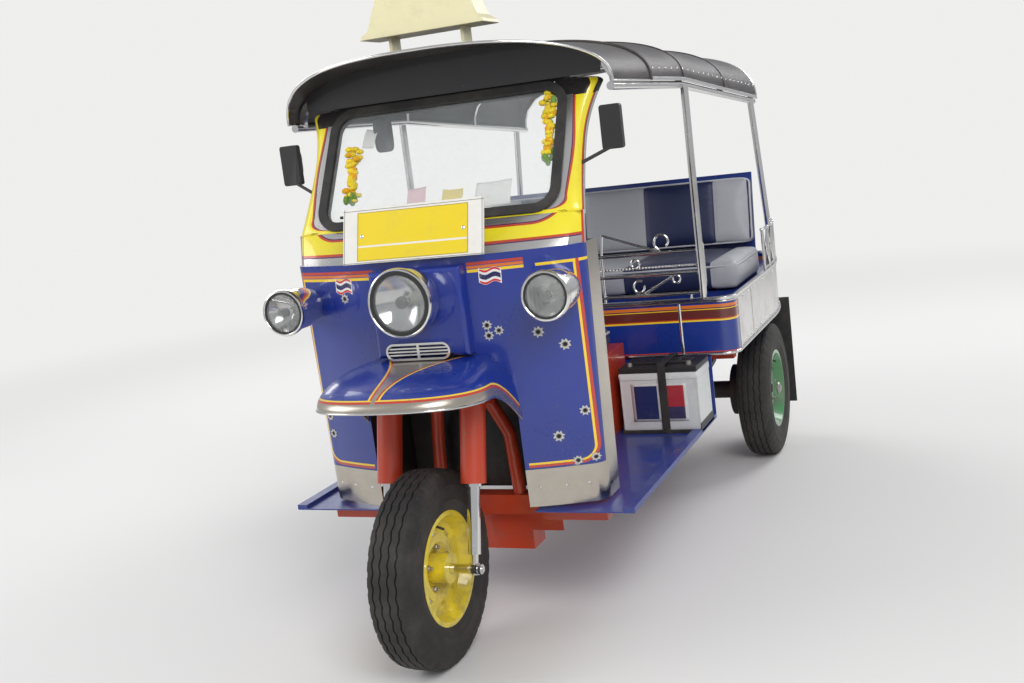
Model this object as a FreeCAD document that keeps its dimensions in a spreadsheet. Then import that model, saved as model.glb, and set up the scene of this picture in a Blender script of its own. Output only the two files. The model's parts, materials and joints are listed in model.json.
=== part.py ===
"""Three-wheeled auto rickshaw with a raised passenger tub, in millimetres.

Stations run back from the front axle. Every sub-part is drawn at its station, and its Placement
then carries it forward, so that the frame's origin lies on the ground below the middle of the
vehicle: +X is the vehicle's left, +Y its rear and +Z up.
"""
import FreeCAD, Part
import math
import os
import Sketcher

# Every size of the vehicle that can be set by itself: its name, its value and what it is
DIMENSIONS = [
    ("wheelbase", 2067, "front axle to rear axle"),
    ("track", 1084, "left rear tyre centre to right rear tyre centre"),
    ("rear_overhang", 500, "rear axle to the back of the bumper"),
    ("front_tyre_radius", 275, "front tyre, over the tread"),
    ("front_tyre_width", 133, "front tyre, over the sidewalls"),
    ("rear_tyre_radius", 272, "rear tyre, over the tread"),
    ("rear_tyre_width", 133, "rear tyre, over the sidewalls"),
    ("bead_radius", 150, "inner radius of a tyre, where it sits on the rim"),
    ("flange_height", 9, "rim flange above the bead"),
    ("rim_width", 104, "between the flanges of a rim"),
    ("rim_wall", 4, "sheet of a rim"),
    ("fit_gap", 0.3, "gap between pieces that only touch"),
    ("bearing_gap", 0.05, "radial clearance of a shaft in its bearing"),
    ("hub_radius", 42, "front hub"),
    ("hub_width", 118, "front hub, end to end"),
    ("front_axle_radius", 9, "front axle"),
    ("rear_stub_radius", 17, "stub of the rear axle in a wheel"),
    ("drum_radius", 105, "rear brake drum"),
    ("drum_depth", 44, "rear brake drum, front to back"),
    ("rake", 15.3, "degrees that the fork leans back"),
    ("steering_offset", 40, "from the fork legs back to the steering axis"),
    ("fork_track", 260, "between the centres of the fork legs"),
    ("slider_radius", 18.5, "bright lower leg"),
    ("slider_foot_radius", 11, "narrow foot of a lower leg"),
    ("slider_foot_top", 40, "axle to the shoulder of the foot, along the leg"),
    ("slider_collar_radius", 25, "bright collar under the shroud"),
    ("slider_collar_height", 8, "bright collar, along the leg"),
    ("axle_boss_radius", 16, "boss round the axle in a foot"),
    ("axle_boss_width", 26, "boss round the axle, across the vehicle"),
    ("shroud_radius", 36, "painted upper leg"),
    ("shroud_bottom", 232, "axle to the lower end of the shroud, along the leg"),
    ("shroud_top", 450, "axle to the upper end of the shroud, along the leg"),
    ("yoke_thickness", 24, "lower yoke of the fork"),
    ("yoke_margin", 42, "yoke round the legs and the stem"),
    ("stem_radius", 15, "steering stem"),
    ("head_bottom", 545, "axle to the lower end of the head tube, along the leg"),
    ("head_length", 190, "head tube"),
    ("head_radius", 25, "head tube"),
    ("bar_radius", 11, "handlebar tube"),
    ("grip_radius", 16, "handlebar grip"),
    ("grip_length", 105, "handlebar grip"),
    ("bar_half_width", 285, "steering axis to the end of a grip"),
    ("bar_sweep", 250, "steering axis back to the end of a grip"),
    ("bar_rise", -45, "end of a grip above the clamp"),
    ("rail_spread", 270, "middle of the vehicle to the middle of a chassis rail"),
    ("rail_width", 50, "chassis rail"),
    ("rail_height", 60, "chassis rail"),
    ("chassis_top", 372, "top of the chassis under the footboard"),
    ("chassis_front", 250, "front end of the rails"),
    ("kick_ahead", 597, "rear axle forward to where the rails begin to rise"),
    ("kick_length", 130, "sloping stretch of the rails"),
    ("kick_rise", 118, "rise of the rails over the rear axle"),
    ("rail_tail", 50, "bumper's back face to the rear end of the rails"),
    ("outrigger_gap", 100, "side of the footboard in to the end of a front outrigger"),
    ("member_length", 50, "cross member, along the vehicle"),
    ("gusset_bottom", 185, "lower edge of the bracket behind the front wheel"),
    ("gusset_half_width", 145, "bracket behind the front wheel"),
    ("downtube_radius", 20, "downtube from the steering head to the chassis"),
    ("pan_side_gap", 95, "side of the tub in to the side of the footboard"),
    ("pan_front", 190, "front edge of the footboard"),
    ("pan_tuck", 8, "front panel of the tub back to the footboard's upturned edge"),
    ("pan_sheet", 4, "sheet of the footboard"),
    ("lip_width", 34, "raised lip at the side of the footboard"),
    ("lip_height", 16, "raised lip above the chassis"),
    ("well_half_width", 235, "opening for the front wheel in the cowl"),
    ("well_shoulder", 700, "where the sides of the wheel opening begin to arch"),
    ("well_crown", 820, "top of the wheel opening"),
    ("well_back", 430, "rear wall of the wheel well"),
    ("member_station", 345, "front edge of the first cross member"),
    ("well_top", 838, "top of the wheel well"),
    ("cowl_side_gap", 181, "side of the tub in to the side of the cowl, at the belt line"),
    ("cowl_front", 145, "front of the cowl on the centre line, at the belt line"),
    ("cowl_bow", 105, "how far the cowl's front bows forward of its corners"),
    ("cowl_corner", 38, "corner radius of the cowl"),
    ("cowl_taper", 11, "each side of the cowl narrows by this much at the bottom"),
    ("cowl_tuck", 14, "front of the cowl goes back by this much at the bottom"),
    ("cowl_rear", 372, "rear edge of the cowl's side returns"),
    ("cowl_sheet", 4, "sheet of the cowl"),
    ("cowl_bottom", 388, "lower edge of the kick band"),
    ("band_top", 497, "where the kick band meets the painted cowl"),
    ("belt", 1114, "belt line, where cowl and windscreen frame meet"),
    ("nose_half_width", 142, "raised nose panel"),
    ("nose_front", 113, "front of the nose panel"),
    ("nose_bottom", 846, "lower edge of the nose panel"),
    ("nose_top", 1092, "upper edge of the nose panel"),
    ("grille_half_width", 99, "oval grille"),
    ("grille_height", 48, "oval grille"),
    ("grille_depth", 26, "oval grille, out of the nose"),
    ("grille_level", 868, "middle of the oval grille"),
    ("guard_half_width", 243, "front mudguard at the cowl"),
    ("guard_reach", 212, "front mudguard, forward of the axle"),
    ("guard_crown", 837, "front mudguard at the cowl"),
    ("guard_sheet", 3, "sheet of the front mudguard"),
    ("lamp_radius", 68, "side headlamp shell"),
    ("lamp_inset", 53, "side of the cowl in to the middle of a side headlamp"),
    ("lamp_station", 62, "front edge of a side headlamp"),
    ("lamp_level", 1002, "height of the side headlamps"),
    ("lamp_length", 190, "side headlamp, front to tail"),
    ("lamp_rim", 8, "rim of a headlamp round its lens"),
    ("main_lamp_radius", 96, "middle headlamp"),
    ("main_lamp_station", 15, "front edge of the middle headlamp"),
    ("main_lamp_level", 1014, "height of the middle headlamp"),
    ("plate_width", 435, "number plate"),
    ("plate_height", 158, "number plate"),
    ("plate_sheet", 6, "number plate with its frame"),
    ("plate_station", 128, "lower edge of the number plate"),
    ("plate_level", 1117, "lower edge of the number plate"),
    ("plate_lean", 17, "degrees that the number plate leans back"),
    ("plate_hole_spread", 314, "between the screw holes of the number plate"),
    ("plate_hole_radius", 3.5, "screw hole of the number plate"),
    ("plate_bracket_level", 30, "lower edge of the plate to its brackets"),
    ("plate_bracket_width", 24, "bracket of the number plate"),
    ("screen_station", 275, "foot of the windscreen frame"),
    ("screen_level", 1200, "foot of the windscreen frame"),
    ("screen_lean", 30.5, "degrees that the windscreen leans back"),
    ("screen_foot_flare", 1, "foot of the windscreen frame outside the cowl, each side"),
    ("screen_waist_inset", 15, "foot of the windscreen frame in to its waist, each side"),
    ("screen_head_flare", 25, "foot of the windscreen frame out to its head, each side"),
    ("screen_frame_length", 425, "windscreen frame along its slope"),
    ("screen_frame_depth", 34, "windscreen frame through its slope"),
    ("pillar_width", 68, "waist of the windscreen frame in to its opening"),
    ("window_foot", 18, "foot of the frame to the opening"),
    ("window_head", 24, "head of the frame to the opening"),
    ("window_corner", 62, "corner radius of the windscreen opening"),
    ("gasket_lap", 14, "rubber that covers the frame round the opening"),
    ("gasket_height", 8, "rubber above the frame"),
    ("glass_thickness", 5, "windscreen glass"),
    ("roof_side_gap", 105, "side of the tub in to the front tips of the roof"),
    ("roof_tip_station", 440, "front tips of the visor"),
    ("roof_peak_station", 238, "front of the visor on the centre line"),
    ("roof_edge", 1536, "side edge of the roof over the driver"),
    ("roof_crown", 1708, "crown of the roof over the driver"),
    ("visor_crown", 1685, "crown of the visor at its front"),
    ("visor_ahead", 393, "front posts forward to the joint of the visor and the canopy"),
    ("roof_behind", 373, "rear axle back to the rear edge of the canopy"),
    ("roof_rear_edge", 1462, "side edge of the canopy at its rear"),
    ("roof_rear_crown", 1684, "crown of the canopy at its rear"),
    ("roof_sheet", 6, "thickness of the canopy and the visor"),
    ("rib_radius", 9, "bent tube under the canopy"),
    ("rail_tube_radius", 12, "side tube under the canopy's edge"),
    ("post_radius", 12.7, "upright chrome post"),
    ("post_side_gap", 101, "side of the tub to the middle of a post"),
    ("post_setback", 7, "front panel of the tub back to the posts"),
    ("rear_post_behind", 263, "rear axle back to the rear posts"),
    ("tub_half_width", 635, "passenger tub"),
    ("tub_ahead", 861, "rear axle forward to the front panel of the tub"),
    ("tub_behind", 428, "rear axle back to the rear panel of the tub"),
    ("waist_ahead", 117, "rear axle forward to where the sides begin to draw in"),
    ("tub_tail_taper", 75, "each side draws in by this much at the rear corners"),
    ("tub_front_corner", 48, "front corner radius of the tub"),
    ("tub_rear_corner", 110, "rear corner radius of the tub"),
    ("tub_bottom", 600, "underside of the tub"),
    ("tub_top", 788, "top of the tub's walls"),
    ("tub_sheet", 4, "wall of the tub"),
    ("tub_wrap", 79, "painted front panel, back round its corner to the bright sides"),
    ("cap_width", 16, "bright cap on the tub's walls"),
    ("cap_height", 12, "bright cap on the tub's walls"),
    ("riser_ahead", 467, "rear axle forward to the riser under the bench"),
    ("seat_box_top", 764, "deck under the bench"),
    ("bench_side_gap", 50, "side of the tub to the end of the bench cushion"),
    ("bench_ahead", 507, "rear axle forward to the front of the bench cushion"),
    ("bench_depth", 460, "bench cushion, front to back"),
    ("bench_height", 118, "bench cushion"),
    ("bench_crown", 24, "rounding of the bench cushion"),
    ("backrest_side_gap", 65, "side of the tub to the end of the backrest"),
    ("backrest_height", 268, "backrest cushion"),
    ("backrest_thickness", 95, "backrest cushion"),
    ("backrest_lean", 8, "degrees that the backrest leans back"),
    ("board_side_gap", 160, "rear corner of the tub to the side of the luggage board"),
    ("board_behind", 58, "rear axle back to the front edge of the luggage board"),
    ("board_sheet", 6, "luggage board"),
    ("dash_depth", 90, "foot of the windscreen to the rear edge of the dashboard"),
    ("dash_sheet", 24, "dashboard"),
    ("lattice_ahead", 237, "rear axle forward to the front end of a side lattice"),
    ("lattice_behind", 178, "rear axle back to the rear end of a side lattice"),
    ("lattice_height", 150, "side lattice at its rear"),
    ("lattice_bar", 6, "radius of a lattice bar"),
    ("partition_bar", 7, "radius of a partition bar"),
    ("partition_height", 164, "cap of the tub to the top rail of the partition"),
    ("shaft_level", 480, "height of the engine's output"),
    ("shaft_window", 120, "width of the gap in the walls for the propeller shaft"),
    ("shaft_window_top", 562, "top of the gap in the walls for the propeller shaft"),
    ("engine_half_width", 195, "engine"),
    ("engine_setback", 55, "front of the driver's box back to the engine"),
    ("engine_length", 350, "engine, front to back"),
    ("engine_bottom", 332, "engine"),
    ("engine_top", 600, "engine"),
    ("driver_box_half_width", 238, "box under the driver's seat"),
    ("driver_box_gap", 26, "box under the driver's seat to the front panel of the tub"),
    ("driver_box_length", 445, "box under the driver's seat, front to back"),
    ("driver_box_top", 660, "box under the driver's seat"),
    ("driver_seat_height", 80, "driver's cushion"),
    ("battery_width", 268, "battery, across the vehicle"),
    ("battery_depth", 172, "battery, along the vehicle"),
    ("battery_height", 198, "battery case"),
    ("battery_outer", 537, "middle of the vehicle to the outer face of the battery"),
    ("battery_gap", 34, "battery to the front panel of the tub"),
    ("axle_tube_radius", 36, "rear axle tube"),
    ("differential_radius", 105, "housing in the middle of the rear axle"),
    ("spring_half_length", 412, "leaf spring, half its span"),
    ("spring_rise", 62, "eyes of a leaf spring above its middle"),
    ("spring_width", 45, "leaf spring"),
    ("leaf_thickness", 7, "one leaf"),
    ("muffler_radius", 55, "silencer"),
    ("bumper_radius", 19, "rear bumper tube"),
    ("bumper_level", 440, "height of the rear bumper"),
    ("bumper_collar_radius", 24, "collar that holds the bumper tube"),
    ("bumper_collar_length", 44, "collar that holds the bumper tube, along it"),
    ("bumper_arm_width", 40, "arm from a rail to a bumper collar"),
    ("bumper_arm_height", 24, "arm from a rail to a bumper collar"),
    ("flap_width", 150, "mud flap"),
    ("flap_bottom", 135, "lower edge of a mud flap"),
    ("rim_slots", 8, "slots round a wheel disc"),
    ("rim_slot_radius", 101, "middle of a slot from the axle"),
    ("rim_slot_height", 15, "slot, along the wheel's radius"),
    ("rim_slot_width", 34, "slot, along the wheel's turn"),
    ("disc_step", 30, "hub to the highest ring of a wheel disc"),
    ("engine_hole_gap", 8, "hole of the footboard round the engine"),
    ("notch_gap", 12, "opening of the cowl to the notch of the footboard"),
    ("exhaust_side", 150, "middle of the vehicle to the silencer"),
    ("exhaust_level", 250, "height of the silencer"),
    ("exhaust_pipe_radius", 17, "exhaust pipe"),
    ("muffler_ahead", 827, "rear axle forward to the front of the silencer"),
    ("muffler_length", 400, "silencer"),
    ("tail_pipe_length", 150, "silencer to the end of the tail pipe"),
    ("tail_lamp_spread", 400, "middle of the vehicle to a tail lamp"),
    ("tail_lamp_width", 110, "tail lamp"),
    ("tail_lamp_height", 65, "tail lamp"),
    ("tail_lamp_bottom", 650, "lower edge of a tail lamp"),
    ("tail_lamp_depth", 28, "tail lamp, out of the tub"),
    ("flap_sheet", 6, "mud flap"),
    ("flap_gap", 50, "rear tyre's tread back to a mud flap"),
    ("mirror_width", 60, "mirror head"),
    ("mirror_height", 122, "mirror head"),
    ("mirror_depth", 22, "mirror head"),
    ("mirror_reach", 80, "waist of the windscreen frame out to the middle of a mirror"),
    ("mirror_arm_radius", 5, "arm of a mirror"),
    ("mirror_foot", 150, "foot of the windscreen frame up its slope to a mirror's arm"),
    ("mirror_back", 45, "windscreen frame back to a mirror"),
    ("mirror_rise", 40, "foot of a mirror's arm to its head"),
    ("mirror_corner", 8, "corner radius of a mirror head"),
    ("partition_curl", 4, "half the thickness of a curl of the partition"),
    ("rim_drop", 16, "bead seat down to the well of a rim"),
    ("rim_well_width", 32, "well of a rim"),
    ("disc_dish", 18, "how far a wheel disc bulges past its foot"),
    ("rear_hub_width", 60, "rear hub, end to end"),
    ("rear_dish", 6, "how far the disc of a rear wheel stands out"),
    ("clamp_height", 42, "head tube to the top of the stem"),
    ("axle_nut_width", 10, "nut of the front axle"),
    ("axle_nut_radius", 14, "nut of the front axle"),
    ("axle_thread", 4, "front axle past its nut"),
    ("axle_spacer_radius", 13, "spacer between the hub and a fork leg"),
    ("grip_toe", 60, "how much further back the end of a grip is than its start"),
    ("grip_lift", 12, "how much higher the end of a grip is than its start"),
    ("bar_clamp_half_width", 70, "straight middle of the handlebar, half its length"),
    ("bar_clamp_radius", 26, "clamp of the handlebar"),
    ("bar_bend", 32, "bend radius of the handlebar"),
    ("rail_nose", 18, "how much shallower a rail is at its front end"),
    ("engine_mount_inset", 20, "end of the engine in to the member that carries it"),
    ("engine_corner", 18, "corner radius of the engine"),
    ("tub_bearer_gap", 40, "tub's rear corner in to the ends of the bearers and the bumper"),
    ("gusset_sheet", 6, "upright web behind the front wheel"),
    ("gusset_web_bottom", 245, "lower edge of the web behind the front wheel"),
    ("gusset_depth", 90, "bracket behind the front wheel, front to back"),
    ("driver_box_sheet", 3, "sheet of the box under the driver's seat"),
    ("driver_cushion_inset", 12, "edge of that box in to the cushion"),
    ("driver_cushion_crown", 24, "rounding of the driver's cushion"),
    ("battery_rim", 6, "tray round the foot of the battery"),
    ("battery_corner", 8, "corner radius of the battery case"),
    ("battery_lid", 20, "lid of the battery"),
    ("terminal_width", 16, "battery terminal"),
    ("terminal_inset", 45, "end of the battery to the middle of a terminal"),
    ("terminal_height", 16, "battery terminal"),
    ("tail_lamp_corner", 10, "rounding of a tail lamp"),
    ("exhaust_port", 210, "front of the engine to the exhaust pipe"),
    ("hanger_ahead", 40, "front of the exhaust's hanger, ahead of the rising rails"),
    ("hanger_sheet", 20, "hanger of the exhaust, front to back"),
    ("hanger_width", 70, "hanger of the exhaust"),
    ("sign_station", 420, "middle of the roof sign"),
    ("sign_foot", 1741, "underside of the roof sign"),
    ("sign_height", 190, "roof sign"),
    ("sign_half_width", 197, "flared foot of the roof sign"),
    ("sign_depth", 120, "roof sign, front to back"),
    ("sign_leg_spread", 230, "between the legs of the roof sign"),
    ("sign_leg_step", 60, "foot of a sign leg, front to back"),
    ("sign_leg_radius", 5, "bent rod of a sign leg"),
]


class Length:
    """A number together with the sheet expression that gives it."""

    def __init__(self, value, text):
        self.value = float(value)
        self.text = text

    def _joined(self, other, sign, value):
        return Length(value, "(" + self.text + " " + sign + " " + as_length(other).text + ")")

    def __add__(self, other):
        return self._joined(other, "+", self.value + float(other))

    def __sub__(self, other):
        return self._joined(other, "-", self.value - float(other))

    def __mul__(self, other):
        return self._joined(other, "*", self.value * float(other))

    def __truediv__(self, other):
        return self._joined(other, "/", self.value / float(other))

    def __radd__(self, other):
        return as_length(other) + self

    def __rsub__(self, other):
        return as_length(other) - self

    def __rmul__(self, other):
        return as_length(other) * self

    def __neg__(self):
        return Length(-self.value, "(-1 * " + self.text + ")")

    def __float__(self):
        return self.value


def as_length(number):
    """A plain number as a Length, and a Length as it is."""
    if isinstance(number, Length):
        return number
    return Length(number, "(" + repr(float(number)) + ")")


class Sizes:
    """Reads the driving dimensions back from the sheet by their names."""

    def __init__(self, sheet):
        self.sheet = sheet

    def __getattr__(self, name):
        return Length(self.sheet.get(name), "Sizes." + name)


class Plan:
    """Stations and half widths that follow the rear axle and the tub when those change."""

    def __init__(self, sizes):
        axle = sizes.wheelbase
        self.tub_front = axle - sizes.tub_ahead
        self.tub_rear = axle + sizes.tub_behind
        self.tub_waist = axle - sizes.waist_ahead
        self.tub_split = self.tub_front + sizes.tub_wrap
        self.tub_tail_half_width = sizes.tub_half_width - sizes.tub_tail_taper
        self.seat_box_front = axle - sizes.riser_ahead
        self.bench_front = axle - sizes.bench_ahead
        self.bench_half_width = sizes.tub_half_width - sizes.bench_side_gap
        self.backrest_half_width = sizes.tub_half_width - sizes.backrest_side_gap
        self.bearer_half_width = self.tub_tail_half_width - sizes.tub_bearer_gap
        self.board_front = axle + sizes.board_behind
        self.board_half_width = self.tub_tail_half_width - sizes.board_side_gap
        self.lattice_front = axle - sizes.lattice_ahead
        self.lattice_rear = axle + sizes.lattice_behind
        self.post_spread = sizes.tub_half_width - sizes.post_side_gap
        self.post_station = self.tub_front + sizes.post_setback
        self.rear_post_station = axle + sizes.rear_post_behind
        self.roof_split = self.post_station - sizes.visor_ahead
        self.roof_bend = self.post_station
        self.roof_rear = axle + sizes.roof_behind
        self.kick_start = axle - sizes.kick_ahead
        self.kick_end = self.kick_start + sizes.kick_length
        self.driver_box_rear = self.tub_front - sizes.driver_box_gap
        self.driver_box_front = self.driver_box_rear - sizes.driver_box_length
        self.engine_front = self.driver_box_front + sizes.engine_setback
        self.engine_rear = self.engine_front + sizes.engine_length
        self.battery_station = self.tub_front - sizes.battery_gap - sizes.battery_depth
        self.roof_half_width = sizes.tub_half_width - sizes.roof_side_gap
        self.pan_half_width = sizes.tub_half_width - sizes.pan_side_gap
        self.outrigger_reach = self.pan_half_width - sizes.outrigger_gap
        self.cowl_half_width = sizes.tub_half_width - sizes.cowl_side_gap
        self.lamp_spread = self.cowl_half_width - sizes.lamp_inset
        self.screen_frame_half_width = self.cowl_half_width + sizes.screen_foot_flare
        self.screen_waist_half_width = self.screen_frame_half_width - sizes.screen_waist_inset
        self.screen_head_half_width = self.screen_frame_half_width + sizes.screen_head_flare
        self.window_half_width = self.screen_waist_half_width - sizes.pillar_width
        self.mirror_spread = self.screen_waist_half_width + sizes.mirror_reach
        self.pan_rear = self.tub_front + sizes.pan_tuck
        self.muffler_front = axle - sizes.muffler_ahead


document = FreeCAD.newDocument("AutoRickshaw")
sheet = document.addObject("Spreadsheet::Sheet", "Sizes")
for row, (name, value, meaning) in enumerate(DIMENSIONS, start=1):
    sheet.set("A" + str(row), meaning)
    sheet.set("B" + str(row), str(value))
    sheet.setAlias("B" + str(row), name)
document.recompute()
S = Sizes(sheet)
PLAN = Plan(S)
V = FreeCAD.Vector
AXES = {"X": V(1, 0, 0), "Y": V(0, 1, 0), "Z": V(0, 0, 1)}

# Middle of the vehicle, as a station: half way from the front tyre's tread to the bumper's back
MIDDLE = (S.wheelbase + S.rear_overhang - S.front_tyre_radius) / 2
TAIL = S.wheelbase + S.rear_overhang
pieces = []


def bind(item, path, length):
    """Ties one property of an object to the sheet."""
    item.setExpression(path, as_length(length).text)


def keep(item, label):
    """Labels a finished sub-part, carries it from its station to the frame and lists it."""
    item.Label = label
    pieces.append(item)
    return item


def settled(shape):
    """The same shape with its own turn and shift worked into its geometry."""
    matrix = shape.Placement.toMatrix()
    level = shape.copy()
    level.Placement = FreeCAD.Placement()
    return level.transformed(matrix, True)


def shape_piece(label, shape):
    """A sub-part whose shape is worked out in code from the sheet's values."""
    item = document.addObject("Part::Feature", label)
    item.Shape = settled(shape)
    bind(item, "Placement.Base.y", -MIDDLE)
    return keep(item, label)


def fused(shapes):
    """One solid from touching or crossing ones."""
    first = shapes[0]
    return first.fuse(shapes[1:]).removeSplitter() if len(shapes) > 1 else first


def flat_bar(start, end, side, width):
    """A square bar from one point to another, with one pair of its faces square to a direction."""
    along = (end - start).normalize()
    up = along.cross(side).normalize() * (width / 2)
    out = side * (width / 2)
    corners = [start + up + out, start - up + out, start - up - out, start + up - out]
    return Part.Face(Part.makePolygon(corners + corners[:1])).extrude(end - start)


def block(x0, x1, y0, y1, z0, z1):
    """A box between two stations, two sides and two levels."""
    x0, x1, y0, y1, z0, z1 = [float(v) for v in (x0, x1, y0, y1, z0, z1)]
    return Part.makeBox(x1 - x0, y1 - y0, z1 - z0, V(x0, y0, z0))


def cylinder(start, end, radius):
    """A round bar from one point to another."""
    start, end = V(*[float(v) for v in start]), V(*[float(v) for v in end])
    return Part.makeCylinder(float(radius), (end - start).Length, start, end - start)


def bar(points, radius, bend):
    """A round bar along straight runs joined by arcs tangent to them."""
    points = [V(*[float(v) for v in p]) for p in points]
    edges = []
    last = points[0]
    for before, corner, after in zip(points, points[1:], points[2:]):
        back = (before - corner).normalize()
        ahead = (after - corner).normalize()
        turn = math.pi - back.getAngle(ahead)
        setback = float(bend) * math.tan(turn / 2)
        inside = (back + ahead).normalize() * (float(bend) / math.cos(turn / 2) - float(bend))
        start, end = corner + back * setback, corner + ahead * setback
        edges.append(Part.LineSegment(last, start).toShape())
        edges.append(Part.Arc(start, corner + inside, end).toShape())
        last = end
    edges.append(Part.LineSegment(last, points[-1]).toShape())
    circle = Part.Circle(points[0], points[1] - points[0], float(radius)).toShape()
    return Part.Wire(edges).makePipeShell([Part.Wire(circle)], True, True)


def arc_path(points, radius):
    """A round bar along one arc through three points."""
    first, middle, last = [V(*[float(v) for v in p]) for p in points]
    arc = Part.Arc(first, middle, last)
    circle = Part.Circle(first, arc.tangent(arc.FirstParameter)[0], float(radius)).toShape()
    return Part.Wire([arc.toShape()]).makePipeShell([Part.Wire(circle)], True, True)


def revolved(profile, axis_height, station=0.0, across=0.0):
    """A wheel-like solid: a profile of (across, radius) points turned about a crosswise axis."""
    corners = [V(float(across) + float(x), float(station), float(axis_height) + float(r)) for x, r in profile]
    wire = Part.makePolygon(corners + corners[:1])
    axis_point = V(0, float(station), float(axis_height))
    return Part.Face(wire).revolve(axis_point, V(1, 0, 0), 360)


def sketch_on(body, role, offset=0.0):
    """A sketch on one of the body's own origin planes, moved along the plane's normal."""
    plane = next(f for f in body.Origin.OriginFeatures if f.Role == role)
    sketch = body.newObject("Sketcher::SketchObject", body.Name + "Sketch")
    sketch.AttachmentSupport = [(plane, "")]
    sketch.MapMode = "FlatFace"
    bind(sketch, "AttachmentOffset.Base.z", offset)
    return sketch


def outline(sketch, corners):
    """Closed loop of straight lines through corners that the sheet places."""
    first = sketch.GeometryCount
    count = len(corners)
    for place, (x, y) in enumerate(corners):
        ahead = corners[(place + 1) % count]
        line = Part.LineSegment(V(float(x), float(y), 0), V(float(ahead[0]), float(ahead[1]), 0))
        sketch.addGeometry(line, False)
    for place, (x, y) in enumerate(corners):
        edge = first + place
        ahead = first + (place + 1) % count
        sketch.addConstraint(Sketcher.Constraint("Coincident", edge, 2, ahead, 1))
        for kind, length in (("DistanceX", x), ("DistanceY", y)):
            index = sketch.addConstraint(Sketcher.Constraint(kind, -1, 1, edge, 1, float(length)))
            bind(sketch, "Constraints[" + str(index) + "]", length)


def pad(body, role, offset, loops, length):
    """A prism of closed loops, from the offset plane along the plane's normal."""
    sketch = sketch_on(body, role, offset)
    for loop in loops:
        outline(sketch, loop)
    feature = body.newObject("PartDesign::Pad", body.Name + "Pad")
    feature.Profile = sketch
    bind(feature, "Length", length)
    return feature


def new_body(label):
    """An empty PartDesign body that stands at the vehicle's stations."""
    body = document.addObject("PartDesign::Body", label)
    bind(body, "Placement.Base.y", -MIDDLE)
    return keep(body, label)


def box_item(label, x0, x1, y0, y1, z0, z1):
    """A box between two sides, two stations and two levels that the sheet gives."""
    item = document.addObject("Part::Box", label)
    for path, length in (("Length", x1 - x0), ("Width", y1 - y0), ("Height", z1 - z0),
                         ("Placement.Base.x", x0), ("Placement.Base.y", y0), ("Placement.Base.z", z0)):
        bind(item, path, length)
    return item


def rod_item(label, axis, start, length, radius):
    """A round bar along X, Y or Z from a point that the sheet gives."""
    item = document.addObject("Part::Cylinder", label)
    item.Placement = FreeCAD.Placement(V(), FreeCAD.Rotation(V(0, 0, 1), AXES[axis]))
    x, y, z = start
    for path, value in (("Radius", radius), ("Height", length), ("Placement.Base.x", x),
                        ("Placement.Base.y", y), ("Placement.Base.z", z)):
        bind(item, path, value)
    return item


def shape_item(label, shape):
    """A step towards a sub-part, whose shape is worked out in code."""
    item = document.addObject("Part::Feature", label)
    item.Shape = shape
    return item


def joined(label, items):
    """Pieces fused where they touch; those that stand apart stay solids of their own."""
    item = document.addObject("Part::MultiFuse", label)
    item.Shapes = items
    item.Refine = True
    return item


def less(label, base, tool):
    """One piece with another taken out of it."""
    item = document.addObject("Part::Cut", label)
    item.Base = base
    item.Tool = tool
    return item


def stand(item, label):
    """Finishes a sub-part that was put together at its station."""
    bind(item, "Placement.Base.y", -MIDDLE)
    return keep(item, label)


def origin_feature(body, role):
    """One of a body's own origin planes or axes."""
    return next(f for f in body.Origin.OriginFeatures if f.Role == role)


def turned(body, profile):
    """A profile of (across, radius) points turned about the body's own crosswise axis."""
    sketch = sketch_on(body, "XY_Plane")
    outline(sketch, profile)
    feature = body.newObject("PartDesign::Revolution", body.Name + "Revolution")
    feature.Profile = sketch
    feature.ReferenceAxis = (sketch, ["H_Axis"])
    feature.Angle = 360
    return feature


def softened(body, feature, radius, picked):
    """Rounds the edges of a feature that a test picks."""
    document.recompute()
    edges = ["Edge" + str(i) for i, edge in enumerate(feature.Shape.Edges, start=1) if picked(edge.BoundBox)]
    fillet = body.newObject("PartDesign::Fillet", body.Name + "Fillet")
    fillet.Base = (feature, edges)
    bind(fillet, "Radius", radius)
    return fillet


def wheel_body(label, across, station, level):
    """An empty body whose origin is the middle of a wheel."""
    body = document.addObject("PartDesign::Body", label)
    bind(body, "Placement.Base.x", across)
    bind(body, "Placement.Base.y", station - MIDDLE)
    bind(body, "Placement.Base.z", level)
    return keep(body, label)


def rectangle(x0, x1, y0, y1):
    """Corners of a rectangle in a sketch."""
    return [(x0, y0), (x1, y0), (x1, y1), (x0, y1)]


def leg_point(x, along, back=0.0):
    """A point of the fork: along the leg from the axle, and back from the leg's line."""
    rake = math.radians(float(S.rake))
    along, back = float(along), float(back)
    y = along * math.sin(rake) + back * math.cos(rake)
    z = float(S.front_tyre_radius) + along * math.cos(rake) - back * math.sin(rake)
    return V(float(x), y, z)


def tyre_profile(radius, width):
    """Section of a tyre as (across, radius) points, from bead to bead over the tread."""
    seat = S.bead_radius + S.fit_gap
    wall, tread = seat + (radius - seat) * 0.44, width * 0.39
    right = [(S.rim_width / 2 - S.fit_gap, seat), (width / 2, wall), (tread, radius)]
    return right + [(-x, r) for x, r in reversed(right)]


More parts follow.
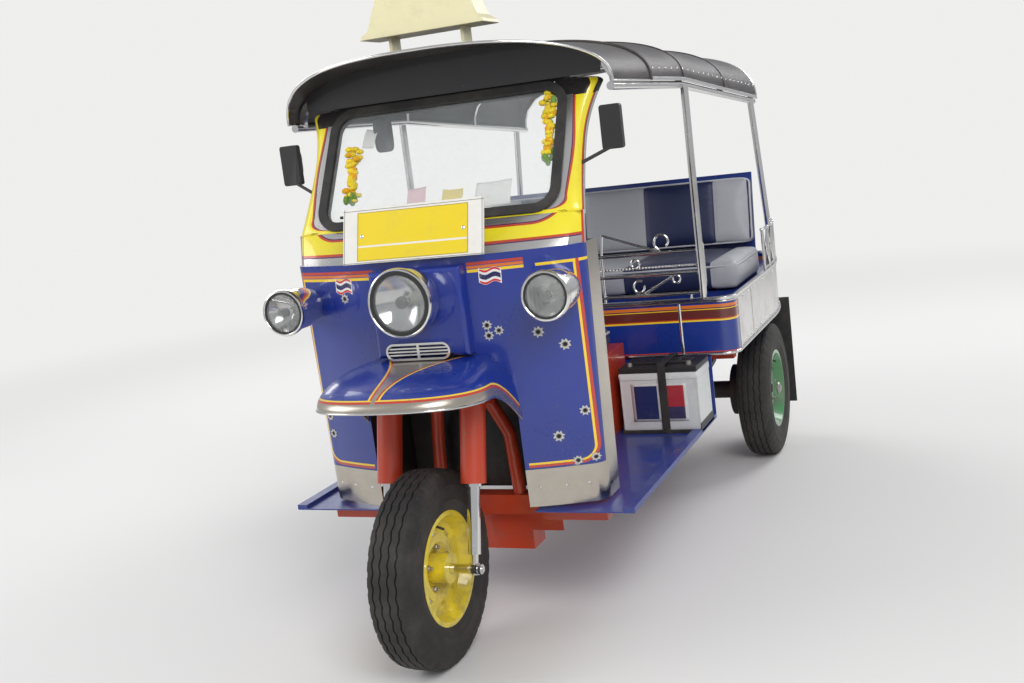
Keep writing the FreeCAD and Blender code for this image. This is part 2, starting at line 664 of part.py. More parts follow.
def rim_profile(hub_half, bore, dish):
    """Section of a rim with its disc and hub: flange, well, dished disc, hub, and back again.

    The dish is how far the disc stands towards +X; each value is a length of the sheet.
    """
    bead, wall, hub = S.bead_radius, S.rim_wall, S.hub_radius
    lip, flange, drop = S.rim_width / 2, S.bead_radius + S.flange_height, S.bead_radius - S.rim_drop
    well, step = S.rim_well_width / 2, hub + S.disc_step
    outer = [(-lip - wall, flange), (-lip, bead), (-well, drop), (well, drop), (lip, bead),
             (lip + wall, flange), (lip + wall, bead - wall), (well + wall, drop - wall)]
    disc = [(dish + S.disc_dish + wall, step), (dish + wall, hub)]
    hub_points = [(hub_half, hub), (hub_half, bore), (-hub_half, bore), (-hub_half, hub)]
    back = [(dish, hub), (dish + S.disc_dish, step), (well, drop - wall), (-well - wall, drop - wall)]
    return outer + disc + hub_points + back + [(-lip - wall, bead - wall)]


def make_rim(label, place, sign, hub_half, bore, dish):
    """A rim turned in one piece with its hub, with a ring of slots through its disc."""
    body = wheel_body(label, *place)
    turned(body, [(sign * x, r) for x, r in rim_profile(hub_half, bore, dish)])
    reach, half, height = S.rim_width, S.rim_slot_width / 2, S.rim_slot_height / 2
    sketch = sketch_on(body, "YZ_Plane", -reach)
    outline(sketch, rectangle(-half, half, S.rim_slot_radius - height, S.rim_slot_radius + height))
    document.recompute()
    slot = body.newObject("PartDesign::Pocket", label + "Slot")
    slot.Profile = sketch
    bind(slot, "Length", 2 * reach)
    slot.Reversed = True
    slots = body.newObject("PartDesign::PolarPattern", label + "Slots")
    slots.Originals = [slot]
    slots.Axis = (origin_feature(body, "X_Axis"), [""])
    slots.Angle = 360
    bind(slots, "Occurrences", S.rim_slots)
    body.Tip = slots


def make_wheels():
    """Tyres and rims: the front pair on the fork's axle, the rear pairs on their stubs."""
    front = (as_length(0), as_length(0), S.front_tyre_radius)
    turned(wheel_body("front_tyre", *front), tyre_profile(S.front_tyre_radius, S.front_tyre_width))
    make_rim("front_rim", front, 1, S.hub_width / 2, S.front_axle_radius + S.bearing_gap, as_length(0))
    for side, sign in (("left", 1), ("right", -1)):
        place = (sign * S.track / 2, S.wheelbase, S.rear_tyre_radius)
        tyre = wheel_body("rear_tyre_" + side, *place)
        turned(tyre, tyre_profile(S.rear_tyre_radius, S.rear_tyre_width))
        make_rim("rear_rim_" + side, place, sign, S.rear_hub_width / 2, S.rear_stub_radius + S.bearing_gap,
                 S.rear_dish)


def make_fork():
    """Everything that turns with the steering, apart from the wheel.

    The legs stand upright in the fork's own frame, with the axle at its origin, and the whole is
    then laid back by the rake.
    """
    half, zero = S.fork_track / 2, as_length(0)
    legs, shrouds, holes = [], [], []
    # name, foot along the leg, length, radius
    sections = [("Foot", -S.axle_boss_radius, S.axle_boss_radius + S.slider_foot_top, S.slider_foot_radius),
                ("Slider", S.slider_foot_top, S.shroud_bottom - S.slider_foot_top, S.slider_radius),
                ("Collar", S.shroud_bottom - S.slider_collar_height, S.slider_collar_height,
                 S.slider_collar_radius)]
    for side, sign in (("Left", 1), ("Right", -1)):
        x = sign * half
        for name, foot, length, radius in sections:
            legs.append(rod_item(side + name, "Z", (x, zero, foot), length, radius))
        start = (x - S.axle_boss_width / 2, zero, zero)
        legs.append(rod_item(side + "Boss", "X", start, S.axle_boss_width, S.axle_boss_radius))
        start = (x - S.axle_boss_width, zero, zero)
        holes.append(rod_item(side + "AxleHole", "X", start, 2 * S.axle_boss_width, S.front_axle_radius))
        shrouds.append(rod_item(side + "Shroud", "Z", (x, zero, S.shroud_bottom),
                                S.shroud_top - S.shroud_bottom, S.shroud_radius))
    lean(less("fork_sliders", joined("BareSliders", legs), joined("AxleHoles", holes)), "fork_sliders")

    outer = half + S.yoke_margin
    back, ahead = S.steering_offset + S.yoke_margin, S.yoke_margin
    yoke = document.addObject("PartDesign::Body", "Yoke")
    plate = pad(yoke, "XY_Plane", S.shroud_top, [rectangle(-outer, outer, -ahead, back)], S.yoke_thickness)
    softened(yoke, plate, S.yoke_margin * 0.8, lambda box: box.ZLength > 1)
    stem_top = S.head_bottom + S.head_length + S.clamp_height
    stem_foot = (zero, S.steering_offset, S.shroud_top)
    stem = rod_item("Stem", "Z", stem_foot, stem_top - S.shroud_top, S.stem_radius)
    lean(joined("fork_upper", [yoke, stem] + shrouds), "fork_upper")

    inner, outer = half - S.axle_boss_width / 2, half + S.axle_boss_width / 2
    end, face = outer + S.axle_nut_width + S.axle_thread, S.hub_width / 2 + S.fit_gap
    axle = [rod_item("AxleRod", "X", (-end, zero, zero), 2 * end, S.front_axle_radius)]
    for side, nut, spacer in (("Left", outer, face), ("Right", -outer - S.axle_nut_width, -inner)):
        axle.append(rod_item(side + "Nut", "X", (nut, zero, zero), S.axle_nut_width, S.axle_nut_radius))
        axle.append(rod_item(side + "Spacer", "X", (spacer, zero, zero), inner - face, S.axle_spacer_radius))
    lean(joined("front_axle", axle), "front_axle")
    make_handlebar(float(stem_top))


def lean(item, label):
    """Lays a finished piece of the fork back by the rake, with its axle at the wheel's middle."""
    item.Placement = FreeCAD.Placement(V(), FreeCAD.Rotation(V(-1, 0, 0), float(S.rake)))
    bind(item, "Placement.Rotation.Angle", S.rake)
    bind(item, "Placement.Base.z", S.front_tyre_radius)
    return stand(item, label)


def make_handlebar(stem_top):
    """Bent tube with two grips, clamped on the stem."""
    top = leg_point(0, stem_top, S.steering_offset)
    radius, rise, sweep = float(S.bar_radius), float(S.bar_rise), float(S.bar_sweep)
    reach, clamp_half = float(S.bar_half_width), float(S.bar_clamp_half_width)
    up = (top - leg_point(0, 0, S.steering_offset)).normalize()
    centre = top + up * radius
    inner_end = V(reach - float(S.grip_length), sweep - float(S.grip_toe), rise - float(S.grip_lift))
    elbow = V(clamp_half + (inner_end.x - clamp_half) * 0.55, inner_end.y / 2, rise * 0.75)
    side = [V(0, 0, 0), V(clamp_half, 0, 0), elbow, inner_end]
    flipped = [V(-p.x, p.y, p.z) for p in reversed(side)]
    tube = bar([centre + p for p in flipped[:-1] + side[1:]], radius, S.bar_bend)
    clamp = cylinder(top, top + up * (2 * radius), S.bar_clamp_radius)
    grips = []
    for sign in (1, -1):
        start = centre + V(sign * inner_end.x, inner_end.y, inner_end.z)
        grips.append(cylinder(start, centre + V(sign * reach, sweep, rise), S.grip_radius))
    shape_piece("handlebar", fused([tube, clamp] + grips))


def make_rail(side, sign):
    """A chassis rail: level under the footboard, up over the rear axle and level to the tail."""
    top, low = S.chassis_top, S.chassis_top - S.rail_height
    rise, end = S.kick_rise, TAIL - S.rail_tail
    start, kick, level = S.chassis_front, PLAN.kick_start, PLAN.kick_end
    profile = [(start, low + S.rail_nose), (start + S.member_length, low), (kick, low), (level, low + rise),
               (end, low + rise), (end, top + rise), (level, top + rise), (kick, top), (start, top)]
    body = document.addObject("PartDesign::Body", side + "Rail")
    pad(body, "YZ_Plane", sign * S.rail_spread - S.rail_width / 2, [profile], S.rail_width)
    return body


def make_chassis():
    """Ladder frame with its front outriggers and the bracket behind the wheel."""
    top, low = S.chassis_top, S.chassis_top - S.rail_height
    inner, deep = S.rail_spread - S.rail_width / 2, S.member_length
    high_low, high_top = low + S.kick_rise, top + S.kick_rise
    arch, tail = PLAN.kick_end + deep, TAIL - S.rail_tail - deep
    reach, front = PLAN.bearer_half_width, S.member_station + deep
    # name, half width, station, length, lower level, upper level
    members = [("FrontMember", inner, S.member_station, deep, low, top),
               ("EngineFrontMember", inner, PLAN.engine_front + S.engine_mount_inset, deep, low,
                S.engine_bottom),
               ("EngineRearMember", inner, PLAN.engine_rear - S.engine_mount_inset - deep, deep, low,
                S.engine_bottom),
               ("KickMember", inner, PLAN.kick_start - deep, deep, low, top),
               ("ArchMember", inner, arch, deep, high_low, high_top),
               ("TailMember", inner, tail, deep, high_low, high_top),
               ("FrontBearer", reach, arch, deep, high_top, S.tub_bottom),
               ("RearBearer", reach, tail, deep, high_top, S.tub_bottom),
               ("GussetWeb", inner, front, S.gusset_sheet, S.gusset_web_bottom, top),
               ("GussetBox", S.gusset_half_width, front, S.gusset_depth, S.gusset_bottom, low)]
    items = [make_rail("Left", 1), make_rail("Right", -1)]
    for name, half, station, length, base, head in members:
        items.append(box_item(name, -half, half, station, station + length, base, head))
    for side, x in (("Left", inner), ("Right", -PLAN.outrigger_reach)):
        items.append(box_item(side + "Outrigger", x, x + PLAN.outrigger_reach - inner, S.chassis_front,
                              S.chassis_front + deep, low + S.rail_nose, top))
    items.append(shape_item("SteeringHead", steering_head()))
    stand(joined("chassis_frame", items), "chassis_frame")


def steering_head():
    """Head tube with its downtubes on the first cross member."""
    low = leg_point(0, S.head_bottom, S.steering_offset)
    high = leg_point(0, S.head_bottom + S.head_length, S.steering_offset)
    head = cylinder(low, high, S.head_radius)
    bore = cylinder(leg_point(0, S.head_bottom - 10, S.steering_offset),
                    leg_point(0, S.head_bottom + S.head_length + 10, S.steering_offset),
                    S.stem_radius + S.bearing_gap)
    foot_y, foot_z = float(S.member_station) + float(S.member_length) / 2, float(S.chassis_top)
    tubes = []
    for sign in (1, -1):
        start = leg_point(sign * 20, S.head_bottom + S.head_length * 0.6, S.steering_offset + 20)
        tubes.append(bar([start, (sign * 118, foot_y, 560), (sign * 130, foot_y, foot_z)],
                         S.downtube_radius, 60))
    return fused([head] + tubes).cut(bore)


def make_footboard():
    """Blue footboard with raised lips, open over the engine and round the front wheel."""
    body = new_body("footboard")
    notch, back = S.well_half_width + S.notch_gap, S.well_back + S.pan_sheet
    front, rear, half = S.pan_front, PLAN.pan_rear, PLAN.pan_half_width
    plan = [(-half, front), (-notch, front), (-notch, back), (notch, back), (notch, front), (half, front),
            (half, rear), (-half, rear)]
    wide = S.engine_half_width + S.engine_hole_gap
    hole = rectangle(-wide, wide, PLAN.engine_front - S.engine_hole_gap, PLAN.engine_rear + S.engine_hole_gap)
    pad(body, "XY_Plane", S.chassis_top, [plan, hole], S.pan_sheet)
    lips = [rectangle(half - S.lip_width, half, front, rear),
            rectangle(-half, S.lip_width - half, front, rear)]
    pad(body, "XY_Plane", S.chassis_top, lips, S.lip_height)
    window, wall = S.shaft_window / 2, rear - S.pan_sheet
    sides = [rectangle(window, half, wall, rear), rectangle(-half, -window, wall, rear)]
    pad(body, "XY_Plane", S.chassis_top, sides, S.tub_bottom - S.chassis_top)
    pad(body, "XY_Plane", S.shaft_window_top, [rectangle(-half, half, wall, rear)],
        S.tub_bottom - S.shaft_window_top)


def cowl_plan(level, inset):
    """Half the cowl's outline at a level, as (x, y) points from the centre line to the rear edge."""
    down = (float(S.belt) - level) / float(S.belt - S.cowl_bottom)
    half = float(PLAN.cowl_half_width) - float(S.cowl_taper) * down - inset
    front = float(S.cowl_front) + float(S.cowl_tuck) * down + inset
    corner = float(S.cowl_corner)
    shoulder = half - corner
    bow = float(S.cowl_bow)
    fall = bow * (shoulder / half) ** 2
    return [(0, front), (shoulder * 0.5, front + fall * 0.25), (shoulder, front + fall),
            (half - corner * 0.27, front + fall + corner * 0.5), (half, front + fall + corner * 1.25),
            (half, float(S.cowl_rear))]


def cowl_curve(level, inset):
    """Edges of the cowl's outline at a level, from its left rear edge round to the right one."""
    p = [V(x, y, level) for x, y in cowl_plan(level, inset)]
    m = [V(-q.x, q.y, level) for q in p]
    return [Part.LineSegment(p[5], p[4]).toShape(), Part.Arc(p[4], p[3], p[2]).toShape(),
            Part.Arc(p[2], p[0], m[2]).toShape(), Part.Arc(m[2], m[3], m[4]).toShape(),
            Part.LineSegment(m[4], m[5]).toShape()]


def cowl_solid(inset, low, high):
    """The space inside the cowl's outline between two levels."""
    wires = []
    for level in (float(low), float(high)):
        edges = cowl_curve(level, inset)
        first, last = edges[0].Vertexes[0].Point, edges[-1].Vertexes[-1].Point
        edges.append(Part.LineSegment(last, first).toShape())
        wires.append(Part.Wire(edges))
    return Part.makeLoft(wires, True, True)


def well_cutter(margin=0.0):
    """Arch-topped opening for the front wheel, as a prism along the vehicle."""
    half, shoulder = float(S.well_half_width) + margin, float(S.well_shoulder)
    crown, low = float(S.well_crown) + margin, float(S.cowl_bottom) - 50
    start = 0.0
    p = [V(-half, start, low), V(half, start, low), V(half, start, shoulder), V(-half, start, shoulder)]
    edges = [Part.LineSegment(p[0], p[1]).toShape(), Part.LineSegment(p[1], p[2]).toShape(),
             Part.Arc(p[2], V(0, start, crown), p[3]).toShape(), Part.LineSegment(p[3], p[0]).toShape()]
    return Part.Face(Part.Wire(edges)).extrude(V(0, float(S.well_back), 0))


def make_cowl():
    """Painted cowl, bright kick band under it, bright side returns and the wheel well."""
    sheet = float(S.cowl_sheet)
    low, band, belt = float(S.cowl_bottom), float(S.band_top), float(S.belt)
    shell = cowl_solid(0.0, low, belt).cut(cowl_solid(sheet, low - 1, belt + 1))
    shell = shell.cut(well_cutter())
    corner = float(S.cowl_front) + float(S.cowl_bow) + float(S.cowl_corner) * 0.8
    painted = block(-600, 600, 0, corner, band, belt + 1)
    shape_piece("front_cowl", fused([shell.common(painted), nose_panel()]))
    bright = shell.cut(painted)
    shape_piece("cowl_brightwork", Part.makeCompound(bright.Solids))

    wall, half, back, top = 3.0, float(S.well_half_width) + 0.5, float(S.well_back), float(S.well_top)
    base = float(S.chassis_top)
    box = block(-half - wall, half + wall, 100, back, base + float(S.pan_sheet), top)
    hollow = block(-half, half, 90, back - wall, base - 10, top - wall)
    opening = block(-130, 130, 100, back - 30, top - 20, top + 20)
    liner = box.cut(hollow).cut(opening)
    notch = block(-half - 20, half + 20, 80, 330, 300, 384)
    inside = cowl_solid(sheet + 0.2, low - 60, belt).fuse(block(-600, 600, 350, 600, 0, belt))
    liner = liner.common(inside).cut(notch)
    shape_piece("wheel_well", liner)


def nose_panel():
    """Raised panel on the middle of the cowl, which carries the large headlamp."""
    outer = cowl_solid(0.0, float(S.cowl_bottom), float(S.belt))
    half, front = float(S.nose_half_width), float(S.nose_front)
    low, high = float(S.nose_bottom), float(S.nose_top)
    nose = block(-half, half, front, float(S.cowl_front) + 60, low, high)
    uprights = [e for e in nose.Edges if e.BoundBox.YMax < front + 1]
    nose = nose.makeFillet(14, uprights).cut(outer)
    return max(nose.Solids, key=lambda s: s.Volume)


def make_grille():
    """Oval grille at the foot of the nose panel: a ring with three slats and an upright."""
    outer = cowl_solid(0.0, float(S.cowl_bottom), float(S.belt))
    front = float(S.nose_front)
    half, height, depth = float(S.grille_half_width), float(S.grille_height), float(S.grille_depth)
    level = float(S.grille_level)
    radius = height / 2

    def oval(shrink):
        """Stadium-shaped face of the grille, drawn in by a margin."""
        r, reach = radius - shrink, half - radius
        y = front - depth
        a, b = V(-reach, y, level + r), V(reach, y, level + r)
        c, d = V(reach, y, level - r), V(-reach, y, level - r)
        edges = [Part.LineSegment(a, b).toShape(), Part.Arc(b, V(reach + r, y, level), c).toShape(),
                 Part.LineSegment(c, d).toShape(), Part.Arc(d, V(-reach - r, y, level), a).toShape()]
        return Part.Face(Part.Wire(edges)).extrude(V(0, depth, 0))

    ring = oval(0.0).cut(oval(6.0))
    slats = [oval(5.0).common(block(-half, half, front - depth + 4, front, level - 2 + k, level + 2 + k))
             for k in (-9, 0, 9)]
    slats.append(oval(5.0).common(block(-4, 4, front - depth + 3, front, level - 30, level + 30)))
    shape_piece("nose_grille", fused([ring] + slats).cut(outer))


def guard_section(station, half, edge, crown, sheet):
    """Closed arch of the front mudguard at a station: a superellipse out, and its inner line back."""
    power = 2.4

    def arch(w, z0, z1):
        """Points of a flattened arch from one side to the other."""
        points = []
        for angle in (180, 165, 145, 120, 90, 60, 35, 15, 0):
            c, s = math.cos(math.radians(angle)), math.sin(math.radians(angle))
            x = w * math.copysign(abs(c) ** (2 / power), c)
            z = z0 + (z1 - z0) * abs(s) ** (2 / power)
            points.append(V(x if abs(c) > 1e-9 else 0.0, station, z))
        return points
    outer = arch(half, edge, crown)
    inner = arch(half - sheet, edge, crown - sheet)
    return Part.makePolygon(outer + inner[::-1] + outer[:1])


def make_mudguard():
    """Bill-shaped mudguard over the front wheel."""
    half, reach, crown = float(S.guard_half_width), float(S.guard_reach), float(S.guard_crown)
    sheet = float(S.guard_sheet)
    # station, share of the half width, lower edge below the crown, crown below the cowl's
    table = [(-reach, 0.20, 86, 76), (-reach + 22, 0.45, 88, 62), (-reach + 70, 0.72, 92, 42),
             (-90, 0.90, 96, 22), (0, 0.985, 100, 8), (70, 1.0, 116, 2), (140, 1.0, 165, 0),
             (240, 1.0, 250, 0)]
    wires = [guard_section(y, half * share, crown - down, crown - dip, sheet)
             for y, share, down, dip in table]
    shell = Part.makeLoft(wires, True, True)
    outer = cowl_solid(0.0, float(S.cowl_bottom), float(S.belt))
    shell = shell.cut(outer)
    shape_piece("front_mudguard", max(shell.Solids, key=lambda s: s.Volume))


def lathe(profile, centre):
    """A solid of (forward distance, radius) points turned about a line along the vehicle."""
    x, y, z = [float(v) for v in centre]
    corners = [V(x, y + float(a), z + float(r)) for a, r in profile]
    wire = Part.makePolygon(corners + corners[:1])
    return Part.Face(wire).revolve(V(x, y, z), V(0, 1, 0), 360)


def make_headlamps():
    """Two torpedo headlamps beside the cowl's face and a larger one on the nose."""
    outer = cowl_solid(0.0, float(S.cowl_bottom), float(S.belt))
    shells, lenses = [], []
    r, rim, length = float(S.lamp_radius), float(S.lamp_rim), float(S.lamp_length)
    for sign in (1, -1):
        centre = (sign * float(PLAN.lamp_spread), S.lamp_station, S.lamp_level)
        profile = [(0, r - rim), (0, r - 2), (6, r), (18, r), (20, r - 6), (110, r - 14), (150, r - 28),
                   (length, r - 50), (length, 0), (16, 0), (16, r - rim)]
        body = lathe(profile, centre).cut(outer)
        shells.append(max(body.Solids, key=lambda s: s.Volume))
        gap = float(S.fit_gap)
        lens = [(-6, 0), (-4, r * 0.5), (1, r - rim - gap), (15, r - rim - gap), (15, 0)]
        lenses.append(lathe(lens, centre))
    r = float(S.main_lamp_radius)
    centre = (0, S.main_lamp_station, S.main_lamp_level)
    depth = float(S.nose_front - S.main_lamp_station)
    profile = [(0, r - 15), (0, r - 4), (8, r), (24, r), (27, r - 6), (depth, r - 22), (depth, 0), (16, 0),
               (16, r - 15)]
    shells.append(lathe(profile, centre))
    gap = float(S.fit_gap)
    lens = [(-8, 0), (-5, r * 0.5), (1, r - 15 - gap), (15, r - 15 - gap), (15, 0)]
    lenses.append(lathe(lens, centre))
    shape_piece("headlamp_shells", Part.makeCompound(shells))
    shape_piece("headlamp_lenses", Part.makeCompound(lenses))


def screen_point(x, up, out=0.0):
    """A point of the windscreen frame: up its slope from its foot, and out of its front face."""
    lean = math.radians(float(S.screen_lean))
    up, out = float(up), float(out)
    y = float(S.screen_station) + up * math.sin(lean) - out * math.cos(lean)
    z = float(S.screen_level) + up * math.cos(lean) + out * math.sin(lean)
    return V(float(x), y, z)


def window_loop(grow, out):
    """Rounded outline of the windscreen opening, grown by a margin, at a depth of the slope."""
    half = float(PLAN.window_half_width) + grow
    low = float(S.window_foot) - grow
    high = float(S.screen_frame_length) - float(S.window_head) + grow
    r = float(S.window_corner) + grow
    k = r * (1 - math.sqrt(0.5))
    edges = []
    corners = [((half - r, low), (half - k, low + k), (half, low + r)),
               ((half, high - r), (half - k, high - k), (half - r, high)),
               ((r - half, high), (k - half, high - k), (-half, high - r)),
               ((-half, low + r), (k - half, low + k), (r - half, low))]
    for index, (a, m, b) in enumerate(corners):
        ahead = corners[(index + 1) % 4][0]
        edges.append(Part.Arc(*[screen_point(x, up, out) for x, up in (a, m, b)]).toShape())
        edges.append(Part.LineSegment(*[screen_point(x, up, out) for x, up in (b, ahead)]).toShape())
    return Part.Wire(edges)


def prism(wire, depth):
    """A wire in the windscreen's slope, made solid out of the front face."""
    lean = math.radians(float(S.screen_lean))
    out = V(0, -math.cos(lean), math.sin(lean))
    return Part.Face(wire).extrude(out * float(depth))


def flip(point):
    """The same point on the other side of the vehicle."""
    return V(-point.x, point.y, point.z)


def make_windscreen():
    """Frame with its scuttle band, rubber gasket and glass."""
    foot, waist, head = [float(v) for v in (PLAN.screen_frame_half_width, PLAN.screen_waist_half_width,
                                            PLAN.screen_head_half_width)]
    length, depth = float(S.screen_frame_length), float(S.screen_frame_depth)
    middle = length * 0.55
    right = [screen_point(foot, 0), screen_point(waist, middle), screen_point(head, length)]
    left = [V(-p.x, p.y, p.z) for p in right]
    edges = [Part.Arc(*right).toShape(), Part.LineSegment(right[2], left[2]).toShape(),
             Part.Arc(*reversed(left)).toShape(), Part.LineSegment(left[0], right[0]).toShape()]
    back = Part.Wire(edges)
    back.translate((screen_point(0, 0, -depth) - screen_point(0, 0)))
    frame = prism(back, depth)
    hole = prism(window_loop(0.0, -depth - 5), depth + 10)
    frame = frame.cut(hole)

    belt, base = float(S.belt), float(S.screen_level)
    sheet = float(S.cowl_sheet)
    wires = []
    for level, station in ((belt, None), (base, float(S.screen_station))):
        if station is None:
            outer = [V(x, y, belt) for x, y in cowl_plan(belt, 0.0)]
            inner = [V(x, y, belt) for x, y in cowl_plan(belt, sheet)]
            side = [outer[4], outer[2], outer[0]]
            core = [inner[4], inner[2], inner[0]]
        else:
            rear = station + 22
            side = [V(foot, rear, base), V(foot - 25, station + 2, base), V(0, station - 4, base)]
            core = [V(foot - sheet, rear + 1, base), V(foot - 27, station + 2 + sheet, base),
                    V(0, station - 4 + sheet, base)]
        edges = [Part.LineSegment(side[0], side[1]).toShape(),
                 Part.Arc(side[1], side[2], flip(side[1])).toShape(),
                 Part.LineSegment(flip(side[1]), flip(side[0])).toShape(),
                 Part.LineSegment(flip(side[0]), flip(core[0])).toShape(),
                 Part.LineSegment(flip(core[0]), flip(core[1])).toShape(),
                 Part.Arc(flip(core[1]), core[2], core[1]).toShape(),
                 Part.LineSegment(core[1], core[0]).toShape(),
                 Part.LineSegment(core[0], side[0]).toShape()]
        wires.append(Part.Wire(edges))
    band = Part.makeLoft(wires, True, True)
    frame = frame.common(block(-700, 700, 0, 900, base, 2000))
    frame = fused([band, frame, header_panel()])
    shape_piece("windscreen_frame", frame)

    lap, rise, gap = float(S.gasket_lap), float(S.gasket_height), float(S.fit_gap)
    lip = prism(window_loop(lap, gap), rise).cut(prism(window_loop(-lap, gap - 2), rise + 4))
    core = prism(window_loop(-gap, -depth * 0.6), depth * 0.6 + gap + 1).cut(
        prism(window_loop(-lap, -depth), depth * 2))
    slot = prism(window_loop(-lap + 6, -depth * 0.3), S.glass_thickness + 2 * gap)
    shape_piece("windscreen_gasket", fused([lip, core]).cut(slot))
    glass = prism(window_loop(-lap + 6 - gap, -depth * 0.3 + gap), S.glass_thickness)
    shape_piece("windscreen_glass", glass)
    return frame


def header_panel():
    """Sheet between the head of the windscreen frame and the roof."""
    head = screen_point(0, S.screen_frame_length)
    station = head.y - float(S.cowl_sheet) - 3
    half, edge, crown = roof_at(station)
    shrink = float(S.roof_sheet) + float(S.fit_gap)
    arch = [V(x, station, z) for x, z in roof_arch(half, edge, crown, shrink)]
    sheet = Part.Face(Part.makePolygon(arch + arch[:1])).extrude(V(0, float(S.cowl_sheet), 0))
    reach = float(PLAN.screen_head_half_width)
    return sheet.common(block(-reach, reach, 0, 900, head.z - 4, 2000))


def landing(start, end, shape):
    """The point nearest the start where a straight line enters a shape."""
    inside = Part.LineSegment(start, end).toShape().common(shape)
    return min((vertex.Point for vertex in inside.Vertexes), key=start.distanceToPoint)


def make_plate(scuttle):
    """Blank number plate, leaning back in front of the scuttle, on two brackets."""
    width, height, sheet = float(S.plate_width), float(S.plate_height), float(S.plate_sheet)
    spread, hole = float(S.plate_hole_spread) / 2, float(S.plate_hole_radius)
    up = float(S.plate_bracket_level)
    plate = Part.makeBox(width, sheet, height, V(-width / 2, -sheet, 0))
    holes = [Part.makeCylinder(hole, 3 * sheet, V(x, sheet, height / 2), V(0, -1, 0))
             for x in (spread, -spread)]
    plate = plate.cut(holes)
    plate.rotate(V(0, 0, 0), V(1, 0, 0), -float(S.plate_lean))
    plate.translate(V(0, float(S.plate_station), float(S.plate_level)))
    strap, level = float(S.plate_bracket_width), float(S.plate_level) + up
    back = float(S.plate_station) + up * math.tan(math.radians(float(S.plate_lean)))
    for sign in (1, -1):
        near = sign * spread - strap / 2
        side = min(abs(near), abs(near + strap))
        seat = landing(V(side, 0, level), V(side, 600, level), scuttle).y - float(S.fit_gap)
        plate = plate.fuse(block(near, near + strap, back - sheet / 2, seat, level, level + sheet / 2))
    shape_piece("number_plate", plate)


def roof_arch(half, edge, crown, shrink=0.0):
    """Points of the roof's flattened arch, from one side edge to the other: a superellipse."""
    power = 2.55
    points = []
    for angle in (180, 173, 162, 148, 130, 110, 90, 70, 50, 32, 18, 7, 0):
        c, s = math.cos(math.radians(angle)), math.sin(math.radians(angle))
        x = (half - shrink) * math.copysign(abs(c) ** (2 / power), c) if abs(c) > 1e-9 else 0.0
        z = edge + (crown - shrink - edge) * abs(s) ** (2 / power)
        points.append((x, z))
    return points


def roof_section(station, half, edge, crown):
    """Closed section of the roof's skin at a station."""
    outer = [V(x, station, z) for x, z in roof_arch(half, edge, crown)]
    inner = [V(x, station, z) for x, z in roof_arch(half, edge, crown, float(S.roof_sheet))]
    return Part.makePolygon(outer + inner[::-1] + outer[:1])


def roof_stations():
    """Station, half width, side edge and crown of the roof's sections, front to back."""
    half, edge, crown = float(PLAN.roof_half_width), float(S.roof_edge), float(S.roof_crown)
    rear_edge, rear_crown = float(S.roof_rear_edge), float(S.roof_rear_crown)
    front, bend, rear = float(S.roof_peak_station) - 20, float(PLAN.roof_bend), float(PLAN.roof_rear)
    return [(front, half - 4, edge - 1, float(S.visor_crown)), (bend, half + 3, edge, crown),
            (rear, half + 9, rear_edge, rear_crown)]


def roof_at(station):
    """Half width, side edge and crown of the roof at any station."""
    rows = roof_stations()
    for near, far in zip(rows, rows[1:]):
        if station <= far[0] or far is rows[-1]:
            share = (station - near[0]) / (far[0] - near[0])
            return [a + (b - a) * share for a, b in zip(near[1:], far[1:])]


def make_roof():
    """Frame of tubes, canopy and front visor."""
    front, bend, rear = [row[0] for row in roof_stations()]
    split = float(PLAN.roof_split)
    wires = [roof_section(y, *roof_at(y)) for y in (split, bend, rear)]
    shape_piece("roof_canopy", Part.makeLoft(wires, True, True))
    wires = [roof_section(y, *roof_at(y)) for y in (front, split - float(S.fit_gap))]
    visor = Part.makeLoft(wires, True, True)
    tip, peak, half = float(S.roof_tip_station), float(S.roof_peak_station), float(PLAN.roof_half_width)
    bow = tip - peak
    radius = (half * half + bow * bow) / (2 * bow)
    keep_zone = Part.makeCylinder(radius, 1000, V(0, peak + radius, 1200)).fuse(
        block(-half - 50, half + 50, tip, 1200, 1200, 2200))
    visor = visor.common(keep_zone)
    visor = max(visor.Solids, key=lambda solid: solid.Volume)
    shape_piece("roof_visor", visor)

    tube, gap = float(S.rail_tube_radius), float(S.fit_gap)
    parts = []
    start = float(S.roof_tip_station) + tube
    for sign in (1, -1):
        line = []
        for y in (start, bend, rear - tube):
            w, edge, crown = roof_at(y)
            line.append((sign * (w - tube), y, edge - tube - gap))
        parts.append(bar(line, tube, 5 * tube))
    for y in (float(S.roof_tip_station) + 5 * tube, bend, (bend + rear) / 2, rear - 3 * tube):
        parts.append(roof_rib(y))
    shape_piece("roof_frame", fused(parts + roof_posts()))
    return visor


def roof_rib(station):
    """A bent square bar under the canopy, between the side tubes."""
    width, gap = 2 * float(S.rib_radius), float(S.fit_gap)
    half, edge, crown = roof_at(station)
    edge -= float(S.rail_tube_radius)
    outer = roof_arch(half, edge, crown, float(S.roof_sheet) + gap)
    inner = roof_arch(half, edge, crown, float(S.roof_sheet) + gap + width)
    loop = [V(x, station - width / 2, z) for x, z in outer + inner[::-1] + outer[:1]]
    return Part.Face(Part.makePolygon(loop)).extrude(V(0, width, 0))


def tub_side(station):
    """Half width of the tub at a station along its sides."""
    half, waist = float(S.tub_half_width), float(PLAN.tub_waist)
    tail, bend = float(PLAN.tub_tail_half_width), float(PLAN.tub_rear) - float(S.tub_rear_corner)
    if station <= waist:
        return half
    middle = V(tail + (half - tail) * 0.72, (waist + bend) / 2, 0)
    arc = Part.Arc(V(half, waist, 0), middle, V(tail, bend, 0)).toShape()
    line = Part.LineSegment(V(0, station, 0), V(2 * half, station, 0)).toShape()
    return arc.distToShape(line)[1][0][0].x


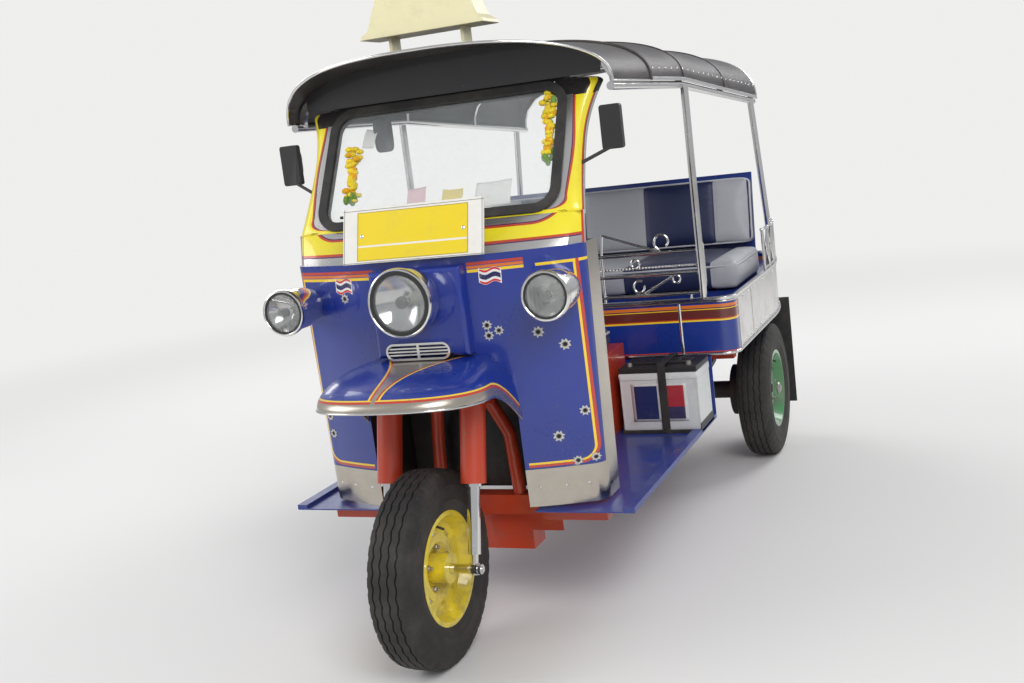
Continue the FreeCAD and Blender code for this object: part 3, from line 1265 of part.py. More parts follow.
def roof_posts():
    """Chrome uprights between the tub and the roof's side tubes."""
    parts = []
    foot = float(S.tub_top + S.cap_height)
    for station in (float(PLAN.post_station), float(PLAN.rear_post_station)):
        w, edge, crown = roof_at(station)
        top = edge - float(S.rail_tube_radius) - float(S.fit_gap)
        for sign in (1, -1):
            x = sign * float(PLAN.post_spread)
            low_x = x if station < float(PLAN.tub_waist) else sign * (tub_side(station) - 4)
            post = cylinder((low_x, station, foot), (x, station, top), S.post_radius)
            parts.append(post.common(block(-900, 900, 0, 4000, foot + float(S.fit_gap), 2000)))
    return parts


def tub_plan(inset, level):
    """The tub's outline at a level: rounded corners, straight sides that draw in to the tail."""
    half = float(S.tub_half_width) - inset
    front, rear = float(PLAN.tub_front) + inset, float(PLAN.tub_rear) - inset
    waist, tail = float(PLAN.tub_waist), float(PLAN.tub_tail_half_width) - inset
    fc, rc = float(S.tub_front_corner), float(S.tub_rear_corner)
    k = 1 - math.sqrt(0.5)
    bend = rear - rc
    middle_x = tail + (half - tail) * 0.72
    right = [V(half - fc, front, level), V(half - fc * k, front + fc * k, level), V(half, front + fc, level),
             V(half, waist, level), V(middle_x, (waist + bend) / 2, level), V(tail, bend, level),
             V(tail - rc * k * 0.9, rear - rc * k, level), V(tail - rc, rear, level)]
    left = [V(-p.x, p.y, p.z) for p in right]
    edges = half_loop(right) + [Part.LineSegment(right[-1], left[-1]).toShape()]
    edges += half_loop(left)[::-1] + [Part.LineSegment(left[0], right[0]).toShape()]
    return Part.Face(Part.Wire(Part.__sortEdges__(edges)))


def half_loop(p):
    """One side of the tub's outline: front corner, straight side, draw-in and rear corner."""
    return [Part.Arc(p[0], p[1], p[2]).toShape(), Part.LineSegment(p[2], p[3]).toShape(),
            Part.Arc(p[3], p[4], p[5]).toShape(), Part.Arc(p[5], p[6], p[7]).toShape()]


def tub_prism(inset, low, high):
    """The space inside the tub's outline between two levels."""
    low, high = float(low), float(high)
    return tub_plan(inset, low).extrude(V(0, 0, high - low))


def make_tub():
    """Painted front and rear panels, bright sides, floor and the rounded cap on their edge."""
    low, high, sheet = float(S.tub_bottom), float(S.tub_top), float(S.tub_sheet)
    ring = tub_prism(0.0, low, high).cut(tub_prism(sheet, low - 1, high + 1))
    split, bend = float(PLAN.tub_split), float(PLAN.tub_rear) - float(S.tub_rear_corner)
    between = block(-900, 900, split, bend, low, high)
    shape_piece("tub_panels", Part.makeCompound(ring.cut(between).Solids))
    shape_piece("tub_sides", Part.makeCompound(ring.common(between).Solids))
    gap = float(S.fit_gap)
    floor = tub_prism(sheet + gap, low, low + sheet)
    shape_piece("tub_floor", floor)
    width = float(S.cap_width)
    over = (width - sheet) / 2
    cap = tub_prism(-over, high, high + float(S.cap_height)).cut(
        tub_prism(sheet + over, high - 1, high + float(S.cap_height) + 1))
    shape_piece("tub_cap", cap)


def make_bench_cushion():
    """Bench cushion with a rounded top."""
    cushion = new_body("seat_cushion")
    half, front = PLAN.bench_half_width, PLAN.bench_front
    base = S.seat_box_top + S.fit_gap
    plan = rectangle(-half, half, front, front + S.bench_depth)
    block_pad = pad(cushion, "XY_Plane", base, [plan], S.bench_height)
    level = float(base + S.bench_height) - 1
    softened(cushion, block_pad, S.bench_crown, lambda box: box.ZMax > level)


def make_bench():
    """Box under the bench with its deck, cushion, backrest and the panel behind it."""
    sheet, low, top = float(S.tub_sheet), float(S.tub_bottom + S.tub_sheet), float(S.seat_box_top)
    front = float(PLAN.seat_box_front)
    zone = tub_prism(sheet + 0.5, low, top)
    riser = zone.common(block(-900, 900, front, front + sheet, low, top))
    deck = zone.common(block(-900, 900, front, 4000, top - sheet, top))
    make_bench_cushion()
    start, depth = float(PLAN.bench_front), float(S.bench_depth)
    base = top + float(S.fit_gap)

    half, height = float(PLAN.backrest_half_width), float(S.backrest_height)
    thick = float(S.backrest_thickness)
    lean = float(S.backrest_lean)
    back = start + depth + 30
    rest_base = base + float(S.bench_height) + 1 + thick * math.sin(math.radians(lean))
    foot_y = back - thick
    cushion = Part.makeBox(2 * half, thick, height, V(-half, 0, 0))
    cushion = cushion.makeFillet(22, [e for e in cushion.Edges])
    cushion.rotate(V(0, 0, 0), V(1, 0, 0), -lean)
    cushion.translate(V(0, foot_y, rest_base))
    shape_piece("seat_back", cushion)
    panel_height = rest_base + height - top + 5
    panel = Part.makeBox(2 * half - 20, 8, panel_height / math.cos(math.radians(lean)), V(10 - half, 0, 0))
    panel.rotate(V(0, 0, 0), V(1, 0, 0), -lean)
    offset = math.tan(math.radians(lean)) * (rest_base - top)
    panel.translate(V(0, foot_y + (thick + 0.4) / math.cos(math.radians(lean)) - offset, top))
    panel = panel.common(block(-900, 900, 0, 4000, top, 4000))
    board = block(-PLAN.board_half_width, PLAN.board_half_width, PLAN.board_front,
                  PLAN.tub_rear - 4 * S.tub_sheet, top - sheet, top + float(S.board_sheet))
    shape_piece("seat_box", fused([riser, deck, panel, board]))


def scroll(centre, radius, thickness, sign, start, sweep):
    """A curl of square bar in the partition's plane, turned about its own centre."""
    x, y, z = centre
    half = float(thickness) / 2
    corners = [V(x + radius - half, y - half, z), V(x + radius + half, y - half, z),
               V(x + radius + half, y + half, z), V(x + radius - half, y + half, z)]
    curl = Part.Face(Part.makePolygon(corners + corners[:1])).revolve(V(x, y, z), V(0, -1, 0), abs(sweep))
    curl.rotate(V(x, y, z), V(0, -1, 0), min(start, start + sweep))
    return curl if sign > 0 else curl.mirror(V(0, 0, 0), V(1, 0, 0))


def make_partition():
    """Chrome rails between the front posts, with uprights and curls."""
    y, r, thin = PLAN.post_station, S.partition_bar, S.partition_curl
    end = PLAN.post_spread - S.post_radius - S.fit_gap
    foot = S.tub_top + S.cap_height
    height = S.partition_height
    # share of the partition's height, radius of the rail
    rails = [(0.104, r), (0.543, r), (0.701, thin), (1.0, r)]
    items = []
    for number, (rise, radius) in enumerate(rails, start=1):
        items.append(rod_item("Rail" + str(number), "X", (-end, y, foot + rise * height), 2 * end, radius))
    # share of the way from the middle to a post, share of the height, of an upright
    uprights = [(0.345, 1.0), (0.944, 0.104)]
    for side, sign in (("Left", 1), ("Right", -1)):
        for number, (share, rise) in enumerate(uprights, start=1):
            items.append(rod_item(side + "Upright" + str(number), "Z", (sign * share * end, y, foot),
                                  rise * height, r - 1))
    # share of the way to a post, share of the height, radius as a share of the height, first angle, turn
    curls = [(0.777, 1.232, 0.183, 250, -300), (0.576, 0.799, 0.110, 270, 330),
             (0.595, 0.293, 0.146, 60, 320), (0.850, 0.415, 0.098, 90, -300)]
    # where a slanting bar starts and ends, each as a share of the way to a post and of the height
    slants = [((0.618, 0.134), (0.845, 0.512)), ((0.365, 1.463), (0.758, 1.024)),
              ((0.345, 0.945), (0.365, 1.482))]
    reach, level, station, tall, bar_width = [float(v) for v in (end, foot, y, height, 2 * thin)]
    ornaments = []
    for sign in (1, -1):
        for share, rise, radius, start, turn in curls:
            centre = (share * reach, station, level + rise * tall)
            ornaments.append(scroll(centre, radius * tall, bar_width, sign, start, turn))
        for (near, low), (far, high) in slants:
            a = V(sign * near * reach, station, level + low * tall)
            b = V(sign * far * reach, station, level + high * tall)
            ornaments.append(flat_bar(a, b, V(0, 1, 0), bar_width))
    items += [shape_item("Ornament" + str(n), shape) for n, shape in enumerate(ornaments, start=1)]
    stand(joined("partition_rails", items), "partition_rails")


def make_lattices():
    """Bright railings of square bar on the tub's cap beside the bench, which follow its plan."""
    width, bays = 2 * float(S.lattice_bar), 4
    front, rear, height = float(PLAN.lattice_front), float(PLAN.lattice_rear), float(S.lattice_height)
    low = float(S.tub_top + S.cap_height) + width / 2 + float(S.fit_gap)
    railings = []
    for sign in (1, -1):
        feet = []
        for bay in range(bays + 1):
            y = front + (rear - front) * bay / bays
            feet.append(V(sign * (tub_side(y) - 2), y, low))
        heads = [p + V(0, 0, height) for p in feet]
        lift = V(0, 0, width / 2)
        parts = [flat_bar(p - lift, q + lift, V(1, 0, 0), width) for p, q in zip(feet, heads)]
        for a, b, c, d in zip(feet, feet[1:], heads, heads[1:]):
            side = (b - a).cross(c - a).normalize()
            parts += [flat_bar(a, b, side, width), flat_bar(c, d, side, width)]
            parts += [flat_bar(a, d, side, width * 0.6), flat_bar(b, c, side, width * 0.6)]
        railings.append(fused(parts))
    shape_piece("side_lattices", Part.makeCompound(railings))


def make_driver_place():
    """Engine, the box over it with the driver's cushion, and the dashboard."""
    base = S.chassis_top + S.pan_sheet
    half, top = S.driver_box_half_width, S.driver_box_top
    front, rear = PLAN.driver_box_front, PLAN.driver_box_rear
    engine = new_body("engine")
    plan = rectangle(-S.engine_half_width, S.engine_half_width, PLAN.engine_front, PLAN.engine_rear)
    casting = pad(engine, "XY_Plane", S.engine_bottom, [plan], S.engine_top - S.engine_bottom)
    softened(engine, casting, S.engine_corner, lambda box: box.ZLength > 50)

    sheet, window = S.driver_box_sheet, S.shaft_window / 2
    outer = box_item("DriverBoxOuter", -half, half, front, rear, base, top)
    inner = box_item("DriverBoxInner", sheet - half, half - sheet, front + sheet, rear - sheet, base - sheet,
                     top - sheet)
    gap = box_item("ShaftGap", -window, window, rear - 2 * sheet, rear + sheet, base - sheet,
                   S.shaft_window_top)
    stand(less("driver_box", outer, joined("DriverBoxCuts", [inner, gap])), "driver_box")

    cushion = new_body("driver_cushion")
    inset = S.driver_cushion_inset
    plan = rectangle(inset - half, half - inset, front + inset, rear - 5 * inset)
    block_pad = pad(cushion, "XY_Plane", top + S.fit_gap, [plan], S.driver_seat_height)
    level = float(top + S.driver_seat_height) - 1
    softened(cushion, block_pad, S.driver_cushion_crown, lambda box: box.ZMax > level)

    dash = cowl_solid(float(S.cowl_sheet + S.fit_gap), float(S.belt - 2 * S.dash_sheet), float(S.belt))
    dash = dash.common(block(-PLAN.cowl_half_width, PLAN.cowl_half_width, 0, S.screen_station + S.dash_depth,
                             S.belt - S.dash_sheet, S.belt))
    shape_piece("dashboard", max(dash.Solids, key=lambda s: s.Volume))


def make_battery():
    """Battery on the left of the footboard: its tray, case, lid and two terminals."""
    body = new_body("battery")
    outer, front = S.battery_outer, PLAN.battery_station
    inner, rear = outer - S.battery_width, front + S.battery_depth
    rim, lip = S.battery_rim, PLAN.pan_half_width - S.lip_width - S.fit_gap
    base = S.chassis_top + S.lip_height
    top = base + S.battery_height
    pad(body, "XY_Plane", S.chassis_top + S.pan_sheet, [rectangle(inner - rim, lip, front - rim, rear + rim)],
        S.lip_height - S.pan_sheet)
    case = pad(body, "XY_Plane", base, [rectangle(inner, outer, front, rear)], S.battery_height)
    low, high = float(base) + 1, float(top) - 1
    softened(body, case, S.battery_corner, lambda box: box.ZMin < low and box.ZMax > high and box.XLength < 1)
    lid = S.battery_rim / 2
    pad(body, "XY_Plane", top, [rectangle(inner - lid, outer + lid, front - lid, rear + lid)], S.battery_lid)
    half, middle = S.terminal_width / 2, (front + rear) / 2
    posts = [rectangle(x - half, x + half, middle - half, middle + half)
             for x in (inner + S.terminal_inset, outer - S.terminal_inset)]
    pad(body, "XY_Plane", top + S.battery_lid, posts, S.terminal_height)


def make_rear_axle():
    """Rear axle, its springs, the propeller shaft and the silencer."""
    y, z = float(S.wheelbase), float(S.rear_tyre_radius)
    r, ball = float(S.axle_tube_radius), float(S.differential_radius)
    inner = float(S.track) / 2 - float(S.rear_tyre_width) / 2 - 12
    end = float(S.track) / 2 + 34
    depth, drum, stub = float(S.drum_depth), float(S.drum_radius), float(S.rear_stub_radius)
    half_section = [(40, ball), (85, ball * 0.78), (130, r), (inner - depth, r), (inner - depth, drum),
                    (inner, drum), (inner, stub), (end, stub)]
    section = [(-x, radius) for x, radius in reversed(half_section)] + half_section
    section += [(end, 0), (-end, 0)]
    parts = [revolved(section, z, y), cylinder((0, y - ball - 50, z), (0, y, z), 48),
             cylinder((0, y, z), (0, y + ball + 8, z), 62)]
    pad_x = float(S.rail_spread)
    pad_top = z + r + 10
    width = float(S.spring_width)
    for sign in (1, -1):
        parts.append(block(sign * pad_x - width / 2, sign * pad_x + width / 2, y - 50, y + 50, z, pad_top))

    half, rise, leaf = float(S.spring_half_length), float(S.spring_rise), float(S.leaf_thickness)
    hang = float(S.chassis_top - S.rail_height + S.kick_rise)
    springs = []
    for sign in (1, -1):
        x = sign * pad_x - width / 2
        layers = []
        for k, share in enumerate((0.35, 0.6, 0.82, 1.0)):
            reach, lift = half * share, rise * share * share
            floor = pad_top + k * leaf
            low = [V(x, y - reach, floor + lift), V(x, y, floor), V(x, y + reach, floor + lift)]
            high = [V(p.x, p.y, p.z + leaf) for p in low]
            edges = [Part.Arc(*low).toShape(), Part.LineSegment(low[2], high[2]).toShape(),
                     Part.Arc(*reversed(high)).toShape(), Part.LineSegment(high[0], low[0]).toShape()]
            layers.append(Part.Face(Part.Wire(edges)).extrude(V(width, 0, 0)))
        level = pad_top + 3.5 * leaf + rise
        for end_y in (y - half, y + half):
            eye = cylinder((x, end_y, level), (x + width, end_y, level), 16)
            hanger = block(x + 6, x + width - 6, end_y - 16, end_y + 16, level, hang)
            layers += [eye, hanger]
        springs.append(fused(layers))
    shape_piece("leaf_springs", Part.makeCompound(springs))

    nose = y - ball - 50
    start = float(PLAN.engine_rear)
    level = float(S.shaft_level)
    shaft = [cylinder((0, start + 60, level), (0, nose - 40, z + 8), 22),
             cylinder((0, start, level), (0, start + 62, level), 34),
             cylinder((0, nose - 42, z), (0, nose, z), 34)]
    shape_piece("rear_axle", fused(parts + shaft))


def make_exhaust():
    """Pipe down from the engine, silencer on its hanger, and tail pipe."""
    x, level, radius = -float(S.exhaust_side), float(S.exhaust_level), float(S.exhaust_pipe_radius)
    front, rear = float(PLAN.muffler_front), float(PLAN.muffler_front + S.muffler_length)
    inlet, reach, lap = float(PLAN.engine_front + S.exhaust_port), float(S.tail_pipe_length), 5
    down = [(x, inlet, S.engine_bottom), (x, inlet, level), (x, front + lap, level)]
    out = [(x, rear - lap, level), (x, rear + reach / 2, level), (x - 0.4 * reach, rear + reach, level - 20)]
    pipe = bar(down, radius, 2.4 * radius)
    tail = bar(out, radius, 3.5 * radius)
    muffler = cylinder((x, front, level), (x, rear, level), S.muffler_radius)
    half, start = float(S.hanger_width) / 2, float(PLAN.kick_start - S.hanger_ahead)
    hanger = block(x - half, x + half, start, start + S.hanger_sheet, level, S.chassis_top - S.rail_height)
    shape_piece("exhaust", fused([pipe, muffler, tail, hanger]))


def make_tail():
    """Bumper, lamps and mud flaps."""
    radius, level, half = S.bumper_radius, S.bumper_level, PLAN.bearer_half_width
    y = TAIL - radius
    items = [rod_item("BumperTube", "X", (-half, y, level), 2 * half, radius)]
    collar, arm, rise = S.bumper_collar_length / 2, S.bumper_arm_width / 2, S.bumper_arm_height / 2
    for side, sign in (("Left", 1), ("Right", -1)):
        x = sign * S.rail_spread
        items.append(rod_item(side + "BumperCollar", "X", (x - collar, y, level), 2 * collar,
                              S.bumper_collar_radius))
        items.append(box_item(side + "BumperArm", x - arm, x + arm, TAIL - S.rail_tail, y, level - rise,
                              level + rise))
    stand(joined("rear_bumper", items), "rear_bumper")

    face, low = PLAN.tub_rear + S.fit_gap, S.tail_lamp_bottom
    body = new_body("tail_lamps")
    plans = [rectangle(x - S.tail_lamp_width / 2, x + S.tail_lamp_width / 2, face, face + S.tail_lamp_depth)
             for x in (S.tail_lamp_spread, -S.tail_lamp_spread)]
    lens = pad(body, "XY_Plane", low, plans, S.tail_lamp_height)
    outer = float(face) + 2
    softened(body, lens, S.tail_lamp_corner, lambda box: box.YMin > outer)

    body = new_body("mud_flaps")
    front = S.wheelbase + S.rear_tyre_radius + S.flap_gap
    plans = [rectangle(x - S.flap_width / 2, x + S.flap_width / 2, front, front + S.flap_sheet)
             for x in (S.track / 2, -S.track / 2)]
    pad(body, "XY_Plane", S.flap_bottom, plans, S.tub_bottom - S.flap_bottom)


def make_mirrors(frame):
    """Oblong mirrors on short arms at the sides of the windscreen frame."""
    width, height, depth = float(S.mirror_width), float(S.mirror_height), float(S.mirror_depth)
    parts = []
    for sign in (1, -1):
        side = sign * float(PLAN.screen_waist_half_width)
        foot = screen_point(side, S.mirror_foot, -S.screen_frame_depth / 2)
        x, y = sign * float(PLAN.mirror_spread), foot.y + float(S.mirror_back)
        tip = V(x, y, foot.z + float(S.mirror_rise))
        root = V(foot.x - sign * float(S.mirror_depth) / 2, foot.y, foot.z)
        arm = cylinder(root, tip, S.mirror_arm_radius)
        low = tip.z - height * 0.08
        head = block(x - width / 2, x + width / 2, y - depth / 2, y + depth / 2, low, low + height)
        corners = [edge for edge in head.Edges if edge.BoundBox.YLength > depth - 1]
        head = head.makeFillet(float(S.mirror_corner), corners)
        parts.append(fused([arm, head]).cut(frame))
    shape_piece("mirrors", Part.makeCompound([max(p.Solids, key=lambda s: s.Volume) for p in parts]))


def make_sign(visor):
    """Blank roof sign with its flared foot, on two short legs."""
    y, low, height = float(S.sign_station), float(S.sign_foot), float(S.sign_height)
    half, depth = float(S.sign_half_width), float(S.sign_depth)
    # share of the height, inset of the side, inset of the front
    table = [(0.0, 0, 0), (0.06, 4, 3), (0.14, 22, 12), (0.85, 72, 26), (1.0, 90, 38)]
    wires = []
    for share, side, face in table:
        z, w, d = low + height * share, half - side, depth / 2 - face
        wires.append(Part.makePolygon([V(-w, y - d, z), V(w, y - d, z), V(w, y + d, z), V(-w, y + d, z),
                                       V(-w, y - d, z)]))
    sign_body = Part.makeLoft(wires, True, True)
    edge = roof_at(y)[1]
    legs = []
    spread, step, radius = float(S.sign_leg_spread) / 2, float(S.sign_leg_step) / 2, float(S.sign_leg_radius)
    for sign in (1, -1):
        x = sign * spread
        tops = [landing(V(x + dx, y + dy, low), V(x + dx, y + dy, edge), visor).z
                for dx in (-radius, radius) for dy in (-step, step)]
        legs.append(block(x - radius, x + radius, y - step, y + step, max(tops) + float(S.fit_gap), low))
    shape_piece("roof_sign", fused([sign_body] + legs))


def check_document():
    """Stops if any object failed or any sub-part has no sound shape."""
    document.recompute()
    for item in document.Objects:
        if "Invalid" in item.State or "Error" in item.State:
            raise RuntimeError(item.Name + " failed: " + str(item.State))
    for item in pieces:
        if item.Shape.isNull() or not item.Shape.isValid() or not item.Shape.Solids:
            raise RuntimeError(item.Label + " has no sound shape")


def write_parts():
    """Writes each sub-part to its own file."""
    os.makedirs("parts", exist_ok=True)
    for item in pieces:
        item.Shape.exportStep("parts/" + item.Label + ".step")


make_wheels()
make_fork()
make_chassis()
make_footboard()
make_cowl()
make_grille()
make_mudguard()
make_headlamps()
windscreen = make_windscreen()
make_plate(windscreen)
roof_front = make_roof()
make_tub()
make_bench()
make_partition()
make_lattices()
make_driver_place()
make_battery()
make_rear_axle()
make_exhaust()
make_tail()
make_mirrors(windscreen)
make_sign(roof_front)
check_document()
write_parts()
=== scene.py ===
"""Looks of a three-wheeled auto rickshaw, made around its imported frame.

Metres, +Z up, -Y towards the front wheel, +X to the vehicle's left. Pieces are surfaces worked out
with numpy. Materials are node trees on Object coordinates or on a piece's own map of distances.
"""

import json
import logging
import math
from contextlib import contextmanager
from dataclasses import dataclass
from enum import Enum
from typing import Callable, Iterator, Optional, Sequence, Union

import bmesh
import bpy
import numpy as np
from mathutils import Matrix, Vector
from mathutils.bvhtree import BVHTree

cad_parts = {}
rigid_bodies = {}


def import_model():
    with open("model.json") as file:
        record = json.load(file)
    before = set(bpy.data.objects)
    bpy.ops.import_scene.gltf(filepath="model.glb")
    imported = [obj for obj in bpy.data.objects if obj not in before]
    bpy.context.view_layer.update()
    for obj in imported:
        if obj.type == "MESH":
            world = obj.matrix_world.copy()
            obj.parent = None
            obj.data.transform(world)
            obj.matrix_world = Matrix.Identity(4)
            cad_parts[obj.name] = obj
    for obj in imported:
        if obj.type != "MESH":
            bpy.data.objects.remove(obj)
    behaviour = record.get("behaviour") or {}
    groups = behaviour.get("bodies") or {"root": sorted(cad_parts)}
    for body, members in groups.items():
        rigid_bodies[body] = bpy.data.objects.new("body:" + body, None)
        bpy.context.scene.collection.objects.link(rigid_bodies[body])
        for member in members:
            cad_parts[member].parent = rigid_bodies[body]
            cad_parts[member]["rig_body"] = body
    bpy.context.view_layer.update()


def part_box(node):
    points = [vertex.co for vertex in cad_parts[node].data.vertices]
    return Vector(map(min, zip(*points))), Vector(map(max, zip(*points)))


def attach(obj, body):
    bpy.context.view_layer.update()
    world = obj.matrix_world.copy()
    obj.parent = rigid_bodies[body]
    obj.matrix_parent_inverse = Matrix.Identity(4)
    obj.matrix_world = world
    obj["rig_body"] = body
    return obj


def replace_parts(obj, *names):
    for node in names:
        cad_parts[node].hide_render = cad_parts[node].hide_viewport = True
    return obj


LOG = logging.getLogger("rickshaw")
TURN = 2 * math.pi
# y of the front axle, which is the zero of the stations measured along the vehicle
AXLE = -1.146

Array = np.ndarray
Number = Union[float, Array]
Spot = Sequence[float]
Points = Sequence[Sequence[float]]
Place = tuple[float, float, float]
Colour = Place
Piece = bpy.types.Object
Material = bpy.types.Material
ACROSS, AHEAD, UP = (1.0, 0.0, 0.0), (0.0, 1.0, 0.0), (0.0, 0.0, 1.0)


class Body(str, Enum):
    """Rigid bodies of the frame that the new pieces ride on."""

    ROOT = "root"
    FRONT_WHEEL = "front_wheel"
    REAR_LEFT = "rear_wheel_left"
    REAR_RIGHT = "rear_wheel_right"


def operator(operation: str, last: bool = False) -> Callable[..., "Expr"]:
    """Makes a method of Expr that adds one Math node.

    Args:
        operation: Blender's name of the operation.
        last: Whether the expression is the node's last input, and not its first.

    Returns:
        The method.
    """

    def method(own: "Expr", *others: "Value") -> "Expr":
        """The node's output."""
        values = (*others, own) if last else (own, *others)
        return own.graph.node("ShaderNodeMath", {"operation": operation}, *values)

    return method


class Expr:
    """A shader socket that takes part in Python arithmetic."""

    __add__, __radd__ = operator("ADD"), operator("ADD", True)
    __sub__, __rsub__ = operator("SUBTRACT"), operator("SUBTRACT", True)
    __mul__, __rmul__ = operator("MULTIPLY"), operator("MULTIPLY", True)
    __gt__, __lt__ = operator("GREATER_THAN"), operator("LESS_THAN")
    __pow__, size, sine = operator("POWER"), operator("ABSOLUTE"), operator("SINE")
    larger, smaller = operator("MAXIMUM"), operator("MINIMUM")

    def __init__(self, graph: "Graph", socket: bpy.types.NodeSocket) -> None:
        """Wraps one output socket of a graph."""
        self.graph, self.socket = graph, socket

    def ramp(self, low: float, high: float, start: float = 0.0, end: float = 1.0) -> "Expr":
        """Runs smoothly from start to end while the value goes from low to high, and stays there."""
        return self.graph.node("ShaderNodeMapRange", {"interpolation_type": "SMOOTHSTEP"}, self, low, high, start, end)

    def band(self, centre: float, width: float, soft: float) -> "Expr":
        """1 in a stripe of a width about a centre, with soft edges, else 0."""
        return (self - centre).size().ramp(width / 2 - soft, width / 2 + soft, 1.0, 0.0)


Value = Union[Expr, float]
Tint = Union[Expr, Colour]


class Graph:
    """The node tree of one material, with a Principled shader at its end."""

    def __init__(self, name: str) -> None:
        """Makes the tree, with the point on the object as a vector and as its three numbers.

        Args:
            name: of the material.
        """
        self.material = bpy.data.materials.new(name)
        self.material.use_nodes = True
        self.tree = self.material.node_tree
        self.tree.nodes.clear()
        self.shader = self.tree.nodes.new("ShaderNodeBsdfPrincipled")
        self.end = self.tree.nodes.new("ShaderNodeOutputMaterial")
        self.tree.links.new(self.shader.outputs[0], self.end.inputs["Surface"])
        self.point = self.node("ShaderNodeTexCoord", {}, out=3)
        split = self.node("ShaderNodeSeparateXYZ", {}, self.point).socket.node
        self.x, self.y, self.z = (Expr(self, output) for output in split.outputs)

    def node(self, kind: str, settings: dict[str, object], *values: object, out: int = 0,
             **named: object) -> Expr:
        """Adds a node, sets it up and feeds its inputs.

        Args:
            kind: the node's type.
            settings: the node's own settings, set first.
            values: values or links of its first inputs, in order; None leaves one alone.
            out: which output is returned.
            named: values or links of inputs by name, with _ for a space.

        Returns:
            The chosen output.
        """
        node = self.tree.nodes.new(kind)
        for key, value in settings.items():
            setattr(node, key, value)
        pairs = [(node.inputs[i], v) for i, v in enumerate(values) if v is not None]
        pairs += [(node.inputs[key.replace("_", " ")], v) for key, v in named.items()]
        for socket, value in pairs:
            self.feed(socket, value)
        return Expr(self, node.outputs[out])

    def feed(self, socket: bpy.types.NodeSocket, value: object) -> None:
        """Links or sets one input socket.

        Args:
            socket: the input.
            value: an Expr to link, or a number or colour to set.
        """
        if isinstance(value, Expr):
            self.tree.links.new(value.socket, socket)
        elif isinstance(value, (tuple, list)) and socket.type == "RGBA":
            socket.default_value = (*value, 1.0)[:4]
        else:
            socket.default_value = value

    def reading(self, attribute: str) -> Expr:
        """A number that the mesh carries at each point."""
        return self.node("ShaderNodeAttribute", {"attribute_name": attribute}, out=2)

    def noise(self, scale: float, detail: float = 3.0, rough: float = 0.55, stretch: Optional[Colour] = None) -> Expr:
        """Soft random values about 0.5, with lumps of 1/scale metres, on a stretched point if asked.

        Args:
            scale: lumps a metre.
            detail: how many finer layers it has.
            rough: share of each finer layer.
            stretch: factors on the point.

        Returns:
            The value.
        """
        point = self.point
        if stretch:
            point = self.node("ShaderNodeVectorMath", {"operation": "MULTIPLY"}, point, stretch)
        return self.node("ShaderNodeTexNoise", {}, Vector=point, Scale=scale, Detail=detail, Roughness=rough)

    def mix(self, mask: Value, low: Tint, high: Tint) -> Expr:
        """A colour between two others.

        Args:
            mask: 0 gives low and 1 gives high.
            low: first colour.
            high: second colour.

        Returns:
            The mixed colour.
        """
        node = self.tree.nodes.new("ShaderNodeMix")
        node.data_type = "RGBA"
        node.clamp_factor = True
        for index, value in ((0, mask), (6, low), (7, high)):
            self.feed(node.inputs[index], value)
        return Expr(self, node.outputs[2])

    def tones(self, mask: Value, colour: Colour, low: float, high: float) -> Expr:
        """A colour from low to high times its brightness."""
        return self.mix(mask, tinted(colour, low), tinted(colour, high))

    def bump(self, height: Expr, depth: float) -> Expr:
        """A normal that follows a height of up to depth metres."""
        return self.node("ShaderNodeBump", {}, Strength=1.0, Distance=depth, Height=height)

    def done(self, **sockets: object) -> None:
        """Feeds the shader's inputs by name, with _ for a space."""
        for key, value in sockets.items():
            self.feed(self.shader.inputs[key.replace("_", " ")], value)


@dataclass(frozen=True)
class Window:
    """A range of one reading in which a stripe shows."""

    reading: str
    low: float
    high: float


@dataclass(frozen=True)
class Stripe:
    """A painted line or field; its width is measured in one reading of the point."""

    reading: str
    centre: float
    width: float
    colour: Colour
    windows: tuple[Window, ...] = ()
    metal: float = 0.0


ORANGE: Colour = (0.70, 0.17, 0.015)
AMBER: Colour = (0.92, 0.62, 0.02)
LEMON: Colour = (0.86, 0.70, 0.02)
DEEP_BLUE: Colour = (0.008, 0.030, 0.205)
OXIDE_RED: Colour = (0.50, 0.045, 0.012)
STEEL: Colour = (0.66, 0.65, 0.63)


def tinted(colour: Colour, share: float) -> Colour:
    """A colour made lighter or darker by a share."""
    return tuple(min(1.0, c * share) for c in colour)


@dataclass(frozen=True)
class RoundedFrame:
    """Signed distance from a rounded rectangle that may lean back; outside is positive."""

    name: str
    half: float
    low: float
    high: float
    corner: float
    lean: float = 0.0
    offset: float = 0.0

    def reading(self, x: Expr, y: Expr, z: Expr) -> Expr:
        """Distance in the sheet: heights are divided by the cosine of the lean.

        Args:
            x: across.
            y: along; unused here.
            z: height.

        Returns:
            The distance.
        """
        up = (z - self.offset) * (1.0 / math.cos(math.radians(self.lean)))
        middle, half_height = (self.low + self.high) / 2, (self.high - self.low) / 2
        across = x.size() - (self.half - self.corner)
        along = (up - middle).size() - (half_height - self.corner)
        outside = (across.larger(0.0) ** 2.0 + along.larger(0.0) ** 2.0) ** 0.5
        return outside + across.larger(along).smaller(0.0) - self.corner


@dataclass(frozen=True)
class Tongue:
    """How far a point lies outside a strip on the centre line that flares as a square."""

    name: str
    base: float
    flare: float
    start: float
    end: float

    def reading(self, x: Expr, y: Expr, z: Expr) -> Expr:
        """Distance across, less the strip's half width at this y."""
        share = ((y - self.start) * (1.0 / (self.end - self.start))).larger(0.0)
        return x.size() - self.base - (share ** 2.0) * self.flare


Ruler = Union[RoundedFrame, Tongue]


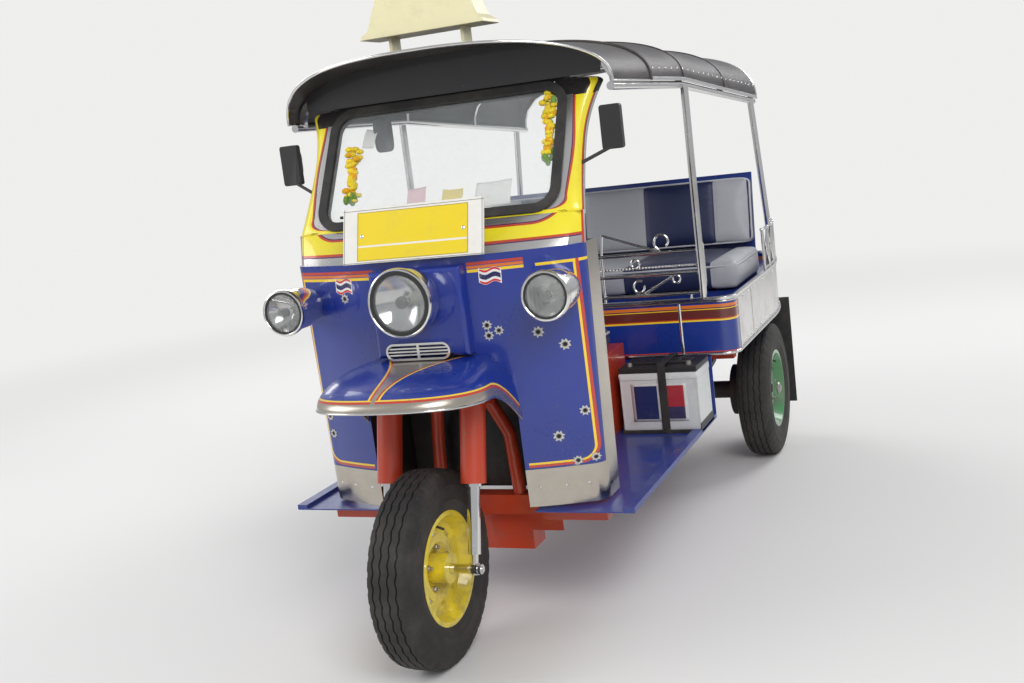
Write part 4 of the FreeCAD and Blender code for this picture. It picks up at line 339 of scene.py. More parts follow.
@dataclass(frozen=True)
class Finish:
    """A surface finish; each kind makes its own node tree."""

    name: str
    slot = "white_plastic"

    def shade(self, g: Graph) -> None:
        """Makes the nodes and feeds the shader of a new tree."""
        raise NotImplementedError

    def striped(self, graph: Graph, ground: Tint, stripes: Sequence[Stripe],
                rulers: Sequence[Ruler] = (), soft: float = 0.0004) -> tuple[Tint, Value]:
        """Paints stripes over a ground, each within its windows.

        Args:
            graph: the tree they are made in.
            ground: colour below the stripes.
            stripes: painted in this order; a reading is x, side, y, z, a ruler's name or an
                attribute of the mesh.
            rulers: distances that the stripes may use.
            soft: half width of a stripe's soft edge.

        Returns:
            The colour, and how much of the surface is bare metal.
        """
        found: dict[str, Expr] = {"x": graph.x, "side": graph.x.size(), "y": graph.y, "z": graph.z}
        found.update({ruler.name: ruler.reading(graph.x, graph.y, graph.z) for ruler in rulers})
        names = [s.reading for s in stripes] + [w.reading for s in stripes for w in s.windows]
        found.update({name: graph.reading(name) for name in sorted(set(names) - set(found))})
        metal: Value = 0.0
        for stripe in stripes:
            mask = found[stripe.reading].band(stripe.centre, stripe.width, soft)
            for window in stripe.windows:
                mask = mask * (found[window.reading] > window.low) * (found[window.reading] < window.high)
            ground = graph.mix(mask, ground, stripe.colour)
            metal = metal * (1.0 - mask) + mask * stripe.metal
        return ground, metal


@dataclass(frozen=True)
class Paint(Finish):
    """Gloss enamel with hand-painted stripes, road dust low down, chips and a clear coat."""

    colour: Colour = DEEP_BLUE
    stripes: tuple[Stripe, ...] = ()
    rulers: tuple[Ruler, ...] = ()
    roughness: float = 0.24
    coat: float = 0.7
    dust_top: float = 0.62
    dust: float = 0.35
    chips: float = 0.5
    slot: str = "blue_paint"

    def shade(self, g: Graph) -> None:
        """Base colour with cloudy variation, then stripes, chips and dust.

        Args:
            g: the material's node graph.
        """
        cloud = g.noise(5.0, 4.0)
        colour, metal = self.striped(g, g.tones(cloud, self.colour, 0.82, 1.25), self.stripes, self.rulers)
        worn = (g.noise(90.0, 6.0) * g.noise(7.0, 2.0)).ramp(0.43, 0.47) * self.chips
        low = g.z.ramp(0.1, self.dust_top, 1.0, 0.12)
        grime = (g.noise(14.0, 6.0, 0.7).ramp(0.35, 0.75) * low) * self.dust
        colour = g.mix(grime, g.mix(worn, colour, (0.10, 0.085, 0.075)), (0.16, 0.13, 0.10))
        scratch = g.noise(14.0, 3.0, stretch=(40.0, 40.0, 6.0)).ramp(0.52, 0.72)
        rough = (grime * 0.45 + self.roughness + cloud * 0.08 + scratch * 0.06).smaller(0.9)
        normal = g.bump(g.noise(420.0, 2.0) * 0.35 + scratch * 0.2 + worn, 0.00025)
        g.done(Base_Color=colour, Roughness=rough, Metallic=metal, Normal=normal,
               Coat_Weight=self.coat, Coat_Roughness=0.06)


@dataclass(frozen=True)
class BrushedSheet(Finish):
    """Polished stainless sheet: fine grain one way, smeared grease and tiny rust spots."""

    colour: Colour = STEEL
    grain: Colour = (6.0, 6.0, 420.0)
    roughness: float = 0.15
    stain: float = 0.32
    slot: str = "stainless"

    def shade(self, g: Graph) -> None:
        """Metal whose gloss changes with the grain and the smears.

        Args:
            g: the material's node graph.
        """
        lines = g.noise(1.0, 3.0, stretch=self.grain)
        smear = g.noise(9.0, 5.0, 0.65)
        spots = g.noise(160.0, 3.0).ramp(0.68, 0.74) * smear.ramp(0.45, 0.65)
        dull = smear.ramp(0.40, 0.72) * g.z.ramp(0.3, 1.3, 1.0, 0.45) * self.stain
        colour = g.mix(dull, g.tones(lines, self.colour, 0.9, 1.08), (0.34, 0.31, 0.28))
        rough = (lines * 0.10 + self.roughness + dull * 0.35 + spots * 0.3).smaller(0.85)
        g.done(Base_Color=g.mix(spots, colour, (0.12, 0.06, 0.03)), Roughness=rough,
               Metallic=(1.0 - spots * 0.7) - dull * 0.15, Normal=g.bump(lines * 0.6 + smear * 0.2, 0.00010))


@dataclass(frozen=True)
class Chrome(Finish):
    """Chrome plate with pin-point rust and a little haze."""

    colour: Colour = (0.78, 0.77, 0.75)
    roughness: float = 0.07
    rust: float = 0.6
    slot: str = "bright_chrome"

    def shade(self, g: Graph) -> None:
        """Near-mirror metal, speckled.

        Args:
            g: the material's node graph.
        """
        haze = g.noise(18.0, 4.0)
        pits = g.noise(380.0, 2.0).ramp(0.66, 0.72) * haze.ramp(0.42, 0.62) * self.rust
        rough = haze.ramp(0.3, 0.8, self.roughness, self.roughness + 0.16) + pits * 0.4
        g.done(Base_Color=g.mix(pits, self.colour, (0.16, 0.07, 0.03)), Roughness=rough,
               Metallic=1.0 - pits * 0.8, Normal=g.bump(haze * 0.6 - pits, 0.0002))


@dataclass(frozen=True)
class Rubber(Finish):
    """Black rubber, greyed by dust, with a fine matt skin."""

    colour: Colour = (0.018, 0.018, 0.018)
    dust: float = 0.35
    roughness: float = 0.62
    slot: str = "black_rubber"

    def shade(self, g: Graph) -> None:
        """Matt dark surface with dusty patches.

        Args:
            g: the material's node graph.
        """
        patch = g.noise(11.0, 6.0, 0.7)
        film = patch.ramp(0.35, 0.8) * self.dust
        skin = g.noise(520.0, 3.0)
        g.done(Base_Color=g.mix(film, self.colour, (0.13, 0.11, 0.09)),
               Roughness=film * 0.25 + self.roughness + skin * 0.08, Normal=g.bump(skin + patch * 0.4, 0.0003))


@dataclass(frozen=True)
class Vinyl(Finish):
    """Upholstery vinyl with leather grain, stripes of a second colour, creases and a soft shine."""

    colour: Colour = (0.012, 0.020, 0.075)
    stripes: tuple[Stripe, ...] = ()
    roughness: float = 0.42
    grain: float = 700.0
    slot: str = "dark_vinyl"

    def shade(self, g: Graph) -> None:
        """Grained surface, coloured in panels.

        Args:
            g: the material's node graph.
        """
        worn = g.noise(6.0, 5.0, 0.6)
        colour, _ = self.striped(g, g.tones(worn, self.colour, 0.8, 1.5), self.stripes, soft=0.001)
        cells = g.node("ShaderNodeTexVoronoi", {"feature": "SMOOTH_F1"}, Vector=g.point, Scale=self.grain)
        crease = g.noise(22.0, 5.0, 0.6, (1.0, 1.0, 2.5))
        g.done(Base_Color=colour, Roughness=worn.ramp(0.25, 0.8, self.roughness - 0.08, self.roughness + 0.14),
               Normal=g.bump(cells * 0.35 + crease, 0.0009), Sheen_Weight=0.08)


@dataclass(frozen=True)
class CoatedCloth(Finish):
    """Black coated roof cloth: fine weave under a dull coat, soft waves and settled dust."""

    colour: Colour = (0.030, 0.027, 0.027)
    roughness: float = 0.40
    slot: str = "roof_vinyl"

    def shade(self, g: Graph) -> None:
        """Dark cloth with random patches of dust.

        Args:
            g: the material's node graph.
        """
        weave = (g.x * 3400.0).sine() * (g.y * 3400.0).sine()
        wave = g.noise(9.0, 4.0, 0.5, (1.0, 0.5, 1.0))
        film = g.noise(5.0, 6.0, 0.7).ramp(0.4, 0.8) * 0.4
        g.done(Base_Color=g.mix(film, g.tones(wave, self.colour, 0.75, 1.5), (0.16, 0.13, 0.115)),
               Roughness=film * 0.3 + self.roughness + wave * 0.12,
               Normal=g.bump(weave * 0.08 + wave * 1.6, 0.0016))


@dataclass(frozen=True)
class Plastic(Finish):
    """Moulded plastic with a faint flow pattern and handling marks."""

    colour: Colour = (0.5, 0.5, 0.5)
    roughness: float = 0.38
    stain: float = 0.25
    stripes: tuple[Stripe, ...] = ()
    slot: str = "white_plastic"

    def shade(self, g: Graph) -> None:
        """Plain plastic, yellowed and marked in places.

        Args:
            g: the material's node graph.
        """
        flow = g.noise(30.0, 4.0)
        mark = g.noise(12.0, 6.0, 0.7).ramp(0.5, 0.85) * self.stain
        colour, _ = self.striped(g, g.tones(flow, self.colour, 0.93, 1.05), self.stripes)
        g.done(Base_Color=g.mix(mark, colour, tinted(self.colour, 0.35)), Roughness=mark * 0.3 + self.roughness,
               Normal=g.bump(g.noise(600.0, 2.0) * 0.5 + flow * 0.3, 0.0002))


@dataclass(frozen=True)
class Casting(Finish):
    """Cast or forged iron under oil and road dirt."""

    colour: Colour = (0.050, 0.045, 0.042)
    roughness: float = 0.58
    rust: float = 0.4
    slot: str = "rust_steel"

    def shade(self, g: Graph) -> None:
        """Dark rough metal with rusty patches.

        Args:
            g: the material's node graph.
        """
        lump = g.noise(60.0, 6.0, 0.65)
        patch = g.noise(13.0, 5.0, 0.7).ramp(0.48, 0.7) * self.rust
        g.done(Base_Color=g.mix(patch, g.tones(lump, self.colour, 0.7, 1.6), (0.17, 0.07, 0.03)),
               Roughness=patch * 0.3 + self.roughness, Metallic=0.55 - patch * 0.5, Normal=g.bump(lump, 0.0012))


@dataclass(frozen=True)
class ClearGlass(Finish):
    """Glass seen through: a faint tint, smears and the shine of its surface."""

    colour: Colour = (0.86, 0.90, 0.90)
    alpha: float = 0.16
    roughness: float = 0.03
    ribs: float = 0.0
    slot: str = "lamp_glass"

    def shade(self, g: Graph) -> None:
        """Mostly see-through surface; dust makes it a little more solid.

        Args:
            g: the material's node graph.
        """
        smear = g.noise(7.0, 5.0, 0.65)
        if self.ribs:
            g.done(Normal=g.bump((g.x * self.ribs).sine(), 0.0012))
        g.done(Base_Color=self.colour, Alpha=smear.ramp(0.4, 0.8, self.alpha, self.alpha + 0.10),
               Roughness=smear * 0.06 + self.roughness)


@dataclass(frozen=True)
class Lens(Finish):
    """Coloured lamp lens with moulded squares."""

    colour: Colour = (0.55, 0.01, 0.01)
    slot: str = "red_lens"

    def shade(self, g: Graph) -> None:
        """Deep coloured gloss with a grid of small prisms.

        Args:
            g: the material's node graph.
        """
        prisms = (g.x * 900.0).sine() * (g.z * 900.0).sine()
        g.done(Base_Color=g.tones(g.noise(40.0, 2.0), self.colour, 0.7, 1.2), Roughness=0.12,
               Normal=g.bump(prisms, 0.0012), Coat_Weight=0.6)


MADE: dict[str, Material] = {}


def material(finish: Finish) -> Material:
    """The material of a finish, made once for each name.

    Args:
        finish: the finish.

    Returns:
        The material, the one made before if there is one.
    """
    if finish.name not in MADE:
        g = Graph(finish.name)
        finish.shade(g)
        MADE[finish.name] = g.material
    return MADE[finish.name]


def unit(vectors: Array) -> Array:
    """Vectors scaled to length one, along the last axis."""
    return vectors / np.maximum(np.linalg.norm(vectors, axis=-1, keepdims=True), 1e-12)


def signed(values: Array, power: float) -> Array:
    """Each value's size raised to a power, with its sign kept."""
    return np.sign(values) * np.abs(values) ** power


def slant(degrees: float) -> tuple[float, float]:
    """Cosine and sine of an angle."""
    return math.cos(math.radians(degrees)), math.sin(math.radians(degrees))


def through(points: Points, count: int) -> Array:
    """A smooth curve through points: each span is a cubic whose ends lean as their neighbours do.

    Args:
        points: the points it passes, in order.
        count: samples over the whole curve, evenly spaced along it.

    Returns:
        The samples, one row each.
    """
    p = np.asarray(points, float)
    ends = np.vstack([2 * p[0] - p[1], p, 2 * p[-1] - p[-2]])
    t = np.linspace(0, len(p) - 1, count * 6)
    k = np.minimum(t.astype(int), len(p) - 2)
    f = (t - k)[:, None]
    a, b, c, d = ends[k], ends[k + 1], ends[k + 2], ends[k + 3]
    curve = 0.5 * (2 * b + (c - a) * f + (2 * a - 5 * b + 4 * c - d) * f ** 2 + (3 * b - a - 3 * c + d) * f ** 3)
    return even(curve, count)


def even(curve: Array, count: int) -> Array:
    """The same line with samples evenly spaced along its length.

    Args:
        curve: points of the line.
        count: how many samples it gets.

    Returns:
        The samples, one row each.
    """
    reach = np.concatenate([[0], np.cumsum(np.linalg.norm(np.diff(curve, axis=0), axis=1))])
    want = np.linspace(0, reach[-1], count)
    return np.stack([np.interp(want, reach, curve[:, i]) for i in range(curve.shape[1])], 1)


def bent(points: Points, radius: float, steps: int = 8) -> Array:
    """A line of straight runs whose corners are arcs.

    Each corner is a quadratic curve between the points at which an arc of the radius would begin
    and end.

    Args:
        points: the corners and ends.
        radius: bend radius.
        steps: samples on each bend.

    Returns:
        The line's points.
    """
    p = np.asarray(points, float)
    rows = [p[:1]]
    for before, corner, after in zip(p, p[1:], p[2:]):
        u, v = unit(before - corner), unit(after - corner)
        half = math.acos(float(np.clip(u @ v, -1, 1))) / 2
        reach = radius / max(math.tan(half), 1e-6)
        reach = min(reach, 0.48 * np.linalg.norm(before - corner), 0.48 * np.linalg.norm(after - corner))
        t = np.linspace(0, 1, steps)[:, None]
        rows.append((corner + u * reach) * (1 - t) ** 2 + corner * 2 * t * (1 - t) + (corner + v * reach) * t ** 2)
    rows.append(p[-1:])
    return np.vstack(rows)


def ring(count: int, start: float = 0.0) -> Array:
    """Angles all the way round, without the last one."""
    return start + np.arange(count) * TURN / count


def oval(count: int, width: float, height: float, power: float) -> tuple[Array, Array]:
    """Across and up of a superellipse: half sizes times signed powers of cosine and sine."""
    return width * signed(np.cos(ring(count)), power), height * signed(np.sin(ring(count)), power)


def cells(index: Array) -> Array:
    """The quads of a grid of point numbers."""
    return np.stack([index[:-1, :-1], index[1:, :-1], index[1:, 1:], index[:-1, 1:]], -1).reshape(-1, 4)


class Mould:
    """Collects grids of points and turns them into one mesh."""

    def __init__(self, name: str) -> None:
        """Starts an empty mould for a piece of this name.

        Args:
            name: of the piece.
        """
        self.name = name
        self.points: list[Array] = []
        self.faces: list[Array] = []
        self.slots: list[Array] = []
        self.marks: list[dict[str, Array]] = []

    def add(self, points: Array, quads: Array, slot: int = 0, **marks: Array) -> "Mould":
        """Adds points and the quads between them.

        Args:
            points: one row each.
            quads: four numbers of these points each.
            slot: index of their finish.
            marks: numbers kept at each point, by name.

        Returns:
            The mould.
        """
        self.faces.append(quads + sum(len(part) for part in self.points))
        self.points.append(points)
        self.slots.append(np.full(len(quads), slot))
        self.marks.append(marks)
        return self

    def grid(self, points: Array, wrap_u: bool = False, wrap_v: bool = False, slot: int = 0,
             **marks: Array) -> "Mould":
        """Adds a surface given as rows and columns of points.

        Args:
            points: array of rows by columns by 3.
            wrap_u: joins the last row to the first.
            wrap_v: joins the last column to the first.
            slot: index of its finish.
            marks: numbers kept at each point, by name.

        Returns:
            The mould.
        """
        rows, columns = points.shape[:2]
        index = np.arange(rows * columns).reshape(rows, columns)
        if wrap_u:
            index = np.vstack([index, index[:1]])
        if wrap_v:
            index = np.hstack([index, index[:, :1]])
        spread = {key: np.broadcast_to(value, (rows, columns)).ravel() for key, value in marks.items()}
        return self.add(points.reshape(-1, 3), cells(index), slot, **spread)

    def skin(self, loops: Sequence[Array], slot: int = 0) -> "Mould":
        """Joins closed loops of equal count in order, and closes both ends with a fan.

        Args:
            loops: points of each loop.
            slot: finish of the faces.

        Returns:
            The mould itself.
        """
        rows = np.stack(loops).astype(float)
        first, last = (np.broadcast_to(end.mean(1, keepdims=True), end.shape) for end in (rows[:1], rows[-1:]))
        return self.grid(np.concatenate([first, rows, last]), wrap_v=True, slot=slot)

    def tube(self, path: Array, radius: Union[float, Array], sides: int = 14, slot: int = 0,
             up: Spot = UP, closed: bool = False, flat: float = 1.0) -> "Mould":
        """Carries a circle along a line.

        The circle stands square to the line's direction; its first axis is the direction crossed
        with the up vector.

        Args:
            path: points of the line.
            radius: of the circle, one number or one for each point.
            sides: of the circle.
            slot: index of the finish.
            up: any direction that the line never takes.
            closed: the line is a ring.
            flat: the circle's height as a share of its width.

        Returns:
            The mould.
        """
        path = np.asarray(path, float)
        ahead = unit(np.roll(path, -1, 0) - np.roll(path, 1, 0) if closed else np.gradient(path, axis=0))
        side = unit(np.cross(ahead, np.asarray(up, float)))
        high = np.cross(side, ahead)
        angle = ring(sides)
        r = np.broadcast_to(np.asarray(radius, float), (len(path),))[:, None, None]
        rows = path[:, None] + r * (side[:, None] * np.cos(angle)[None, :, None]
                                    + high[:, None] * np.sin(angle)[None, :, None] * flat)
        if closed:
            return self.grid(rows, wrap_u=True, wrap_v=True, slot=slot)
        return self.skin(list(rows), slot)

    def rod(self, start: Spot, end: Spot, radius: float, sides: int = 14) -> "Mould":
        """A straight round bar from one point to another.

        Args:
            start: middle of one end.
            end: middle of the other.
            radius: of the bar.
            sides: faces round it.

        Returns:
            The mould itself.
        """
        path = np.array([start, end], float)
        along = np.abs(path[1] - path[0])
        return self.tube(path, radius, sides, up=UP if along[2] < 0.9 * np.linalg.norm(along) else AHEAD)

    def lathe(self, profile: Points, centre: Spot, axis: Spot, sides: int = 64, slot: int = 0,
              closed: bool = False) -> "Mould":
        """Turns a profile about a line.

        Args:
            profile: (distance along the axis, radius) points.
            centre: a point of the line.
            axis: direction of the line.
            sides: steps round.
            slot: index of the finish.
            closed: the profile is a loop; otherwise its ends run to the axis.

        Returns:
            The mould.
        """
        p = np.asarray(profile, float)
        if not closed:
            p = np.vstack([[p[0, 0], 0.0], p, [p[-1, 0], 0.0]])
        line = unit(np.asarray(axis, float))
        side = unit(np.cross(line, UP if abs(line[2]) < 0.9 else AHEAD))
        angle = ring(sides)
        spokes = side * np.cos(angle)[:, None] + np.cross(side, line) * np.sin(angle)[:, None]
        rows = np.asarray(centre, float) + p[:, 0, None, None] * line + p[:, 1, None, None] * spokes[None]
        return self.grid(rows, wrap_u=closed, wrap_v=True, slot=slot)

    def block(self, low: Spot, high: Spot) -> "Mould":
        """A closed box between two corners, to be rounded by a bevel."""
        (x0, y0, z0), (x1, y1, z1) = low, high
        return self.skin([np.array([[x0, y0, z], [x1, y0, z], [x1, y1, z], [x0, y1, z]]) for z in (z0, z1)])

    def made(self, finishes: Sequence[Finish], sharp: float = 35.0, body: Body = Body.ROOT,
             bevel: float = 0.0, wall: float = 0.0) -> Piece:
        """Makes the object: doubles merged, faces outwards, smooth up to an angle.

        Args:
            finishes: finish of each slot.
            sharp: edges over this angle in degrees stay sharp.
            body: what it rides on.
            bevel: width of rounded edges, 0 for none.
            wall: thickness given to an open sheet on its inner side, 0 for none.

        Returns:
            The piece.
        """
        points, faces = np.vstack(self.points), np.vstack(self.faces)
        mesh = bpy.data.meshes.new(self.name)
        mesh.vertices.add(len(points))
        mesh.vertices.foreach_set("co", points.astype(np.float32).ravel())
        mesh.loops.add(faces.size)
        mesh.loops.foreach_set("vertex_index", faces.astype(np.int32).ravel())
        mesh.polygons.add(len(faces))
        mesh.polygons.foreach_set("loop_start", np.arange(0, faces.size, 4, dtype=np.int32))
        mesh.polygons.foreach_set("material_index", np.concatenate(self.slots).astype(np.int32))
        mesh.update(calc_edges=True)
        for key in sorted({name for marks in self.marks for name in marks}):
            values = [marks.get(key, np.zeros(len(rows))) for marks, rows in zip(self.marks, self.points)]
            mesh.attributes.new(key, "FLOAT", "POINT").data.foreach_set(
                "value", np.concatenate(values).astype(np.float32))
        with editing(mesh, 1e-6) as work:
            bmesh.ops.dissolve_degenerate(work, edges=work.edges, dist=1e-6)
            if not wall:
                bmesh.ops.recalc_face_normals(work, faces=work.faces)
        piece = linked(self.name, mesh)
        smooth(mesh, sharp)
        if wall:
            solid = piece.modifiers.new("wall", "SOLIDIFY")
            solid.thickness, solid.offset, solid.use_even_offset = wall, -1.0, True
        if bevel:
            add_bevel(piece, bevel)
        dress(piece, finishes)
        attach(piece, body.value)
        LOG.info("%s: %d triangles", self.name, sum(len(face.vertices) - 2 for face in mesh.polygons))
        return piece


@contextmanager
def editing(mesh: bpy.types.Mesh, weld: float) -> Iterator[bmesh.types.BMesh]:
    """A mesh opened for editing, with the points merged that lie within a distance.

    Args:
        mesh: the mesh.
        weld: distance within which points are merged.

    Yields:
        The mesh as a BMesh, written back afterwards.
    """
    work = bmesh.new()
    work.from_mesh(mesh)
    bmesh.ops.remove_doubles(work, verts=work.verts, dist=weld)
    yield work
    work.to_mesh(mesh)
    work.free()


def linked(name: str, data: bpy.types.ID) -> Piece:
    """A new object in the scene.

    Args:
        name: of the object.
        data: its mesh, lamp or camera.

    Returns:
        The object.
    """
    thing = bpy.data.objects.new(name, data)
    bpy.context.scene.collection.objects.link(thing)
    return thing


def smooth(mesh: bpy.types.Mesh, sharp: float) -> None:
    """Smooth shading, apart from edges over an angle in degrees."""
    mesh.polygons.foreach_set("use_smooth", np.ones(len(mesh.polygons), bool))
    mesh.set_sharp_from_angle(angle=math.radians(sharp))


def add_bevel(piece: Piece, width: float) -> None:
    """Rounds the edges over 30 degrees in two steps.

    Args:
        piece: the piece.
        width: of the rounding.
    """
    edges = piece.modifiers.new("edges", "BEVEL")
    edges.width, edges.segments = width, 2
    edges.limit_method, edges.angle_limit = "ANGLE", math.radians(30)
    edges.harden_normals = True


def dress(piece: Piece, finishes: Sequence[Finish]) -> None:
    """Gives a piece its finishes in order.

    Args:
        piece: the piece.
        finishes: one for each slot.
    """
    if piece.data.materials:
        piece.data.materials.clear()
    for finish in finishes:
        piece.data.materials.append(material(finish))


def reworked(node: str, name: str, finish: Finish, sharp: float,
             edit: Callable[[bmesh.types.BMesh], None]) -> Piece:
    """A copy of a CAD piece, edited by a function, smoothed and finished.

    Args:
        node: the CAD node that it stands for.
        name: name of the new piece.
        finish: its finish.
        sharp: edges over this angle in degrees stay sharp.
        edit: changes its mesh.

    Returns:
        The piece.
    """
    source = bpy.data.objects[node]
    mesh = source.data.copy()
    mesh.name = name
    with editing(mesh, 1e-5) as work:
        edit(work)
    if "custom_normal" in mesh.attributes:
        mesh.attributes.remove(mesh.attributes["custom_normal"])
    piece = linked(name, mesh)
    smooth(mesh, sharp)
    dress(piece, [finish])
    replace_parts(piece, node)
    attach(piece, source["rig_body"])
    LOG.info("%s: %d faces", name, len(mesh.polygons))
    return piece


def merge_flats(work: bmesh.types.BMesh) -> None:
    """Joins the triangles of each flat into one face."""
    bmesh.ops.dissolve_degenerate(work, edges=work.edges, dist=1e-6)
    bmesh.ops.dissolve_limit(work, angle_limit=math.radians(0.4), verts=work.verts, edges=work.edges)


def refined(node: str, name: str, finish: Finish, bevel: float) -> Piece:
    """A CAD piece with merged faces, smooth curves and edges rounded by a width, 0 for none.

    Args:
        node: name of the CAD piece.
        name: of the new one.
        finish: its finish.
        bevel: width of the rounding.

    Returns:
        The new piece.
    """
    piece = reworked(node, name, finish, 28.0, merge_flats)
    if bevel:
        add_bevel(piece, bevel)
    return piece


BLACK_RUBBER = Rubber("black_rubber")
CHROME = Chrome("chrome_plate")
RED = Paint("red_paint", OXIDE_RED, roughness=0.34, coat=0.35, chips=0.9, slot="red_paint")
FLOOR_BLUE = Paint("floor_blue", (0.010, 0.035, 0.24), roughness=0.34, coat=0.3, chips=1.0, dust=0.5)
UNDER_BLACK = Paint("under_black", (0.014, 0.014, 0.015), roughness=0.5, coat=0.1, chips=0.6, dust=0.7,
                    slot="chassis_black")
STAINLESS = BrushedSheet("stainless_sheet")
DARK_PLASTIC = Plastic("dark_plastic", (0.02, 0.02, 0.02), 0.5, 0.1, slot="dark_plastic")
PURPLE: Colour = (0.10, 0.015, 0.10)
LINE_RED: Colour = (0.55, 0.045, 0.012)


def solid_tree(node: str) -> BVHTree:
    """A search tree over a CAD piece, to seat trim on its surface.

    Args:
        node: name of the CAD piece.

    Returns:
        The tree.
    """
    mesh = bpy.data.objects[node].data
    points = [v.co for v in mesh.vertices]
    return BVHTree.FromPolygons(points, [tuple(f.vertices) for f in mesh.polygons])


def seated(tree: BVHTree, xs: Array, zs: Array, lift: float) -> Array:
    """Points at given x and z, sent along +Y on to a sheet and lifted off it.

    Args:
        tree: search tree of the sheet.
        xs: places across.
        zs: levels, one for each place.
        lift: distance off the sheet.

    Returns:
        The points, along a new last axis.
    """
    ahead = Vector((0, 1, 0))
    points = np.zeros(xs.shape + (3,))
    for index in np.ndindex(xs.shape):
        start = Vector((xs[index], -3.0, zs[index]))
        spot, normal, _, _ = tree.ray_cast(start, ahead)
        if spot is None:
            spot, normal, _, _ = tree.find_nearest(start + ahead * 2.0)
        points[index] = spot + normal * (lift if normal.y < 0 else -lift)
    return points


@dataclass(frozen=True)
class FlagPrint(Finish):
    """Five waving bands, printed: two outer reds, two whites and a double blue."""

    def shade(self, g: Graph) -> None:
        """Bands by the sticker's own height, each with a slight fade.

        Args:
            g: the material's node graph.
        """
        height = g.reading("up").size()
        colour = g.mix(height > 0.333, (0.010, 0.012, 0.09), (0.80, 0.78, 0.76))
        colour = g.mix(height > 0.667, colour, (0.62, 0.02, 0.03))
        colour = g.mix(g.reading("rim") > 0.93, colour, (0.82, 0.80, 0.78))
        fade = g.noise(160.0, 3.0)
        g.done(Base_Color=g.mix(fade.ramp(0.55, 0.75) * 0.35, colour, (0.5, 0.45, 0.4)),
               Roughness=0.35 + fade * 0.1)


@dataclass(frozen=True)
class HolePrint(Finish):
    """Novelty bullet-hole sticker: a torn pale star round a black middle."""

    def shade(self, g: Graph) -> None:
        """Shades by the distance from the middle.

        Args:
            g: the material's node graph.
        """
        torn = g.reading("reach") + g.noise(900.0, 4.0) * 0.22 - 0.11
        colour = g.mix(torn.ramp(0.34, 0.40), (0.004, 0.004, 0.005), (0.16, 0.15, 0.14))
        colour = g.mix(torn.ramp(0.46, 0.66), colour, (0.62, 0.61, 0.58))
        colour = g.mix(torn.ramp(0.80, 0.98), colour, (0.30, 0.30, 0.32))
        g.done(Base_Color=colour, Roughness=0.42, Metallic=0.25)


